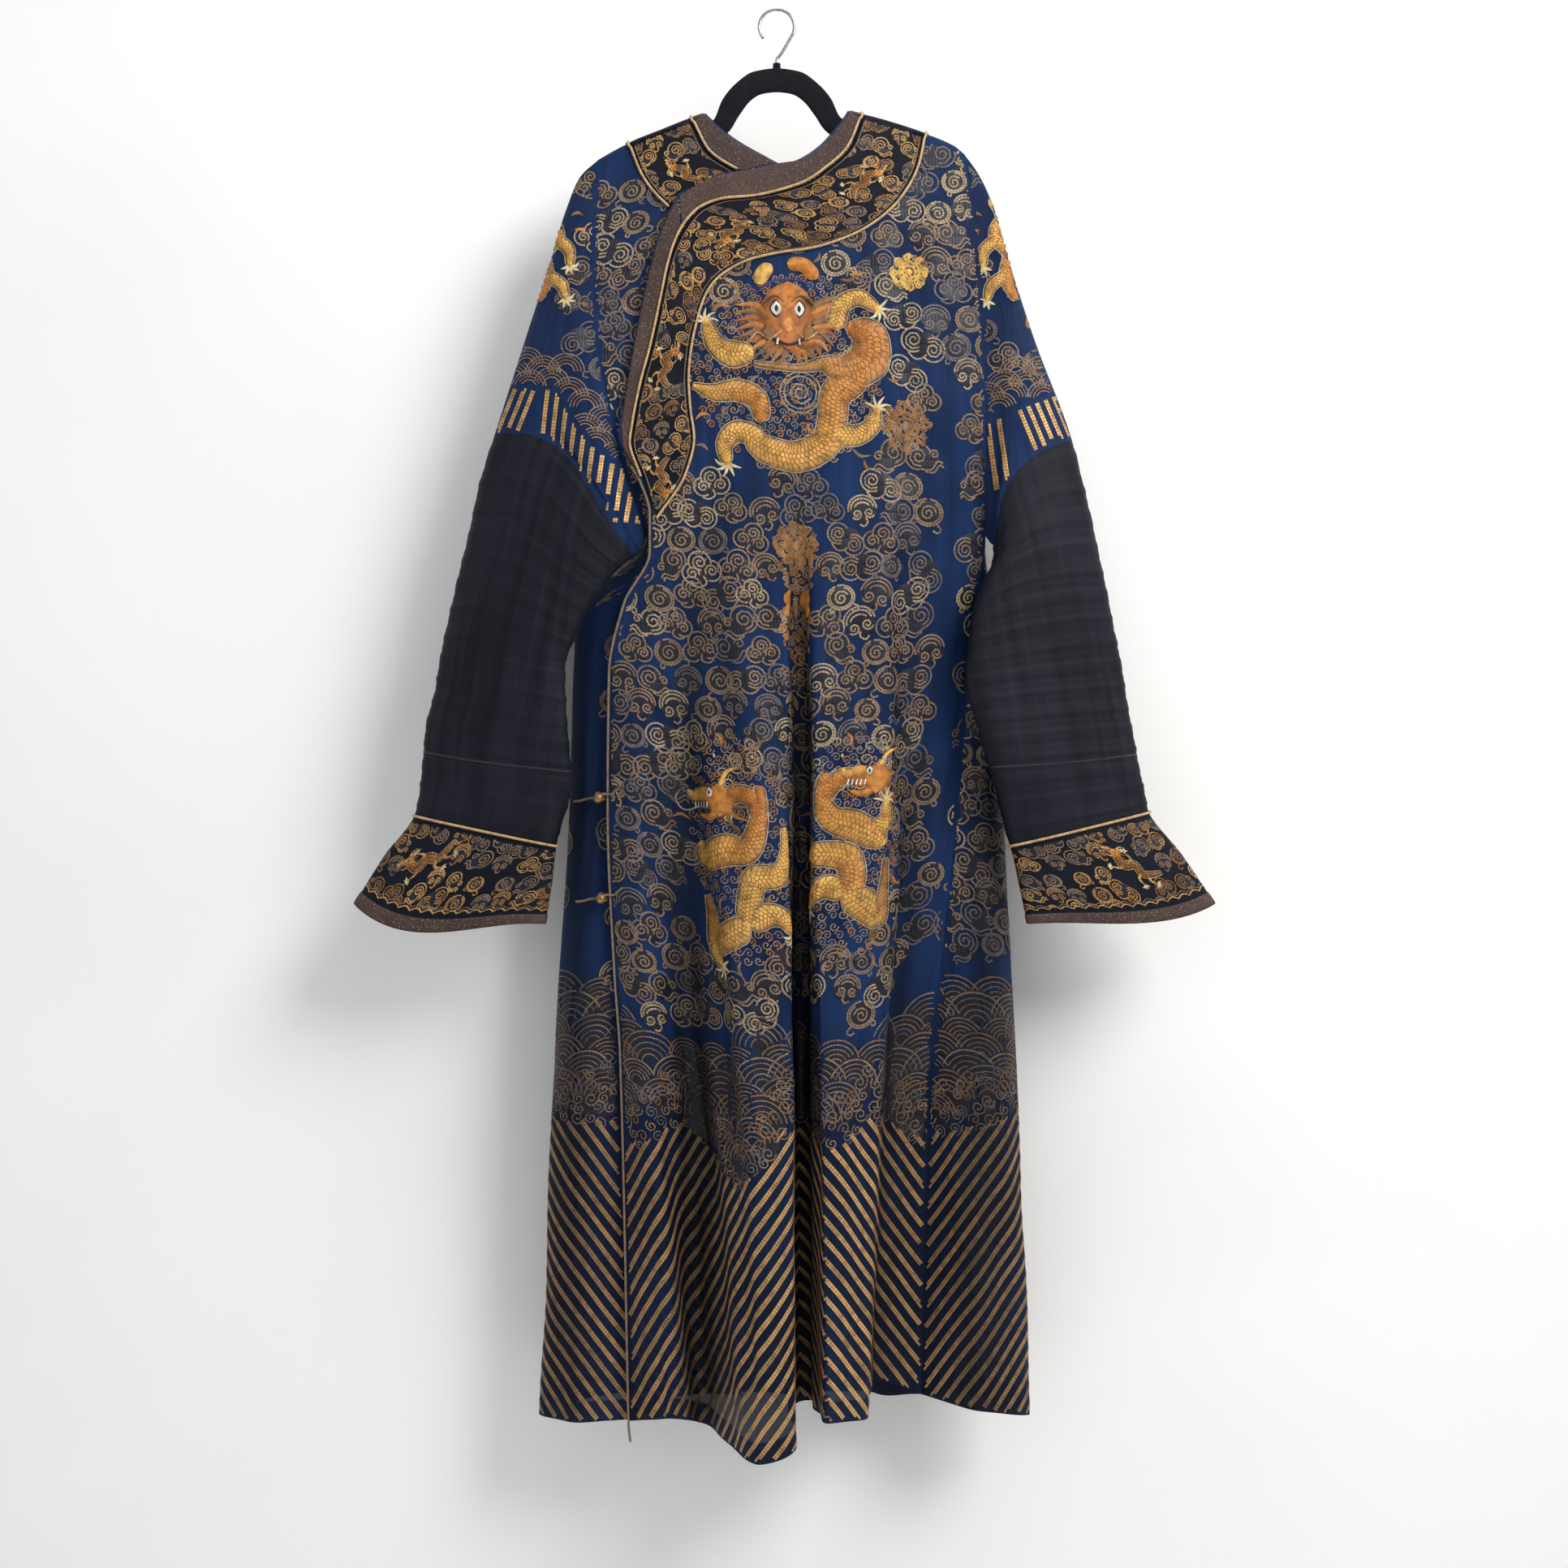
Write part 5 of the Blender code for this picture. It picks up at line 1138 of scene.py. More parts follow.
def arc(cx, cy, radius, start, end, rise=1.0, count=PATH_POINTS):
    """Part of an ellipse about (cx, cy): radius across, rise times that down, in degrees."""
    turn = np.radians(np.linspace(start, end, count))
    return np.stack([cx + radius * np.cos(turn), cy + rise * radius * np.sin(turn)], axis=-1)


def spiral(cx, cy, outer, inner, start, turns, count=PATH_POINTS):
    """A curl about (cx, cy) whose radius falls evenly from outer to inner over its turns."""
    share = np.linspace(0, 1, count)
    turn = math.radians(start) + share * turns * math.tau
    radius = outer + (inner - outer) * share
    return np.stack([cx + radius * np.cos(turn), cy + radius * np.sin(turn)], axis=-1)


def curve(*points, count=PATH_POINTS):
    return smooth_path(np.array(points, float), count)


# Each cloud is a set of curls and arcs, about 40 mm wide.
CLOUDS = (
    (arc(0, 0, 17, -70, 280, 0.9), arc(0, 0, 14, -60, 250, 0.9), spiral(0, 1, 9.5, 1.5, 200, 1.6),
     spiral(12, 15, 5, 1, 180, 1.1), curve((-14, 10), (-20, 14), (-18, 19), (-12, 18))),
    (arc(0, -3, 18, 175, 365, 0.95), arc(0, -3, 14.5, 182, 358, 0.9), spiral(-8, 3, 7, 1, 150, -1.5),
     spiral(8, 3, 7, 1, 30, 1.5), curve((-2, 8), (-4, 14), (1, 19), (6, 16)), arc(0, -3, 10, 200, 340, 0.8)),
    (spiral(-11, -7, 11, 2, 60, 1.9), arc(-11, -7, 14, 70, 330), spiral(10, 8, 11, 2, 240, 1.9),
     arc(10, 8, 14, 250, 510), curve((-20, 5), (-14, 14), (-6, 16), (2, 12))),
    (spiral(-11, 2, 8, 1, 20, -1.6), spiral(11, 2, 8, 1, 160, 1.6), spiral(0, -9, 9, 1.5, 90, 1.7),
     arc(0, -9, 12.5, 150, 390), arc(-11, 2, 11.5, 60, 260), arc(11, 2, 11.5, -80, 120),
     curve((0, 6), (2, 14), (-6, 18), (-14, 15))),
    (spiral(-6, -6, 12, 2, 90, 1.8), arc(-6, -6, 15.5, 100, 350), curve((-8, 9), (4, 13), (14, 6), (20, 10)),
     curve((-4, 13), (6, 17), (15, 11), (19, 15)), spiral(13, -3, 6, 1, 200, 1.3)),
)


def cell_noise(cells, seed):
    """An even scatter of numbers from 0 to 1, one for each pair of whole numbers."""
    value = np.sin(cells[..., 0] * 127.1 + cells[..., 1] * 311.7 + seed * 74.7) * 43758.5453
    return value - np.floor(value)


def scatter(low, high, top, foot, across_step, down_step, seed, wander=0.18):
    """Staggered places filling a rectangle of a cloth, each moved a little at random."""
    i, j = np.meshgrid(np.arange(round((high - low) / across_step) + 1),
                       np.arange(round((foot - top) / down_step) + 1), indexing="ij")
    cells = np.stack([i, j], axis=-1).reshape(-1, 2)
    x = low + (cells[:, 0] + 0.5 * (cells[:, 1] % 2)) * across_step
    y = top + cells[:, 1] * down_step
    x = x + (cell_noise(cells, seed) - 0.5) * 2 * wander * across_step
    y = y + (cell_noise(cells, seed + 1) - 0.5) * 2 * wander * down_step
    return np.stack([x, y], axis=-1), cells


def patches(work, cloth, places, across, down, colour):
    """Ovals of dark ground stitches, across by down (metres), one under the curls at each place."""
    run = np.linspace(-0.98, 0.98, 8)
    line = np.stack([run, np.zeros(len(run))], axis=-1)
    paths = np.asarray(places)[:, None] + line * np.reshape(across, (-1, 1, 1)) / 2
    width = np.sqrt(1 - run**2) * np.reshape(down, (-1, 1))
    work.line(cloth, paths, width, colour, height=0.22 * MM, low=0.14 * MM, lanes=5)


def lay_clouds(work, cloth, places, cells, seed, size=1.0, width=1.7, colours=(TAN, GREY, CREAM, TAN)):
    """One cloud of a scattered kind, turn, size and colour at each place."""
    kinds = (cell_noise(cells, seed + 2) * len(CLOUDS)).astype(int)
    tones = (cell_noise(cells, seed + 3) * len(colours)).astype(int)
    patches(work, cloth, places, CLOUD_WIDE * size * MM, CLOUD_HIGH * size * MM, DARK_GROUND)
    for kind, shape in enumerate(CLOUDS):
        for tone, colour in enumerate(colours):
            mine = (kinds == kind) & (tones == tone)
            if not mine.any():
                continue
            angle = np.radians((cell_noise(cells[mine], seed + 4) - 0.5) * CLOUD_TURN)
            flip = np.where(cell_noise(cells[mine], seed + 5) > 0.5, 1, -1)
            grow = size * (CLOUD_LEAST + CLOUD_SPREAD * cell_noise(cells[mine], seed + 6)) * MM
            c, s = np.cos(angle), np.sin(angle)
            spin = np.stack([np.stack([c, s], -1), np.stack([-s, c], -1)], axis=-2)
            paths = np.array(shape)[None] * np.stack([flip, np.ones(len(flip))], -1)[:, None, None]
            paths = np.einsum("mkni,mij->mknj", paths, spin) * grow[:, None, None, None]
            paths = paths + places[mine][:, None, None]
            work.line(cloth, paths, width * MM, colour, height=LAID, lanes=2)


class Needle:
    """Stitches shapes given in millimetres at one place of a cloth, sized, turned and mirrored."""

    def __init__(self, work, cloth, at, size=1.0, turn=0.0, mirror=1):
        self.work, self.cloth, self.at = work, cloth, at
        self.size, self.turn, self.mirror = size, turn, mirror

    def placed(self, paths):
        """Paths mirrored, turned in degrees, sized and moved to flat metres."""
        paths = np.asarray(paths, float) * [self.mirror, 1] * self.size * MM
        c, s = math.cos(math.radians(self.turn)), math.sin(math.radians(self.turn))
        return paths @ np.array([[c, s], [-s, c]]) + np.asarray(self.at)

    def moved(self, place, size=1.0):
        """A needle at another place, which works at this share of the size."""
        return Needle(self.work, self.cloth, self.placed([place])[0], self.size * size, self.turn, self.mirror)

    def line(self, path, width, colour, **settings):
        self.work.line(self.cloth, path, width, colour, **settings)

    def ribbon(self, points, widths, colour, height=1.4, count=None, lanes=5, edge=None, second=None):
        """A tapered stitched shape along a smooth line; second is its colour at the far end."""
        count, thick = count or max(12, 7 * len(points)), self.size ** 0.5
        path = self.placed(curve(*points, count=count))
        width = np.interp(np.linspace(0, 1, count), np.linspace(0, 1, len(widths)), widths) * self.size * MM
        run = np.r_[0, np.cumsum(np.linalg.norm(np.diff(path, axis=0), axis=1))]
        near = np.clip(np.minimum(run, run[-1] - run) / np.maximum(width * 0.55, 1e-6), 0, 1)
        width = width * np.sqrt(1 - (1 - near) ** 2 * 0.97)
        if edge is not None:
            self.line(path, width + 2.2 * MM * thick, edge, height=0.7 * MM, low=0.3 * MM, lanes=3)
        along = np.linspace(0, 1, count)[:, None, None]
        mixed = np.array(colour) * (1 - along) + np.array(second or colour) * along
        cross = np.linspace(-1, 1, lanes)[None, :, None]
        patch = 0.94 + 0.08 * np.sin(along * 29 + self.at[0] * 90) * np.sin(along * 11 + 2)
        # Painted shade across the crowned ribbon: lighter in the middle, darker towards both edges; patch varies the
        # colour at random along it.
        mixed = mixed * (1 - 0.38 * cross ** 2) * patch
        self.line(path, width, mixed[None], height=height * MM * thick, low=0.25 * MM, lanes=lanes)
        return path, width

    def blob(self, centre, across, down, colour, height=1.6, edge=None):
        """A rounded stitched patch: a ribbon as wide as an ellipse at each height."""
        share = np.linspace(-0.985, 0.985, 15)
        points = [(centre[0], centre[1] + down / 2 * v) for v in share]
        self.ribbon(points, across * np.sqrt(1 - share ** 2), colour, height, count=15, lanes=7, edge=edge)

    def fins(self, path, width, side):
        """Short pointed strokes standing off one side of a laid path, leaning along it."""
        length = FIN_LENGTH * self.size
        run = unit(np.gradient(path, axis=0))
        out = np.stack([-run[:, 1], run[:, 0]], axis=-1) * side
        places = np.arange(2, len(path) - 2, FIN_STEP)
        share = np.linspace(0, 1, 5)[None, :, None]
        start = path[places] + out[places] * width[places, None] * 0.46
        way = unit(out[places] + run[places] * 0.5)
        strokes = start[:, None] + way[:, None] * share * length * MM
        strokes = strokes + run[places][:, None] * share ** 2 * length * MM * 0.5
        taper = np.broadcast_to(FIN_WIDTH * np.array([1, 0.95, 0.8, 0.5, 0.12]), strokes.shape[:2])
        self.line(strokes, taper, CREAM, height=0.7 * MM, lanes=3)

    def scales(self, path, width):
        """Small U-shaped stitches in staggered rows along a laid body."""
        pitch = SCALE_PITCH * self.size
        length = np.r_[0, np.cumsum(np.linalg.norm(np.diff(path, axis=0), axis=1))]
        run = unit(np.gradient(path, axis=0))
        out = np.stack([-run[:, 1], run[:, 0]], axis=-1)
        turn = np.radians(np.linspace(-75, 75, 5))
        for n, lane in enumerate((-0.34, -0.17, 0.0, 0.17, 0.34)):
            at = np.arange(length[0] + pitch * (1 if n % 2 else 0.5), length[-1] - pitch, pitch)
            x, y, rx, ry, ox, oy, wide = (
                np.interp(at, length, column) for column in (*path.T, *run.T, *out.T, width))
            middle = np.stack([x + ox * wide * lane, y + oy * wide * lane], -1)[:, None]
            r = (wide * 0.12)[:, None, None]
            arcs = middle + r * (np.stack([rx, ry], -1)[:, None] * np.cos(turn)[None, :, None]
                                 + np.stack([ox, oy], -1)[:, None] * np.sin(turn)[None, :, None])
            self.line(arcs, 0.8 * MM, SCALE, height=(2.15 - 4.5 * lane ** 2) * MM, lanes=2)

    def claw(self, foot, way, reach, toes=4):
        """A foot: a small pad and curved toes spread about a direction in degrees."""
        self.blob(foot, reach * 0.7, reach * 0.7, YELLOW, 1.3)
        for n in range(toes):
            angle = math.radians(way + TOE_SPREAD * (n - (toes - 1) / 2))
            bend = math.radians(way + (TOE_SPREAD + 14) * (n - (toes - 1) / 2))
            mid = (foot[0] + reach * 0.62 * math.cos(angle), foot[1] + reach * 0.62 * math.sin(angle))
            tip = (mid[0] + reach * 0.62 * math.cos(bend + 0.35), mid[1] + reach * 0.62 * math.sin(bend + 0.35))
            self.ribbon((foot, mid, tip), (4.2, 3.4, 1.2), PALE, 1.2, count=9, lanes=3)

    def body(self, points, widths, start=ORANGE, end=YELLOW, fins=1):
        """A serpent's body or limb: crowned, scaled, edged, with fins on one side."""
        path, width = self.ribbon(points, widths, start, 1.9, 14 * len(points), 7, INK, end)
        self.scales(path, width)
        run = unit(np.gradient(path, axis=0))
        out = np.stack([-run[:, 1], run[:, 0]], axis=-1)
        for way in (-1, 1):
            outer = path + way * out * (width[:, None] / 2 + 1.3 * MM)
            self.line(outer, 1.1 * MM, CREAM, height=0.8 * MM, lanes=2)
        if fins:
            self.fins(path, width, fins * self.mirror)

    def limb(self, points, widths, way, reach=13):
        self.body(points, widths, YELLOW, YELLOW, fins=0)
        self.claw(points[-1], way, reach, toes=5)

    def flames(self, *places):
        """Wisps: bent tapering strokes, each (x, y, direction in degrees, length)."""
        for n, (x, y, way, long) in enumerate(places):
            c, s = math.cos(math.radians(way)), math.sin(math.radians(way))
            mid = (x + c * long * 0.5 - s * long * 0.22, y + s * long * 0.5 + c * long * 0.22)
            self.ribbon(((x, y), mid, (x + c * long, y + s * long)), (1.5, 4.2, 0.6),
                        (BROWN_GOLD, ORANGE, TAN)[n % 3], height=0.9, count=10, lanes=3)

    def eyes(self, places, radius):
        for place in places:
            for share, colour, height in ((2.3, INK, 2.3), (1.9, WHITE, 2.6), (0.95, INK, 2.9)):
                self.blob(place, radius * share, radius * share, colour, height)

    def curls(self, places, colour, width=1.5):
        """Spiral curls, each given as (x, y, radius, start, turns)."""
        paths = [spiral(x, y, r, r * 0.12, start, turns) for x, y, r, start, turns in places]
        self.line(self.placed(paths), width * MM, colour)

    def cluster(self, across, down, colours, step=8.5, seed=3, width=1.7):
        """Small curls filling an ellipse of half axes across and down, closely staggered."""
        places, cells = scatter(-across * MM, across * MM, -down * MM, down * MM,
                                step * MM, step * 0.8 * MM, seed, 0.25)
        inside = (places[:, 0] / across) ** 2 + (places[:, 1] / down) ** 2 < MM ** 2
        kinds = (cell_noise(cells, seed + 2) * len(colours)).astype(int)
        for kind, colour in enumerate(colours):
            mine = inside & (kinds == kind)
            if mine.any():
                curl = spiral(0, 0, step * 0.47, 0.4, 97 * kind, (1.3, -1.5, 1.4)[kind % 3], count=11) * MM
                self.line(np.asarray(self.at) + places[mine][:, None] + curl, width * MM, colour,
                          height=0.6 * MM, lanes=2)


def facing_head(sew):
    """A dragon's head seen from the front: brow, muzzle, jaw with teeth and mane."""
    mane = np.arange(-24, 206, 10)
    for n, angle in enumerate(np.radians(mane)):
        c, s = math.cos(angle), math.sin(angle)
        root, tip = (20 * c, 4 + 24 * s), (42 * c + 5 * (1 if c > 0 else -1), 2 + 42 * s)
        bend = ((root[0] + tip[0]) / 2 + 3, (root[1] + tip[1]) / 2 - 4)
        sew.ribbon((root, bend, tip), (7, 6, 0.8), (BROWN_GOLD, ORANGE, silk(176, 104, 44))[n % 3],
               height=1.0, count=12, lanes=3)
    sew.blob((0, 0), 50, 60, silk(190, 112, 50), height=2.0, edge=INK)
    sew.blob((0, -18), 40, 24, silk(214, 134, 60), height=2.5)
    for way in (-1, 1):
        sew.ribbon(((way * 3, -12), (way * 12, -17), (way * 22, -9)), (3, 4, 1), DARK_GOLD,
               height=2.9, lanes=3)
        sew.blob((way * 17, 14), 13, 15, BROWN_GOLD, height=2.6)
        sew.ribbon(((way * 5, 12), (way * 16, 20), (way * 26, 14), (way * 34, 22)), (1.6, 1.6, 1.4, 0.5),
               PALE, height=2.9, lanes=3)
    sew.blob((0, 8), 17, 14, silk(226, 150, 74), height=3.0)
    sew.eyes(((-10, -6), (10, -6)), 6.8)
    sew.curls(((-6, 10, 4.2, 0, -1.3), (6, 10, 4.2, 180, 1.3), (-17, 16, 5, 40, 1.3), (17, 16, 5, 140, -1.3)),
          silk(224, 176, 110), width=1.9)
    sew.ribbon(((-14, 19), (0, 25), (14, 19)), (3, 8, 3), silk(58, 22, 24), height=2.9, lanes=3)
    teeth = [[(x, 20), (x * 1.08, 25)] for x in (-9, 9)]
    sew.line(sew.placed([curve(*t, count=4) for t in teeth]), 1.6 * MM * sew.size, WHITE, height=3.2 * MM, lanes=2)
    sew.curls(((-13, 33, 6, 200, 1.3), (13, 33, 6, -20, -1.3), (0, 37, 5, 90, 1.2)), CREAM)


def side_head(sew):
    """A dragon's head from the side, muzzle to the left: jaws, eye, horn, mane and whiskers."""
    for n, (dx, dy) in enumerate(((26, -18), (32, -8), (34, 4), (30, 15), (22, 24), (16, -26))):
        sew.ribbon(((8, 0), (dx * 0.6, dy * 0.75), (dx, dy)), (5, 4, 0.6), (BROWN_GOLD, ORANGE)[n % 2],
               height=1.0, count=12, lanes=3)
    sew.blob((4, -2), 32, 28, ORANGE, height=2.2, edge=INK)
    sew.ribbon(((2, -4), (-12, -8), (-24, -6), (-29, -11)), (15, 12, 9, 5), ORANGE,
               height=2.1, edge=INK, second=YELLOW)
    sew.ribbon(((3, 7), (-8, 12), (-20, 10)), (9, 7, 3), ORANGE, height=1.8, edge=INK)
    sew.ribbon(((-3, 3), (-12, 3), (-22, 2)), (5, 4, 1.5), silk(120, 36, 30), height=1.4, lanes=3)
    teeth = [[(x, -1), (x - 1, 4)] for x in range(-22, -5, 4)]
    sew.line(sew.placed([curve(*t, count=4) for t in teeth]), 1.3 * MM * sew.size, WHITE, height=2.6 * MM, lanes=2)
    sew.eyes(((-3, -9),), 4.6)
    sew.curls(((-27, -7, 3, 0, 1.2), (10, 12, 6, 200, 1.3), (14, -16, 6, 90, -1.4)), PALE, width=1.2)
    sew.ribbon(((6, -14), (14, -26), (26, -30)), (5, 4, 1.5), YELLOW, height=1.8, edge=INK)
    sew.ribbon(((-20, 3), (-34, 6), (-40, -4), (-34, -12)), (1.6, 1.4, 1.2, 0.5), PALE, height=1.0, lanes=3)


def rosette(sew, radius, colour, inner):
    """A round flower: looped petals about two rings and a boss, over close curls."""
    sew.cluster(radius, radius, (colour, inner, BROWN_GOLD), 7.5)
    turn = np.linspace(0, 1, PATH_POINTS)
    loops = []
    for n in range(PETALS):
        middle = math.tau * n / PETALS
        open_out = np.sin(math.pi * np.clip(turn * 1.6, 0, 1)) ** 0.5
        lean = middle + (turn - 0.5) * math.tau / PETALS * 1.1 * open_out
        reach = radius * (0.5 + 0.5 * np.sin(math.pi * turn) ** 0.6)
        loops.append(np.stack([reach * np.cos(lean), reach * np.sin(lean)], -1))
    paths = np.array(loops + [arc(0, 0, radius * 0.55, 0, 360), arc(0, 0, radius * 0.34, 0, 360)])
    sew.line(sew.placed(paths), 2.8 * MM, colour, height=1.2 * MM)
    sew.line(sew.placed(np.array(loops) * 0.62), 2.0 * MM, inner, height=1.0 * MM)
    sew.blob((0, 0), radius * 0.42, radius * 0.42, inner, height=1.5)
    ring = [spiral(radius * 0.8 * math.cos(a), radius * 0.8 * math.sin(a), radius * 0.16, 0.5, 60 * a, 1.2)
            for a in np.arange(PETALS) * math.tau / PETALS + 0.4]
    sew.line(sew.placed(ring), 1.3 * MM, CREAM)


def bat(sew):
    """A bat from above: two lobed wings, a furred body and curled feelers."""
    for mirror in (-1, 1):
        sew.mirror = mirror
        sew.blob((11, -6), 17, 22, ORANGE, height=1.9, edge=INK)
        sew.blob((15, 6), 11, 14, silk(222, 150, 66), height=1.7, edge=INK)
        sew.curls(((6, -17, 4, 180, 1.4), (20, 16, 4, 270, 1.3)), CREAM)
        sew.ribbon(((3, 2), (9, 6), (10, 20)), (3, 3, 1), BROWN_GOLD, height=1.5, lanes=3)
    sew.blob((0, 2), 8, 26, BROWN_GOLD, height=2.2, edge=INK)
    sew.eyes(((-2.2, -7), (2.2, -7)), 1.3)


def small_dragon(sew, light):
    """A running dragon: an S of a body, a side head, four clawed legs and a tail."""
    sew.body(((-20, -8), (-8, 4), (8, -6), (22, 4), (38, -4), (50, -14)), (8, 11, 11, 9, 6, 1.5),
         end=light, fins=-1)
    for leg, foot, way in (
        (((-6, 2), (-12, 12), (-22, 16)), (-24, 17), 170), (((0, -2), (2, -14), (-6, -20)), (-8, -22), 240),
        (((20, 4), (18, 16), (26, 22)), (28, 23), 40), (((28, 0), (36, 10), (44, 10)), (46, 10), 0),
    ):
        sew.ribbon(leg, (6, 5, 3), light, height=1.5, edge=INK)
        sew.claw(foot, way, 7)
    side_head(sew.moved((-24, -12), 0.62))
# ---- Embroidery: what lies where --------------------------------------------------------------
WAVE_TOP = ((-260, 1044), (-180, 1050), (-130, 1095), (-60, 1100), (0, 1085), (40, 1090), (90, 1095),
            (130, 1075), (160, 1046), (260, 1046))
WAVE_FOOT = ((-260, 1205), (-180, 1205), (-150, 1225), (-100, 1205), (-70, 1235), (-42, 1262), (-15, 1240),
             (15, 1200), (60, 1225), (100, 1195), (150, 1225), (200, 1215), (260, 1200))
OUTLINE_HALF = 259 * MM   # the two tables above are read no further out than this
WAVE_RINGS = (1.0, 0.82, 0.64, 0.46, 0.28)     # radii of a wave's arcs, as shares of its own
WAVE_COLOURS = (TAN, GREY, WAVE_BROWN)
WAVES_FROM, WAVES_TO = 1036 * MM, 1262 * MM    # rows of waves, below the hook
WAVE_STEP, FOAM_STEP = (44 * MM, 20 * MM), (16 * MM, 12 * MM)     # across and down, from one to the next
WAVE_LEAST, WAVE_SPREAD = 22, 14               # the smallest hill's radius, and how far radii differ
FOAM_DEPTH = 64 * MM      # foam covers this much above the waves' foot
FOAM = ((8.5, 1.5), (7.8, -1.7), (7.1, 1.3), (6.4, -1.4))    # radius and turns of each kind of curl
STRIPES_FROM, STRIPES_TO = 700 * MM, 1570 * MM
FACE_STEP = 2.5 * MM
BAND_MARGIN = 3 * MM      # embroidery stays this far inside a band's edges
LAID = 0.45 * MM          # height of a single couched line
SLEEVE_WORK = 60 * MM     # depth of the stripes above the elbow seam
PLAIN_STRIP = (168, 206)  # across, on the front's near fold, where the cloth is plain
PLAIN_FROM = 395


class Face:
    """A sleeve's upper part seen from before or behind; its flat coordinates are x and drop.

    A regular table of (drop, x) holds the row and column of the sleeve's own table that stand
    there: the nearest sample, moved by Newton's steps until its x and drop are right.
    """

    def __init__(self, cloth, ahead):
        middle = SLEEVE_COLUMNS // 2
        first, last = (middle + 2, SLEEVE_COLUMNS - 3) if ahead else (2, middle - 2)
        foot = float(cloth.row(cloth.reach[ELBOW_SEAM] - 1.5 * MM))
        self.cloth, self.turn = cloth, 1 if ahead else -1
        i, j = (grid.ravel() for grid in np.meshgrid(
            np.linspace(0.5, foot, 90), np.linspace(first, last, 50), indexing="ij"))
        seen = read(cloth.points, i, j)[:, [0, 2]] * [1, -1]
        self.low, self.top = seen.min(axis=0)
        across = np.arange(self.low, seen[:, 0].max() + FACE_STEP, FACE_STEP)
        self.high = self.low + FACE_STEP * len(across)
        down = np.arange(self.top, seen[:, 1].max() + FACE_STEP, FACE_STEP)
        wanted = np.stack(np.meshgrid(across, down), axis=-1)
        near = np.stack([np.argmin(((row[:, None] - seen[None]) ** 2).sum(axis=-1), axis=1) for row in wanted])
        row, column = i[near], j[near]
        by_row, by_column = np.gradient(cloth.points, axis=0), np.gradient(cloth.points, axis=1)
        for _ in range(6):
            miss = wanted - read(cloth.points, row, column)[..., [0, 2]] * [1, -1]
            a, b = (read(slope, row, column)[..., [0, 2]] * [1, -1] for slope in (by_row, by_column))
            size = a[..., 0] * b[..., 1] - a[..., 1] * b[..., 0]
            size = np.where(np.abs(size) < 1e-9, 1e-9, size)
            row = row + np.clip((miss[..., 0] * b[..., 1] - miss[..., 1] * b[..., 0]) / size, -4, 4)
            column = column + np.clip((a[..., 0] * miss[..., 1] - a[..., 1] * miss[..., 0]) / size, -2, 2)
            row, column = np.clip(row, 0, foot), np.clip(column, first, last)
        self.known = np.linalg.norm(miss, axis=-1) < 0.4 * MM
        self.places = np.stack([row, column], axis=-1)

    def lay(self, across, down):
        i, j = (down - self.top) / FACE_STEP, (across - self.low) / FACE_STEP
        rows, columns = self.known.shape
        good = (i >= 0) & (i < rows - 1.01) & (j >= 0) & (j < columns - 1.01)
        a = np.clip(np.floor(i).astype(int), 0, rows - 2)
        b = np.clip(np.floor(j).astype(int), 0, columns - 2)
        good &= self.known[a, b] & self.known[a + 1, b] & self.known[a, b + 1] & self.known[a + 1, b + 1]
        place = read(self.places, i, j)
        row, column = place[..., 0], place[..., 1]
        return read(self.cloth.points, row, column), unit(read(self.cloth.normals, row, column)), good


class Strip:
    """A band's face; its flat coordinates are the distances across it and along it."""

    def __init__(self, points, normals, lines, inward):
        self.points, self.normals, self.turn = points, normals, 1 if inward > 0 else -1
        self.width = np.linalg.norm(lines[:, -1] - lines[:, 0], axis=-1)
        self.along = along_lines(lines)

    def lay(self, across, down):
        row = np.interp(down, self.along, np.arange(len(self.along)))
        width = np.maximum(np.interp(down, self.along, self.width), MM)
        column = (across / width + 0.5) * (self.points.shape[1] - 1)
        good = (np.abs(across) < width / 2 - BAND_MARGIN) & (down > 7 * MM) & (down < self.along[-1] - 2 * MM)
        return read(self.points, row, column), unit(read(self.normals, row, column)), good


def spot(cloth, x, drop):
    """Flat place of what shows at x and at a distance below the hook, in millimetres."""
    return np.array(cloth.find(x * MM, drop * MM))


def clear_of(places, discs):
    """True for places outside every disc, given as (across, down, radius) in flat metres."""
    discs = np.array(discs)
    return (np.linalg.norm(places[:, None] - discs[None, :, :2], axis=-1) > discs[:, 2]).all(axis=1)


def discs_on(cloth, table):
    """Discs (x, drop, radius) in millimetres, moved to the cloth's flat coordinates."""
    return [(*spot(cloth, x, drop), radius * MM) for x, drop, radius in table]


def edge_at(table, points, shift=0.0):
    """A table's distance below the hook at each point's x, moved down by shift millimetres."""
    return outline(table, np.clip(points[..., 0], -OUTLINE_HALF, OUTLINE_HALF)) + shift * MM


def cloud_ground(name, cloth, box, seed, left_out, plain=None):
    """Clouds over a cloth's flat box down to the waves, apart from discs and plain places."""
    thread = bpy.context.scene.robe_thread
    work = Stitches()
    low, high, top, foot = box
    places, cells = scatter(low, high, top, foot, thread.cloud_step, thread.cloud_step * 0.84, seed, 0.11)
    points, _, _ = cloth.lay(places[:, 0], places[:, 1])
    good = places[:, 1] < edge_at(WAVE_TOP, points, -6)
    if left_out:
        good &= clear_of(places, left_out)
    if plain is not None:
        good &= ~plain(points)
    lay_clouds(work, cloth, places[good], cells[good], seed, thread.cloud_size, thread.cloud_line / MM)
    work.make(name, "gold_thread")


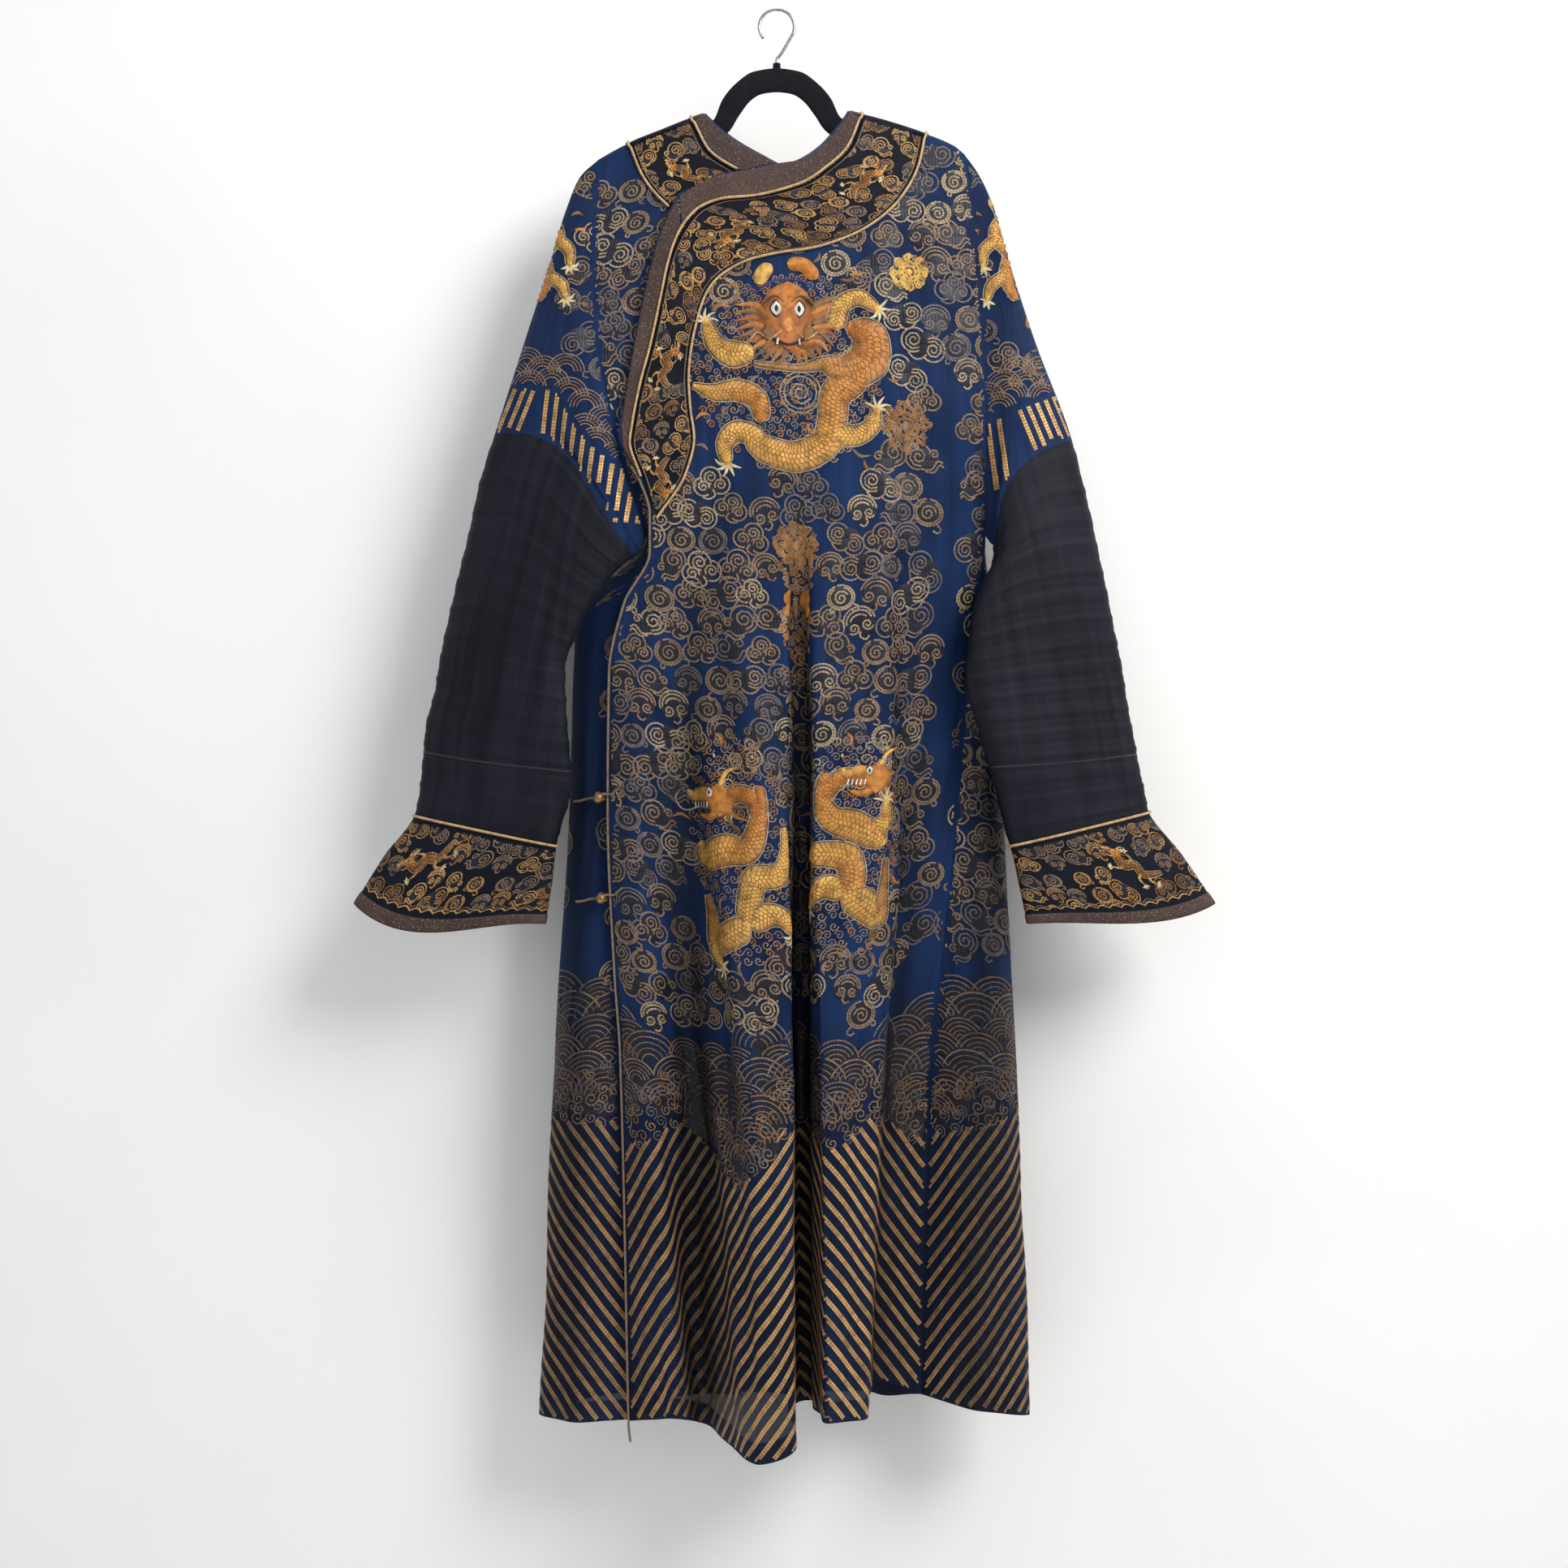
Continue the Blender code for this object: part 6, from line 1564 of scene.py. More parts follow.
def lay_waves(work, cloth, low, high, seed):
    """Rows of half discs of arcs, each row hiding part of the one above, then curls of foam."""
    places, cells = scatter(low, high, WAVES_FROM, WAVES_TO, *WAVE_STEP, seed, 0.14)
    points, _, _ = cloth.lay(places[:, 0], places[:, 1])
    radius = (WAVE_LEAST + WAVE_SPREAD * cell_noise(cells, seed + 3)) * MM
    on = places[:, 1] - radius * 0.75 > edge_at(WAVE_TOP, points)
    on &= places[:, 1] < edge_at(WAVE_FOOT, points, -22)
    patches(work, cloth, places[on], 2.1 * radius[on], 1.5 * radius[on], DARK_GROUND)
    turn = np.radians(np.linspace(182, 358, 13))
    round_it = np.stack([np.cos(turn), np.sin(turn)], axis=-1)
    for row in np.unique(cells[on, 1]):
        mine = on & (cells[:, 1] == row)
        ahead = on & (cells[:, 1] > row) & (cells[:, 1] <= row + 3)

        def shown(across, down, _, discs=np.c_[places[ahead], radius[ahead]]):
            gap = np.hypot(across[..., None] - discs[:, 0], down[..., None] - discs[:, 1]) - discs[:, 2]
            return (gap > 0.5 * MM).all(axis=-1)

        for n, share in enumerate(WAVE_RINGS):
            arcs = places[mine][:, None] + (radius[mine] * share)[:, None, None] * round_it
            work.line(cloth, arcs, (1.4 if n else 1.9) * MM, WAVE_COLOURS[(n + int(row)) % len(WAVE_COLOURS)],
                      height=LAID, lanes=2, keep=shown)
    places, cells = scatter(low, high, WAVES_FROM + 80 * MM, WAVES_TO + 12 * MM, *FOAM_STEP, seed + 9, 0.3)
    points, _, _ = cloth.lay(places[:, 0], places[:, 1])
    at_foot = places[:, 1] - edge_at(WAVE_FOOT, points)
    kinds = (cell_noise(cells, seed + 11) * len(FOAM)).astype(int)
    for kind, (outer, turns) in enumerate(FOAM):
        mine = (at_foot < 0) & (at_foot > -FOAM_DEPTH) & (kinds == kind)
        if mine.any():
            swirl = spiral(0, 0, outer, 1.0, 80 * kind, turns, count=13) * MM
            work.line(cloth, places[mine][:, None] + swirl, 1.5 * MM, WAVE_COLOURS[kind % len(WAVE_COLOURS)],
                      height=LAID * 1.2, lanes=2)


def lay_stripes(work, cloth, low, high, meet, seed=83):
    """Slanting stripes from the waves to the hem: down = start + rise |across|, or rise across.

    meet tells whether they come together at the cloth's middle.
    """
    thread = bpy.context.scene.robe_thread
    across = np.arange(low, high, 4 * MM)
    start = np.arange(STRIPES_FROM, STRIPES_TO, thread.stripe_pitch / math.cos(thread.stripe_angle))
    down = start[:, None] + math.tan(thread.stripe_angle) * (np.abs(across) if meet else across)
    wave = 1.2 * MM * np.sin(across * 31 + seed) + 1.0 * MM * drift(across[None], start[:, None], seed, 0.15)
    path = np.stack(np.broadcast_arrays(across, down + wave), axis=-1)
    tone = cell_noise(np.stack([np.arange(len(start)), np.full(len(start), 3)], -1), seed)[:, None, None, None]
    fade = 0.5 + 0.5 * np.sin(across * 9 + seed)[None, :, None, None]
    colour = np.array(STRIPE_GOLD) * (0.4 + 0.6 * fade) + np.array(STRIPE_TAN) * (0.6 - 0.6 * fade)
    colour = colour * (0.82 + 0.34 * tone) * np.array([1.0, 0.9, 1.0])[None, None, :, None]

    def below(_, flat_down, points):
        return flat_down > edge_at(WAVE_FOOT, points, -7)

    work.line(cloth, path, thread.stripe_width, np.broadcast_to(colour, (*path.shape[:2], 3, 3)),
              height=0.7 * MM, low=0.4 * MM, keep=below)


# ---- The dragons --------------------------------------------------------------------------------
def great_dragon(name, cloth, place):
    """The coiled dragon that faces forward, holding the spiral pearl."""
    work = Stitches()
    sew = Needle(work, cloth, spot(cloth, *place))
    sew.moved((0, 12)).cluster(102, 108, (TAN, GREY, BROWN_GOLD), 10.5, 7, 1.5)
    sew.flames((-48, -72, 200, 20), (-58, -55, 170, 22), (-50, -28, 190, 18), (58, -86, -20, 22),
               (68, -98, 10, 20), (-30, 18, 130, 16), (-62, 50, 120, 18), (20, 68, 60, 16),
               (66, 96, 20, 22), (78, 108, 50, 16), (-84, 60, 160, 18), (-88, 98, 200, 15),
               (106, 20, 0, 16), (104, 60, 30, 16), (-100, 6, 200, 16), (30, -104, -60, 14))
    sew.body(((-36, 5), (-10, 9), (14, 10), (38, 6), (62, 12), (86, 2), (88, -24), (66, -36)),
             (4, 5, 6, 14, 36, 44, 38, 16), silk(196, 156, 100), ORANGE, fins=-1)
    sew.body(((84, 8), (66, 24), (50, 40), (46, 66), (38, 90), (8, 105), (-24, 98), (-46, 84)),
             (30, 34, 31, 29, 31, 32, 28, 18))
    sew.body(((-28, 68), (-34, 44), (-54, 34), (-78, 36), (-102, 28)), (14, 22, 22, 17, 4), fins=-1)
    sew.limb(((-36, -8), (-58, -5), (-76, -16), (-86, -40)), (20, 27, 19, 11), 262)
    sew.limb(((52, -34), (60, -58), (78, -66), (98, -54)), (20, 18, 16, 9), 35)
    sew.limb(((-30, 86), (-56, 78), (-70, 92), (-68, 112)), (22, 21, 17, 10), 100)
    sew.limb(((48, 82), (72, 82), (88, 72), (95, 54)), (24, 20, 16, 9), 290)
    ring = sew.placed([arc(13, 36, 22, 0, 360), arc(13, 36, 17.5, 0, 360)])
    sew.line(ring, 1.6 * MM, CREAM, height=0.8 * MM)
    sew.curls(((13, 36, 13, 30, 2.1), (-2, 24, 3.5, 0, 1.2), (28, 50, 3.5, 180, 1.2)), CREAM, width=2.0)
    for horn, colour in ((((-29, -80), (-24, -92), (-15, -102)), YELLOW),
                         (((2, -103), (20, -101), (34, -86)), ORANGE)):
        sew.ribbon(horn, (15, 17, 15), colour, height=1.8, edge=INK)
    sew.ribbon(((-34, -70), (-12, -84), (16, -84), (38, -70)), (2, 4, 4, 2), silk(28, 52, 110), height=0.9)
    facing_head(sew.moved((2, -46), 1.25))
    work.make(name, "satin_thread")


def skirt_dragon(sew, kind):
    """A dragon rising in a long S, its head turned to the side."""
    sew.moved((0, 10)).cluster(62, 122, (TAN, BROWN_GOLD, GREY), 11.5, 17 + kind, 1.5)
    sew.flames((-60, 20, 160, 18), (-58, -20, 190, 20), (48, -60, -60, 20), (34, -92, -80, 18),
               (-6, -98, 250, 16), (-20, 60, 120, 20), (28, 60, 60, 16), (56, 40, 20, 18),
               (-10, 128, 90, 16), (40, 122, 60, 16))
    if kind:
        sew.body(((-30, -70), (-31, -42), (-20, -22), (4, -14), (26, -4), (40, 6)), (12, 16, 25, 32, 28, 18))
        sew.body(((16, -60), (-6, -66), (-24, -56), (-29, -40)), (15, 17, 19, 18), end=ORANGE, fins=0)
        sew.body(((-46, 18), (-20, 16), (2, 22), (8, 46), (-2, 58)), (20, 26, 29, 27, 20), YELLOW, ORANGE, fins=-1)
        sew.body(((2, 56), (24, 70), (40, 80), (44, 56), (44, 20)), (28, 33, 25, 11, 5), YELLOW, BROWN_GOLD)
        sew.limb(((2, 58), (-16, 50), (-32, 58), (-42, 74)), (24, 23, 19, 10), 110)
        sew.limb(((22, -4), (40, -22), (38, -40)), (20, 17, 10), 270)
        side_head(sew.moved((20, -62), 1.15))
    else:
        sew.body(((34, -56), (30, -22), (14, 10), (-14, 12), (-42, 18), (-52, 4)), (9, 16, 26, 32, 28, 11))
        sew.body(((-12, -40), (10, -48), (28, -40), (28, -20)), (15, 17, 19, 18), end=ORANGE, fins=0)
        sew.body(((56, -12), (54, 18), (42, 38), (18, 42), (8, 62), (2, 90)), (7, 14, 22, 26, 27, 26), YELLOW)
        sew.body(((4, 90), (-20, 102), (-44, 110), (-46, 84), (-50, 60)), (25, 29, 26, 17, 6),
                 YELLOW, BROWN_GOLD, fins=-1)
        sew.limb(((4, 90), (26, 80), (42, 84), (52, 100)), (24, 23, 19, 10), 70)
        sew.limb(((-44, 108), (-48, 122), (-40, 134)), (19, 16, 10), 60)
        side_head(sew.moved((-20, -38), 1.25))
    sew.curls(((-40, -80, 8, 0, 1.5), (12, -84, 9, 180, -1.6), (30, -100, 7, 90, 1.4), (-8, -70, 6, 0, -1.3)), CREAM)
    sew.eyes(((-14, -88), (30, -86)), 2.2)


# Discs left free of the ground's clouds: (x, drop, radius).
CHEST_FREE = ((11, 336, 62), (-60, 372, 42), (85, 370, 44), (13, 425, 60), (72, 440, 42), (-58, 440, 40),
              (-48, 478, 44), (60, 478, 40), (11, 300, 40))
SKIRT_FREE = ((-48, 870, 62), (-43, 930, 62), (-43, 985, 62), (72, 860, 56), (75, 920, 60), (72, 960, 52))
FLOWERS = ((142, 285, 26), (138, 459, 34), (20, 581, 32), (20, 620, 30), (20, 656, 34), (20, 690, 30))
# The back carries the same scheme about its own middle, at x = 4.
BACK_CHEST, BACK_LEFT, BACK_RIGHT = (-4, 392), (-62, 925), (66, 925)


def make_clouds():
    front, back, under = cloths["front"], cloths["back"], cloths["under"]

    def plain_front(points):
        x, drop = points[..., 0] / MM, -points[..., 2] / MM
        return (x > PLAIN_STRIP[0]) & (x < PLAIN_STRIP[1]) & (drop > PLAIN_FROM) & (points[..., 1] > -0.2)

    def plain_under(points):
        return (points[..., 0] < -0.176) & (points[..., 2] < -0.6)

    left_out = discs_on(front, CHEST_FREE + SKIRT_FREE + FLOWERS)
    cloud_ground("clouds_front", front, (-0.37, 0.285, 0.16, 1.12), 21, left_out, plain_front)
    dx, dy = BACK_CHEST
    turned = [(dx - (x - 11), dy + drop - 383, radius) for x, drop, radius in CHEST_FREE + FLOWERS[:2]]
    turned += [(x, drop + n, 62) for x, drop in (BACK_LEFT, BACK_RIGHT) for n in (-50, 0, 50)]
    left_out = discs_on(back, turned)

    def plain_wrap(points):
        return (points[..., 0] < -0.15) & (points[..., 1] < 0.012) & (points[..., 2] < -0.6)

    cloud_ground("clouds_back", back, (-0.43, 0.41, 0.12, 1.12), 33, left_out, plain_wrap)
    cloud_ground("clouds_under", under, (-0.11, 0.12, 0.2, 1.1), 45, None, plain_under)
    for side, way in SIDES:
        work = Stitches()
        for ahead in (True, False):
            face = faces[side, ahead]
            places, cells = scatter(face.low - 0.02, face.high + 0.02, face.top - 0.01, 0.6,
                                    38 * MM, 34 * MM, 51 + ahead)
            good = places[:, 1] < elbow_drop(side, places[:, 0]) - SLEEVE_WORK - 36 * MM
            good &= clear_of(places, [(x * MM * way, drop * MM, r * MM) for x, drop, r in SHOULDER_FREE])
            lay_clouds(work, face, places[good], cells[good], 57, size=0.82)
        work.make(f"clouds_{side}_sleeve", "gold_thread")


# ---- Sleeves: seam line at the elbow and the shoulders' dragons -----------------------------------
ELBOW_LINES = {
    "right": ((-305, 466), (-240, 474), (-206, 524), (-129, 583)),
    "left": ((205, 520), (233, 503), (308, 473)),
}
SIDES = (("right", -1), ("left", 1))           # and the sign of x there
SHOULDER_FREE = ((232, 225, 26), (246, 262, 26), (252, 300, 30), (254, 336, 28))
SHOULDER_DRAGON = (0.236, 0.205)               # its place on the left sleeve
SLEEVE_HILL = 20 * MM                          # radius of a wave on the sleeve
SLEEVE_STRIPE, SLEEVE_STRIPE_STEP = 5.0 * MM, 11.3 * MM     # width, and from one to the next
SEAM_ABOVE_CUFF = 72 * MM                      # where the lower sleeve is pieced
faces = {}


def elbow_drop(side, x):
    """Distance below the hook of a sleeve's elbow seam at x."""
    line = ELBOW_LINES[side]
    return outline(line, np.clip(x, line[0][0] * MM, line[-1][0] * MM))


def cut_faces():
    for side in SLEEVES:
        for ahead in (True, False):
            faces[side, ahead] = Face(cloths[side], ahead)


def make_sleeve_work():
    """Waves and stripes above each elbow, a dragon over each shoulder, the piecing seam."""
    for side, way in SIDES:
        waves, stripes, dragon = Stitches(), Stitches(), Stitches()

        def in_waves(x, drop, _):
            return elbow_drop(side, x) - drop > SLEEVE_WORK

        def in_stripes(x, drop, _):
            above = elbow_drop(side, x) - drop
            return (above < SLEEVE_WORK - 2 * MM) & (above > -30 * MM)

        for ahead in (True, False):
            face = faces[side, ahead]
            places, _ = scatter(face.low, face.high, 0.36, 0.56, 34 * MM, 13 * MM, 61, 0.15)
            above = elbow_drop(side, places[:, 0]) - places[:, 1]
            on = (above > SLEEVE_WORK - 8 * MM) & (above < SLEEVE_WORK + 34 * MM)
            turn = np.radians(np.linspace(182, 358, 11))
            for n, share in enumerate(WAVE_RINGS[:4]):
                arcs = places[on][:, None] + SLEEVE_HILL * share * np.stack([np.cos(turn), np.sin(turn)], axis=-1)
                waves.line(face, arcs, 1.5 * MM, (TAN, GREY, BROWN_GOLD)[n % 3], height=LAID, lanes=2, keep=in_waves)
            x = np.arange(face.low - 0.05, face.high + 0.05, SLEEVE_STRIPE_STEP)
            t = np.linspace(-0.005, 0.16, 40)
            lean = np.where(np.abs(x) > 0.243, 0.42, 0.12) * way
            path = np.stack([x[:, None] + t * lean[:, None], 0.40 + np.broadcast_to(t, (len(x), len(t)))], axis=-1)
            tone = (0.8 + 0.35 * cell_noise(np.stack([np.arange(len(x)), np.ones(len(x))], -1), 5))[:, None]
            stripes.line(face, path, SLEEVE_STRIPE, np.array(STRIPE_GOLD) * tone, height=0.7 * MM, low=0.4 * MM,
                         keep=in_stripes)
            sew = Needle(dragon, face, (way * SHOULDER_DRAGON[0], SHOULDER_DRAGON[1]), mirror=way)
            sew.body(((-4, 0), (8, 20), (2, 42), (16, 62), (12, 88), (22, 112)), (10, 15, 17, 17, 15, 8),
                     YELLOW, ORANGE)
            sew.limb(((4, 44), (-12, 58), (-14, 76)), (12, 11, 6), 100, 9)
            sew.limb(((14, 84), (-4, 96), (-10, 112)), (12, 11, 6), 110, 9)
            sew.flames((-14, 20, 180, 14), (-18, 36, 160, 14), (30, 60, 20, 14), (-22, 118, 160, 14),
                       (34, 130, 60, 16))
        waves.make(f"waves_{side}_sleeve", "gold_thread")
        stripes.make(f"stripes_{side}_sleeve", "gold_thread")
        dragon.make(f"shoulder_dragon_{side}", "satin_thread")
        cloth, seam = cloths[side], Stitches()
        reach = cloth.reach[CUFF_SEAM] - SEAM_ABOVE_CUFF
        half = cloth.across[round(float(cloth.row(reach)))]
        across = np.linspace(half[0] + MM, half[-1] - MM, 160)
        wander = reach + 2 * MM * np.sin(across * 20)
        seam.line(cloth, np.stack([across, wander], -1), 2.2 * MM, silk(30, 31, 42), height=0.5 * MM, low=0.05 * MM)
        seam.line(cloth, np.stack([across, wander + 4 * MM], -1), 0.7 * MM, silk(14, 15, 22), height=0.35 * MM, lanes=2)
        seam.make(f"piecing_seam_{side}_sleeve", "satin_thread")


def make_waves():
    for name, low, high, seed in (("front", -0.37, 0.285, 71), ("back", -0.43, 0.41, 75), ("under", -0.11, 0.12, 79)):
        work = Stitches()
        lay_waves(work, cloths[name], low, high, seed)
        work.make(f"waves_{name}", "gold_thread")


def make_stripes():
    for name, cloth, low, high, meet in (("overlap_and_left_front", "front", -0.376, 0.286, True),
                                         ("back", "back", -0.434, 0.412, True),
                                         ("underlap", "under", -0.116, 0.121, False)):
        work = Stitches()
        lay_stripes(work, cloths[cloth], low, high, meet)
        work.make(f"stripes_{name}", "gold_thread")


def make_dragons():
    front, back = cloths["front"], cloths["back"]
    great_dragon("chest_dragon", front, (11, 383))
    great_dragon("back_dragon", back, BACK_CHEST)
    for name, cloth, places in (("front", front, ((-43, 896), (75, 893))), ("back", back, (BACK_RIGHT, BACK_LEFT))):
        work = Stitches()
        for kind, place in enumerate(places):
            skirt_dragon(Needle(work, cloth, spot(cloth, *place)), kind)
        work.make(f"skirt_dragons_{name}", "satin_thread")
    work, soft_gold = Stitches(), silk(176, 122, 66)
    for cloth, way, shift in ((front, 1, 0), (back, -1, 8)):
        def at(x, drop):
            return Needle(work, cloth, spot(cloth, way * x + shift, drop))

        rosette(at(142, 285), 20, silk(214, 170, 84), YELLOW)
        rosette(at(138, 459), 27, BROWN_GOLD, TAN)
        rosette(at(20, 581), 25, BROWN_GOLD, soft_gold)
        at(20, 606).cluster(22, 44, (BROWN_GOLD, TAN, BROWN_GOLD), 8, 5, 1.9)
        at(20, 672).cluster(26, 34, (BROWN_GOLD, soft_gold, TAN), 8, 6, 1.9)
        bat(at(20, 646))
        for n, (x, drop, radius) in enumerate(((14, 690, 9), (26, 700, 8), (10, 716, 7), (24, 728, 8), (16, 746, 6))):
            at(x, drop).curls(((0, 0, radius, 70 * n, 1.5),), (BROWN_GOLD, ORANGE)[n % 2], 2.2)
    work.make("rosettes_and_bats", "satin_thread")


def make_trim_work():
    """Curls and running dragons on the yoke's bands and the cuffs, and the cuffs' scallops."""
    gold = (BROWN_GOLD, silk(186, 136, 74), TAN, silk(206, 158, 92))
    for name, runners in (("yoke_band_face", ((0.075, 1), (0.235, -1), (0.40, 1), (0.53, -1))),
                          ("yoke_band_underlap_face", ((0.06, 1),)),
                          ("yoke_band_back_face", ((0.075, 1), (0.225, -1), (0.375, 1)))):
        strip, work = strips[name], Stitches()
        length = strip.along[-1]
        places, cells = scatter(-0.036, 0.036, 0.012, length, 23 * MM, 20 * MM, 91)
        keep = clear_of(places, [(0, along, 20 * MM) for along, _ in runners])
        lay_clouds(work, strip, places[keep], cells[keep], 92, 0.5, 1.35, gold)
        for along, mirror in runners:
            small_dragon(Needle(work, strip, (-0.002, along), 0.56, 90, mirror), silk(222, 160, 80))
        for side in (-1, 1):
            d = np.linspace(0.01, length - 0.012, 240)
            edge = side * (np.interp(d, strip.along, strip.width) / 2 - 4.5 * MM)
            work.line(strip, np.stack([edge, d], -1), 1.1 * MM, TAN, height=0.5 * MM, lanes=2)
        work.make(name.replace("_face", "_work"), "gold_thread")
    for side, way in SIDES:
        cloth, work = cloths[side], Stitches()
        top, end = cloth.reach[CUFF_SEAM] + 9 * MM, cloth.reach[CUFF_END] - CUFF_BAND
        half = cloth.across[round(float(cloth.row(end)))]
        low, high = half[0] + 5 * MM, half[-1] - 5 * MM

        def on_cuff(_, down, __):
            return (down > top) & (down < end - 6 * MM)

        work.keep = on_cuff
        runners = [spot(cloth, way * 378, 925)]
        runners.append(np.array([-runners[0][0], runners[0][1]]))
        places, cells = scatter(low, high, top + 4 * MM, end - 6 * MM, 24 * MM, 20 * MM, 95)
        keep = clear_of(places, [(*place, 24 * MM) for place in runners])
        lay_clouds(work, cloth, places[keep], cells[keep], 96, 0.5, 1.35, gold)
        for place, turn, mirror in zip(runners, (-40, 40), (-way, way)):
            small_dragon(Needle(work, cloth, place, 0.6, turn, mirror), silk(230, 176, 92))
        work.keep = None
        across = np.linspace(low, high, 420)
        scallop = end - 4 * MM - 3 * MM * np.abs(np.sin(across / (13 * MM) * math.pi))
        work.line(cloth, np.stack([across, scallop], -1), 1.5 * MM, STRIPE_GOLD, height=0.8 * MM)
        work.line(cloth, np.stack([across, scallop - 3 * MM], -1), 0.9 * MM, TAN, height=0.5 * MM, lanes=2)
        work.make(f"cuff_work_{side}", "gold_thread")




# ---- Materials -----------------------------------------------------------------------------
finishes = {}
DEEP_SHARE = 0.38         # the gauze's darker blue, as a share of its lighter one
FOOT_SHARE = 0.42         # the skirt's foot keeps this share of its colour
FOOT_BAND = (-1.24, -1.04)    # heights between which that shade sets in


class Nodes:
    """Short ways to add and join the nodes of one tree."""

    def __init__(self, tree):
        self.tree = tree

    def add(self, kind, links=None, **settings):
        node = self.tree.nodes.new(kind)
        for key, value in settings.items():
            setattr(node, key, value)
        for key, value in (links or {}).items():
            self.give(node.inputs[key], value)
        return node

    def give(self, socket, value):
        """Joins another node's output to a socket, or sets the socket to a plain value."""
        if isinstance(value, bpy.types.NodeSocket):
            self.tree.links.new(value, socket)
        else:
            socket.default_value = value

    def math(self, operation, *values):
        return self.add("ShaderNodeMath", dict(enumerate(values)), operation=operation).outputs[0]

    def mix(self, factor, one, two, blend="MIX"):
        node = self.add("ShaderNodeMix", data_type="RGBA", blend_type=blend)
        self.give(node.inputs[0], factor)
        for key, value in ((6, one), (7, two)):
            self.give(node.inputs[key], value if isinstance(value, bpy.types.NodeSocket) else (*value[:3], 1))
        return node.outputs[2]

    def ramp(self, value, low, high, start=0.0, end=1.0):
        node = self.add("ShaderNodeMapRange", {0: value, 1: low, 2: high, 3: start, 4: end},
                        interpolation_type="SMOOTHSTEP")
        return node.outputs[0]

    def noise(self, vector, scale, detail):
        return self.add("ShaderNodeTexNoise", {"Vector": vector, "Scale": scale, "Detail": detail}).outputs[0]

    def split(self, vector):
        return self.add("ShaderNodeSeparateXYZ", {0: vector}).outputs

    def times(self, one, two):
        """Two colours or numbers multiplied channel by channel."""
        return self.add("ShaderNodeVectorMath", {0: one, 1: two}, operation="MULTIPLY").outputs[0]

    def thread(self):
        """The piece's colour attribute at each point: its own colour, times the painted shade of a cloth's hollows
        where it has one.
        """
        return self.add("ShaderNodeAttribute", attribute_name="thread").outputs["Color"]


def new_group(name, inputs, outputs):
    group = bpy.data.node_groups.new(name, "ShaderNodeTree")
    for label, kind, value in inputs:
        socket = group.interface.new_socket(label, in_out="INPUT", socket_type=kind)
        if value is not None:
            socket.default_value = value
    for label, kind in outputs:
        group.interface.new_socket(label, in_out="OUTPUT", socket_type=kind)
    nodes = Nodes(group)
    start = nodes.add("NodeGroupInput").outputs
    end = nodes.add("NodeGroupOutput").inputs
    return nodes, start, end


def build_weave():
    """Plain weave: warp and weft as sine waves across the cloth's own coordinates, crossing."""
    nodes, given, out = new_group("fine_weave", (
        ("Flat", "NodeSocketVector", None), ("Threads", "NodeSocketFloat", 120.0),
        ("Slub", "NodeSocketFloat", 0.3)), (("Height", "NodeSocketFloat"), ("Gap", "NodeSocketFloat")))
    split = nodes.split(given["Flat"])
    uneven = nodes.noise(given["Flat"], 14.0, 2.0)
    shift = nodes.math("MULTIPLY", uneven, given["Slub"])
    waves = []
    for axis in (0, 1):
        turn = nodes.math("MULTIPLY", nodes.math("ADD", split[axis], nodes.math("MULTIPLY", shift, 0.02)),
                          nodes.math("MULTIPLY", given["Threads"], math.tau))
        waves.append(nodes.math("MULTIPLY_ADD", nodes.math("COSINE", turn), 0.5, 0.5))
    nodes.tree.links.new(nodes.math("MAXIMUM", *waves), out["Height"])
    nodes.tree.links.new(nodes.math("MULTIPLY", nodes.math("SUBTRACT", 1.0, waves[0]),
                                    nodes.math("SUBTRACT", 1.0, waves[1])), out["Gap"])


def build_dye():
    """Uneven dye: slow clouds of lighter and darker cloth, fine streaks along the warp."""
    nodes, given, out = new_group("uneven_dye", (
        ("Flat", "NodeSocketVector", None), ("Dark", "NodeSocketColor", None),
        ("Light", "NodeSocketColor", None), ("Streak", "NodeSocketFloat", 0.35)), (("Color", "NodeSocketColor"),))
    cloud = nodes.noise(given["Flat"], 0.55, 3.0)
    long_way = nodes.add("ShaderNodeMapping", {"Vector": given["Flat"], "Scale": (9.0, 0.35, 1.0)}).outputs[0]
    streak = nodes.noise(long_way, 1.0, 2.0)
    blend = nodes.mix(given["Streak"], cloud, streak)
    blend = nodes.ramp(blend, 0.32, 0.68)
    nodes.tree.links.new(nodes.mix(blend, given["Dark"], given["Light"]), out["Color"])


def build_laid_thread():
    """Threads side by side across a ribbon: V of its map counts them, U runs along them."""
    nodes, given, out = new_group("laid_thread", (
        ("Flat", "NodeSocketVector", None), ("Threads", "NodeSocketFloat", 3.0),
        ("Couching", "NodeSocketFloat", 26.0)), (("Height", "NodeSocketFloat"), ("Shade", "NodeSocketFloat")))
    split = nodes.split(given["Flat"])
    rows = nodes.math("SINE", nodes.math("MULTIPLY", split[1], nodes.math("MULTIPLY", given["Threads"], math.pi)))
    rows = nodes.math("ABSOLUTE", rows)
    ties = nodes.math("SINE", nodes.math("MULTIPLY", split[0], nodes.math("MULTIPLY", given["Couching"], math.tau)))
    ties = nodes.ramp(ties, 0.2, 0.9, 0.0, 0.7)
    height = nodes.math("SUBTRACT", nodes.math("POWER", rows, 0.7), ties)
    wear = nodes.noise(nodes.add("ShaderNodeTexCoord").outputs["Object"], 130.0, 3.0)
    nodes.tree.links.new(height, out["Height"])
    shade = nodes.math("MULTIPLY", nodes.ramp(height, 0.0, 0.8, 0.42, 1.0), nodes.ramp(wear, 0.3, 0.62, 0.62, 1.12))
    nodes.tree.links.new(shade, out["Shade"])


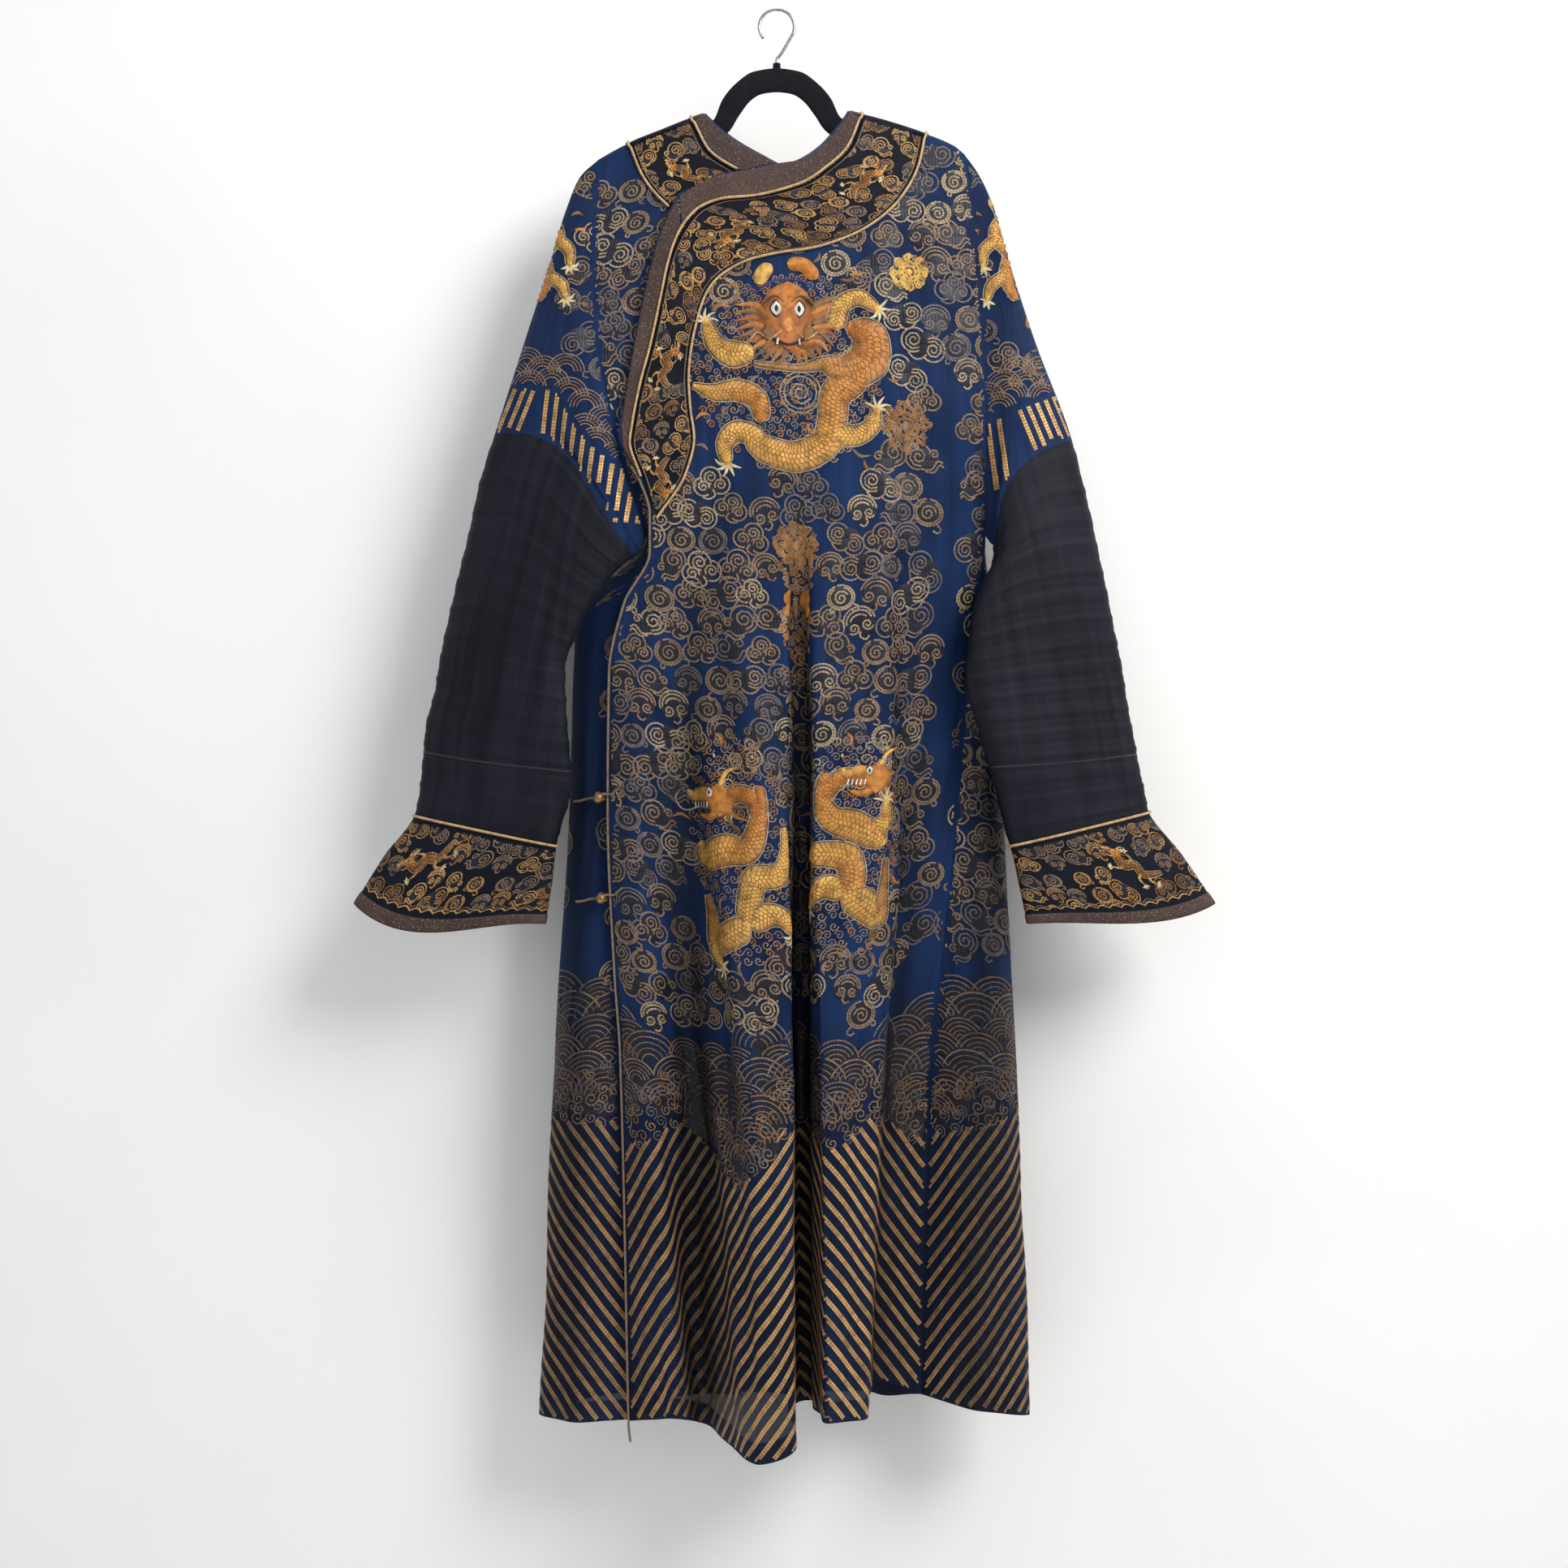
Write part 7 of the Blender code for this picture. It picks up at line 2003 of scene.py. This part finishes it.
def new_material(name, **fixed):
    """A material whose Principled sockets hold the given values, its nodes ready to join."""
    material = finishes[name] = bpy.data.materials.new(name + "_finish")
    material.use_nodes = True
    nodes = Nodes(material.node_tree)
    shader = material.node_tree.nodes["Principled BSDF"]
    for key, value in fixed.items():
        shader.inputs[key.replace("_", " ")].default_value = value
    coordinates = nodes.add("ShaderNodeTexCoord").outputs
    return nodes, shader, coordinates["UV"], coordinates["Object"]


def use(nodes, name, **values):
    node = nodes.add("ShaderNodeGroup", node_tree=bpy.data.node_groups[name])
    for key, value in values.items():
        nodes.give(node.inputs[key], value)
    return node.outputs


def join(nodes, shader, **sockets):
    for key, value in sockets.items():
        nodes.tree.links.new(value, shader.inputs[key.replace("_", " ")])


def bumped(nodes, shader, height, distance, strength=1.0):
    join(nodes, shader, Normal=nodes.add("ShaderNodeBump", {
        "Height": height, "Distance": distance, "Strength": strength}).outputs[0])


def silk_material(name, dark, light, threads, sheer, rough, slub=0.3, streak=0.35, level=0.12, foot=1.0):
    """Gauze or plain silk: uneven dye, a weave that shades it, and gaps that let light by.

    foot is the share of its colour that is left below FOOT_BAND.
    """
    nodes, shader, flat, place = new_material(
        name, Sheen_Weight=0.02, Sheen_Roughness=0.4, Specular_IOR_Level=level)
    colour = use(nodes, "uneven_dye", Flat=flat, Dark=(*dark, 1), Light=(*light, 1), Streak=streak)[0]
    weave = use(nodes, "fine_weave", Flat=flat, Threads=threads, Slub=slub)
    shade = nodes.ramp(weave["Height"], 0.0, 1.0, 0.72, 1.1)
    if foot < 1.0:
        shade = nodes.math("MULTIPLY", shade, nodes.ramp(nodes.split(place)[2], *FOOT_BAND, foot, 1.0))
    # The colour attribute brings in the painted shade of the cloth's hollows.
    shaded = nodes.times(nodes.times(colour, shade), nodes.thread())
    join(nodes, shader, Base_Color=shaded, Roughness=nodes.ramp(weave["Height"], 0.0, 1.0, rough + 0.12, rough))
    if sheer:
        join(nodes, shader, Alpha=nodes.ramp(weave["Gap"], 0.0, 1.0, 1.0 - sheer * 0.5, 1.0 - sheer * 1.8))
    bumped(nodes, shader, weave["Height"], 0.12 * MM)


def build_materials():
    build_weave()
    build_dye()
    build_laid_thread()
    look = bpy.context.scene.robe_cloth
    deep = tuple(DEEP_SHARE * c for c in look.blue)
    silk_material("silk_blue", deep, tuple(look.blue), 150.0, look.sheer, 0.55, foot=FOOT_SHARE)
    silk_material("silk_dark", silk(9, 11, 20), silk(27, 28, 40), 120.0, 0.0, 0.5, slub=1.4, streak=0.6, level=0.16)
    silk_material("band_black", silk(10, 14, 24), silk(20, 26, 40), 130.0, 0.0, 0.55)
    # Brocade: small scattered pale figures over a fine diagonal ground.
    nodes, shader, flat, _ = new_material("brocade_brown", Specular_IOR_Level=0.3, Roughness=0.6)
    cells = nodes.add("ShaderNodeTexVoronoi", {"Vector": flat, "Scale": 34.0, "Randomness": 0.55})
    figure = nodes.ramp(cells.outputs["Distance"], 0.18, 0.42, 1.0, 0.0)
    fine = nodes.noise(flat, 75.0, 3.0)
    speck = nodes.math("MULTIPLY", figure, nodes.ramp(fine, 0.42, 0.6))
    ground = use(nodes, "uneven_dye", Flat=flat, Dark=(*silk(58, 42, 38), 1), Light=(*silk(96, 74, 66), 1),
                 Streak=0.2)[0]
    colour = nodes.mix(nodes.math("MULTIPLY", speck, 0.8), ground, silk(158, 134, 116))
    colour = nodes.mix(nodes.ramp(fine, 0.55, 0.35, 0.0, 0.75), colour, silk(38, 29, 30))
    weave = use(nodes, "fine_weave", Flat=flat, Threads=110.0)
    join(nodes, shader, Base_Color=colour)
    bumped(nodes, shader, nodes.math("ADD", weave["Height"], nodes.math("MULTIPLY", speck, 2.0)), 0.16 * MM)
    # Embroidery thread: its colour is the piece's own, with the painted shade of the cloth's hollows, over rows of laid
    # thread.
    for name, metal, rough, threads, couching in (
        ("gold_thread", 0.25, 0.45, 2.0, 28.0), ("satin_thread", 0.1, 0.42, 110.0, 0.0)):
        nodes, shader, flat, _ = new_material(name, Metallic=metal, Roughness=rough, Specular_IOR_Level=0.45)
        if not couching:
            turned = nodes.split(flat)
            flat = nodes.add("ShaderNodeCombineXYZ", {0: turned[1], 1: turned[0]}).outputs[0]
        laid = use(nodes, "laid_thread", Flat=flat, Threads=threads, Couching=couching)
        join(nodes, shader, Base_Color=nodes.times(nodes.thread(), laid["Shade"]))
        bumped(nodes, shader, laid["Height"], 0.25 * MM)
    # Twisted cords: slanting strands round and along the cord.
    for name, low, high, metal in (
        ("gold_cord", (120, 84, 52), (226, 190, 138), 0.3), ("tan_cord", (70, 52, 40), (150, 122, 92), 0.0)):
        nodes, shader, flat, place = new_material(name, Metallic=metal, Roughness=0.5, Sheen_Weight=0.1)
        split = nodes.split(flat)
        turn = nodes.math("ADD", nodes.math("MULTIPLY", split[0], 36.0), nodes.math("MULTIPLY", split[1], 2.0))
        strand = nodes.math("ABSOLUTE", nodes.math("SINE", nodes.math("MULTIPLY", turn, math.pi)))
        spots = nodes.noise(place, 160.0, 2.0)
        shade = nodes.math("MULTIPLY", nodes.ramp(strand, 0.0, 0.8), nodes.ramp(spots, 0.3, 0.6, 0.55, 1.0))
        join(nodes, shader, Base_Color=nodes.mix(shade, silk(*low), silk(*high)))
        bumped(nodes, shader, strand, 0.5 * MM)
    # Velvet: short flock, dark, pale at a glance along it.
    nodes, shader, _, place = new_material(
        "velvet_black", Roughness=0.9, Sheen_Weight=0.5, Sheen_Roughness=0.35, Specular_IOR_Level=0.2)
    flock = nodes.noise(place, 1600.0, 3.0)
    rub = nodes.noise(place, 45.0, 2.0)
    join(nodes, shader, Base_Color=nodes.mix(nodes.math("MULTIPLY", flock, rub), silk(4, 5, 9), silk(34, 36, 44)))
    bumped(nodes, shader, flock, 0.3 * MM)
    for name, colour, rough in (("chrome", (190, 192, 196), 0.16), ("brass", (172, 140, 84), 0.34)):
        nodes, shader, _, place = new_material(name, Metallic=1.0)
        scuff = nodes.noise(place, 420.0, 4.0)
        dull = tuple(0.55 * c for c in silk(*colour))
        join(nodes, shader, Base_Color=nodes.mix(nodes.ramp(scuff, 0.45, 0.7), silk(*colour), dull),
             Roughness=nodes.ramp(scuff, 0.3, 0.75, rough, rough + 0.25))
        bumped(nodes, shader, scuff, 0.05 * MM)


# ---- Stage ----------------------------------------------------------------------------------
STAGE_HALF, STAGE_FRONT, STAGE_TOP = 7, -6.0, 5.0    # the sweep's reach across, forward and up


def put(name, data):
    """A new object in the scene."""
    obj = bpy.data.objects.new(name, data)
    bpy.context.scene.collection.objects.link(obj)
    return obj


def build_stage():
    """A pale floor that runs up into a wall in one sweep, soft lights and the camera."""
    look = bpy.context.scene.robe_stage
    nodes, shader, _, place = new_material("stage_paper", Roughness=0.95, Specular_IOR_Level=0.1)
    tone = nodes.noise(place, 2.5, 2.0)
    white = nodes.mix(nodes.ramp(tone, 0.3, 0.7), silk(246, 246, 246), silk(250, 250, 249))
    join(nodes, shader, Base_Color=white)
    away = nodes.add("ShaderNodeBsdfTransparent").outputs[0]
    back = nodes.add("ShaderNodeNewGeometry").outputs["Backfacing"]
    both = nodes.add("ShaderNodeMixShader", {0: back, 1: shader.outputs[0], 2: away}).outputs[0]
    end = next(node for node in nodes.tree.nodes if node.type == "OUTPUT_MATERIAL")
    nodes.tree.links.new(both, end.inputs[0])
    turn = np.radians(np.linspace(0, 90, 24))
    bend = look.sweep
    wall, floor = look.wall, look.floor
    curved = np.stack([wall - bend + bend * np.sin(turn), floor + bend * (1 - np.cos(turn))], axis=-1)
    profile = np.concatenate([[[STAGE_FRONT, floor]], curved, [[wall, STAGE_TOP]]])
    x = np.linspace(-STAGE_HALF, STAGE_HALF, 15)
    grid = np.stack(np.broadcast_arrays(x[None, :], profile[:, None, 0], profile[:, None, 1]), axis=-1)
    mesh = bpy.data.meshes.new("studio_sweep")
    faces = grid_faces(*grid.shape[:2])[:, ::-1]
    mesh.from_pydata(grid.reshape(-1, 3).tolist(), [], faces.tolist())
    mesh.shade_smooth()
    mesh.materials.append(finishes["stage_paper"])
    put("studio_sweep", mesh)

    for name, place, aim, size, power, colour in (
        ("key", (1.7, -1.9, 1.0), (0, 0, -0.75), 1.5, look.key, (1.0, 0.98, 0.95)),
        ("fill", (-2.2, -2.2, -0.4), (0, 0, -0.9), 1.9, look.fill, (0.93, 0.96, 1.0)),
        ("top", (0.0, -0.9, 1.9), (0, 0.0, -0.8), 1.6, look.top, (1.0, 1.0, 1.0)),
    ):
        light = bpy.data.lights.new(name, "AREA")
        light.shape, light.size, light.energy, light.color = "DISK", size, power, colour
        lamp = put(name, light)
        lamp.location = place
        lamp.rotation_euler = (Vector(aim) - Vector(place)).to_track_quat("-Z", "Y").to_euler()
    world = bpy.data.worlds.new("studio")
    world.use_nodes = True
    ground = world.node_tree.nodes["Background"]
    ground.inputs[0].default_value = (0.96, 0.98, 1.0, 1)
    ground.inputs[1].default_value = look.world
    bpy.context.scene.world = world
    bpy.context.scene.view_settings.view_transform = "Standard"

    camera = bpy.data.cameras.new("camera")
    camera.sensor_width, camera.lens = 36, look.lens
    eye = put("camera", camera)
    eye.location = (look.eye_x, -look.distance, look.eye_z)
    eye.rotation_euler = (math.pi / 2, 0, 0)
    bpy.context.scene.camera = eye


# ---- Settings, operators and panel ---------------------------------------------------------
def amount(name, description, default, low, high, **more):
    return FloatProperty(name=name, description=description, default=default, min=low, max=high, **more)


def tint(name, description, screen):
    return FloatVectorProperty(name=name, description=description, default=silk(*screen),
                               subtype="COLOR", size=3, min=0, max=1)


class RobeCloth(PropertyGroup):
    sheer: amount("Sheer", "Share of the light that passes one layer of the gauze", 0.085, 0, 0.6, subtype="FACTOR")
    blue: tint("Blue", "The gauze's lighter blue", (22, 50, 96))


class RobeThread(PropertyGroup):
    cloud_size: amount("Cloud size", "Size of the ground's clouds, 1 for 40 mm", 0.86, 0.5, 1.6)
    cloud_step: amount("Cloud step", "From one cloud of the ground to the next", 0.0355, 0.02, 0.1, unit="LENGTH")
    cloud_line: amount("Cloud line", "Width of the clouds' couched lines", 0.002, 0.0008, 0.004, unit="LENGTH")
    stripe_width: amount("Stripe width", "Width of a slanting stripe", 0.0049, 0.002, 0.02, unit="LENGTH")
    stripe_pitch: amount("Stripe pitch", "From one slanting stripe to the next, square to them", 0.0124, 0.005, 0.05,
                         unit="LENGTH")
    stripe_angle: amount("Stripe angle", "Slant of the stripes", 0.855, 0.2, 1.3, unit="ROTATION")


class RobeStage(PropertyGroup):
    distance: amount("Camera distance", "From the hanger's plane to the camera", 2.3, 0.5, 9, unit="LENGTH")
    eye_x: amount("Camera across", "The camera's place across", 0.0079, -1, 1, unit="LENGTH")
    eye_z: amount("Camera height", "The camera's height from the hook", -0.838, -3, 1, unit="LENGTH")
    lens: amount("Lens", "Focal length in millimetres", 48.7, 10, 200)
    wall: amount("Wall", "The wall's distance behind the hanger", 0.11, 0.09, 5, unit="LENGTH")
    floor: amount("Floor", "The floor's height from the hook", -2.6, -5, -1.6, unit="LENGTH")
    sweep: amount("Sweep", "Radius of the bend between floor and wall", 0.5, 0.1, 3, unit="LENGTH")
    key: amount("Key light", "Power of the key light", 76, 0, 500, unit="POWER")
    fill: amount("Fill light", "Power of the fill light", 6, 0, 500, unit="POWER")
    top: amount("Top light", "Power of the light above", 16, 0, 500, unit="POWER")
    world: amount("Surround", "Brightness of the light from all round", 0.45, 0, 5)


class Step(Operator):
    """One step of the build."""

    bl_options = {"REGISTER", "UNDO"}


class ROBE_OT_materials(Step):
    """Makes the silks, threads, cords, velvet and metals, and works out the cloths."""

    bl_idname = "robe.materials"
    bl_label = "Materials and cloths"

    def execute(self, context):
        build_materials()
        cut_cloths()
        cut_faces()
        return {"FINISHED"}


class ROBE_OT_panels(Step):
    """Builds the five body panels."""

    bl_idname = "robe.panels"
    bl_label = "Body panels"

    def execute(self, context):
        make_panels()
        return {"FINISHED"}


class ROBE_OT_sleeves(Step):
    """Builds both sleeves with their ribbed lower parts and flared cuffs."""

    bl_idname = "robe.sleeves"
    bl_label = "Sleeves"

    def execute(self, context):
        make_sleeve_cloths()
        return {"FINISHED"}


class ROBE_OT_bands(Step):
    """Builds the collar, yoke and edge strips with their gold cords."""

    bl_idname = "robe.bands"
    bl_label = "Bands"

    def execute(self, context):
        make_bands()
        return {"FINISHED"}


class ROBE_OT_clouds(Step):
    """Couches the ground's clouds on every panel and upper sleeve."""

    bl_idname = "robe.clouds"
    bl_label = "Clouds"

    def execute(self, context):
        make_clouds()
        return {"FINISHED"}


class ROBE_OT_waves(Step):
    """Couches the waves and foam and the slanting stripes below them."""

    bl_idname = "robe.waves"
    bl_label = "Waves and stripes"

    def execute(self, context):
        make_waves()
        make_stripes()
        return {"FINISHED"}


class ROBE_OT_sleeve_work(Step):
    """Embroiders the upper sleeves and marks the lower sleeves' piecing seams."""

    bl_idname = "robe.sleeve_work"
    bl_label = "Sleeve embroidery"

    def execute(self, context):
        make_sleeve_work()
        return {"FINISHED"}


class ROBE_OT_dragons(Step):
    """Embroiders the dragons, the round flowers and the bats."""

    bl_idname = "robe.dragons"
    bl_label = "Dragons and flowers"

    def execute(self, context):
        make_dragons()
        return {"FINISHED"}


class ROBE_OT_trim_work(Step):
    """Embroiders the yoke's bands and the cuffs."""

    bl_idname = "robe.trim_work"
    bl_label = "Yoke and cuff embroidery"

    def execute(self, context):
        make_trim_work()
        return {"FINISHED"}


class ROBE_OT_closure(Step):
    """Builds the cord down the overlap's edge and the ball buttons with their loops."""

    bl_idname = "robe.closure"
    bl_label = "Buttons and cords"

    def execute(self, context):
        make_closure()
        return {"FINISHED"}


class ROBE_OT_hanger(Step):
    """Builds the velvet hanger with its collar and hook."""

    bl_idname = "robe.hanger"
    bl_label = "Hanger"

    def execute(self, context):
        make_hanger()
        return {"FINISHED"}


class ROBE_OT_stage(Step):
    """Builds the floor and wall, the lights and the camera."""

    bl_idname = "robe.stage"
    bl_label = "Stage"

    def execute(self, context):
        build_stage()
        return {"FINISHED"}


STEPS = (ROBE_OT_stage, ROBE_OT_materials, ROBE_OT_panels, ROBE_OT_sleeves, ROBE_OT_bands,
         ROBE_OT_clouds, ROBE_OT_waves, ROBE_OT_sleeve_work, ROBE_OT_dragons, ROBE_OT_trim_work,
         ROBE_OT_closure, ROBE_OT_hanger)


class ROBE_PT_panel(Panel):
    """Lists the robe's settings and the steps that build it."""

    bl_idname = "ROBE_PT_panel"
    bl_label = "Dragon Robe"
    bl_space_type = "VIEW_3D"
    bl_region_type = "UI"
    bl_category = "Robe"

    def draw(self, context):
        for group in (context.scene.robe_cloth, context.scene.robe_thread, context.scene.robe_stage):
            for key in group.__annotations__:
                self.layout.prop(group, key)
        for step in STEPS:
            self.layout.operator(step.bl_idname)


CLASSES = (RobeCloth, RobeThread, RobeStage, *STEPS, ROBE_PT_panel)


def register():
    for kind in CLASSES:
        bpy.utils.register_class(kind)
    bpy.types.Scene.robe_cloth = PointerProperty(type=RobeCloth)
    bpy.types.Scene.robe_thread = PointerProperty(type=RobeThread)
    bpy.types.Scene.robe_stage = PointerProperty(type=RobeStage)


def unregister():
    del bpy.types.Scene.robe_cloth, bpy.types.Scene.robe_thread, bpy.types.Scene.robe_stage
    for kind in reversed(CLASSES):
        bpy.utils.unregister_class(kind)


def main():
    register()
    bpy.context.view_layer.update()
    for step in STEPS:
        getattr(bpy.ops.robe, step.bl_idname.split(".")[1])()


if __name__ == "__main__":
    main()
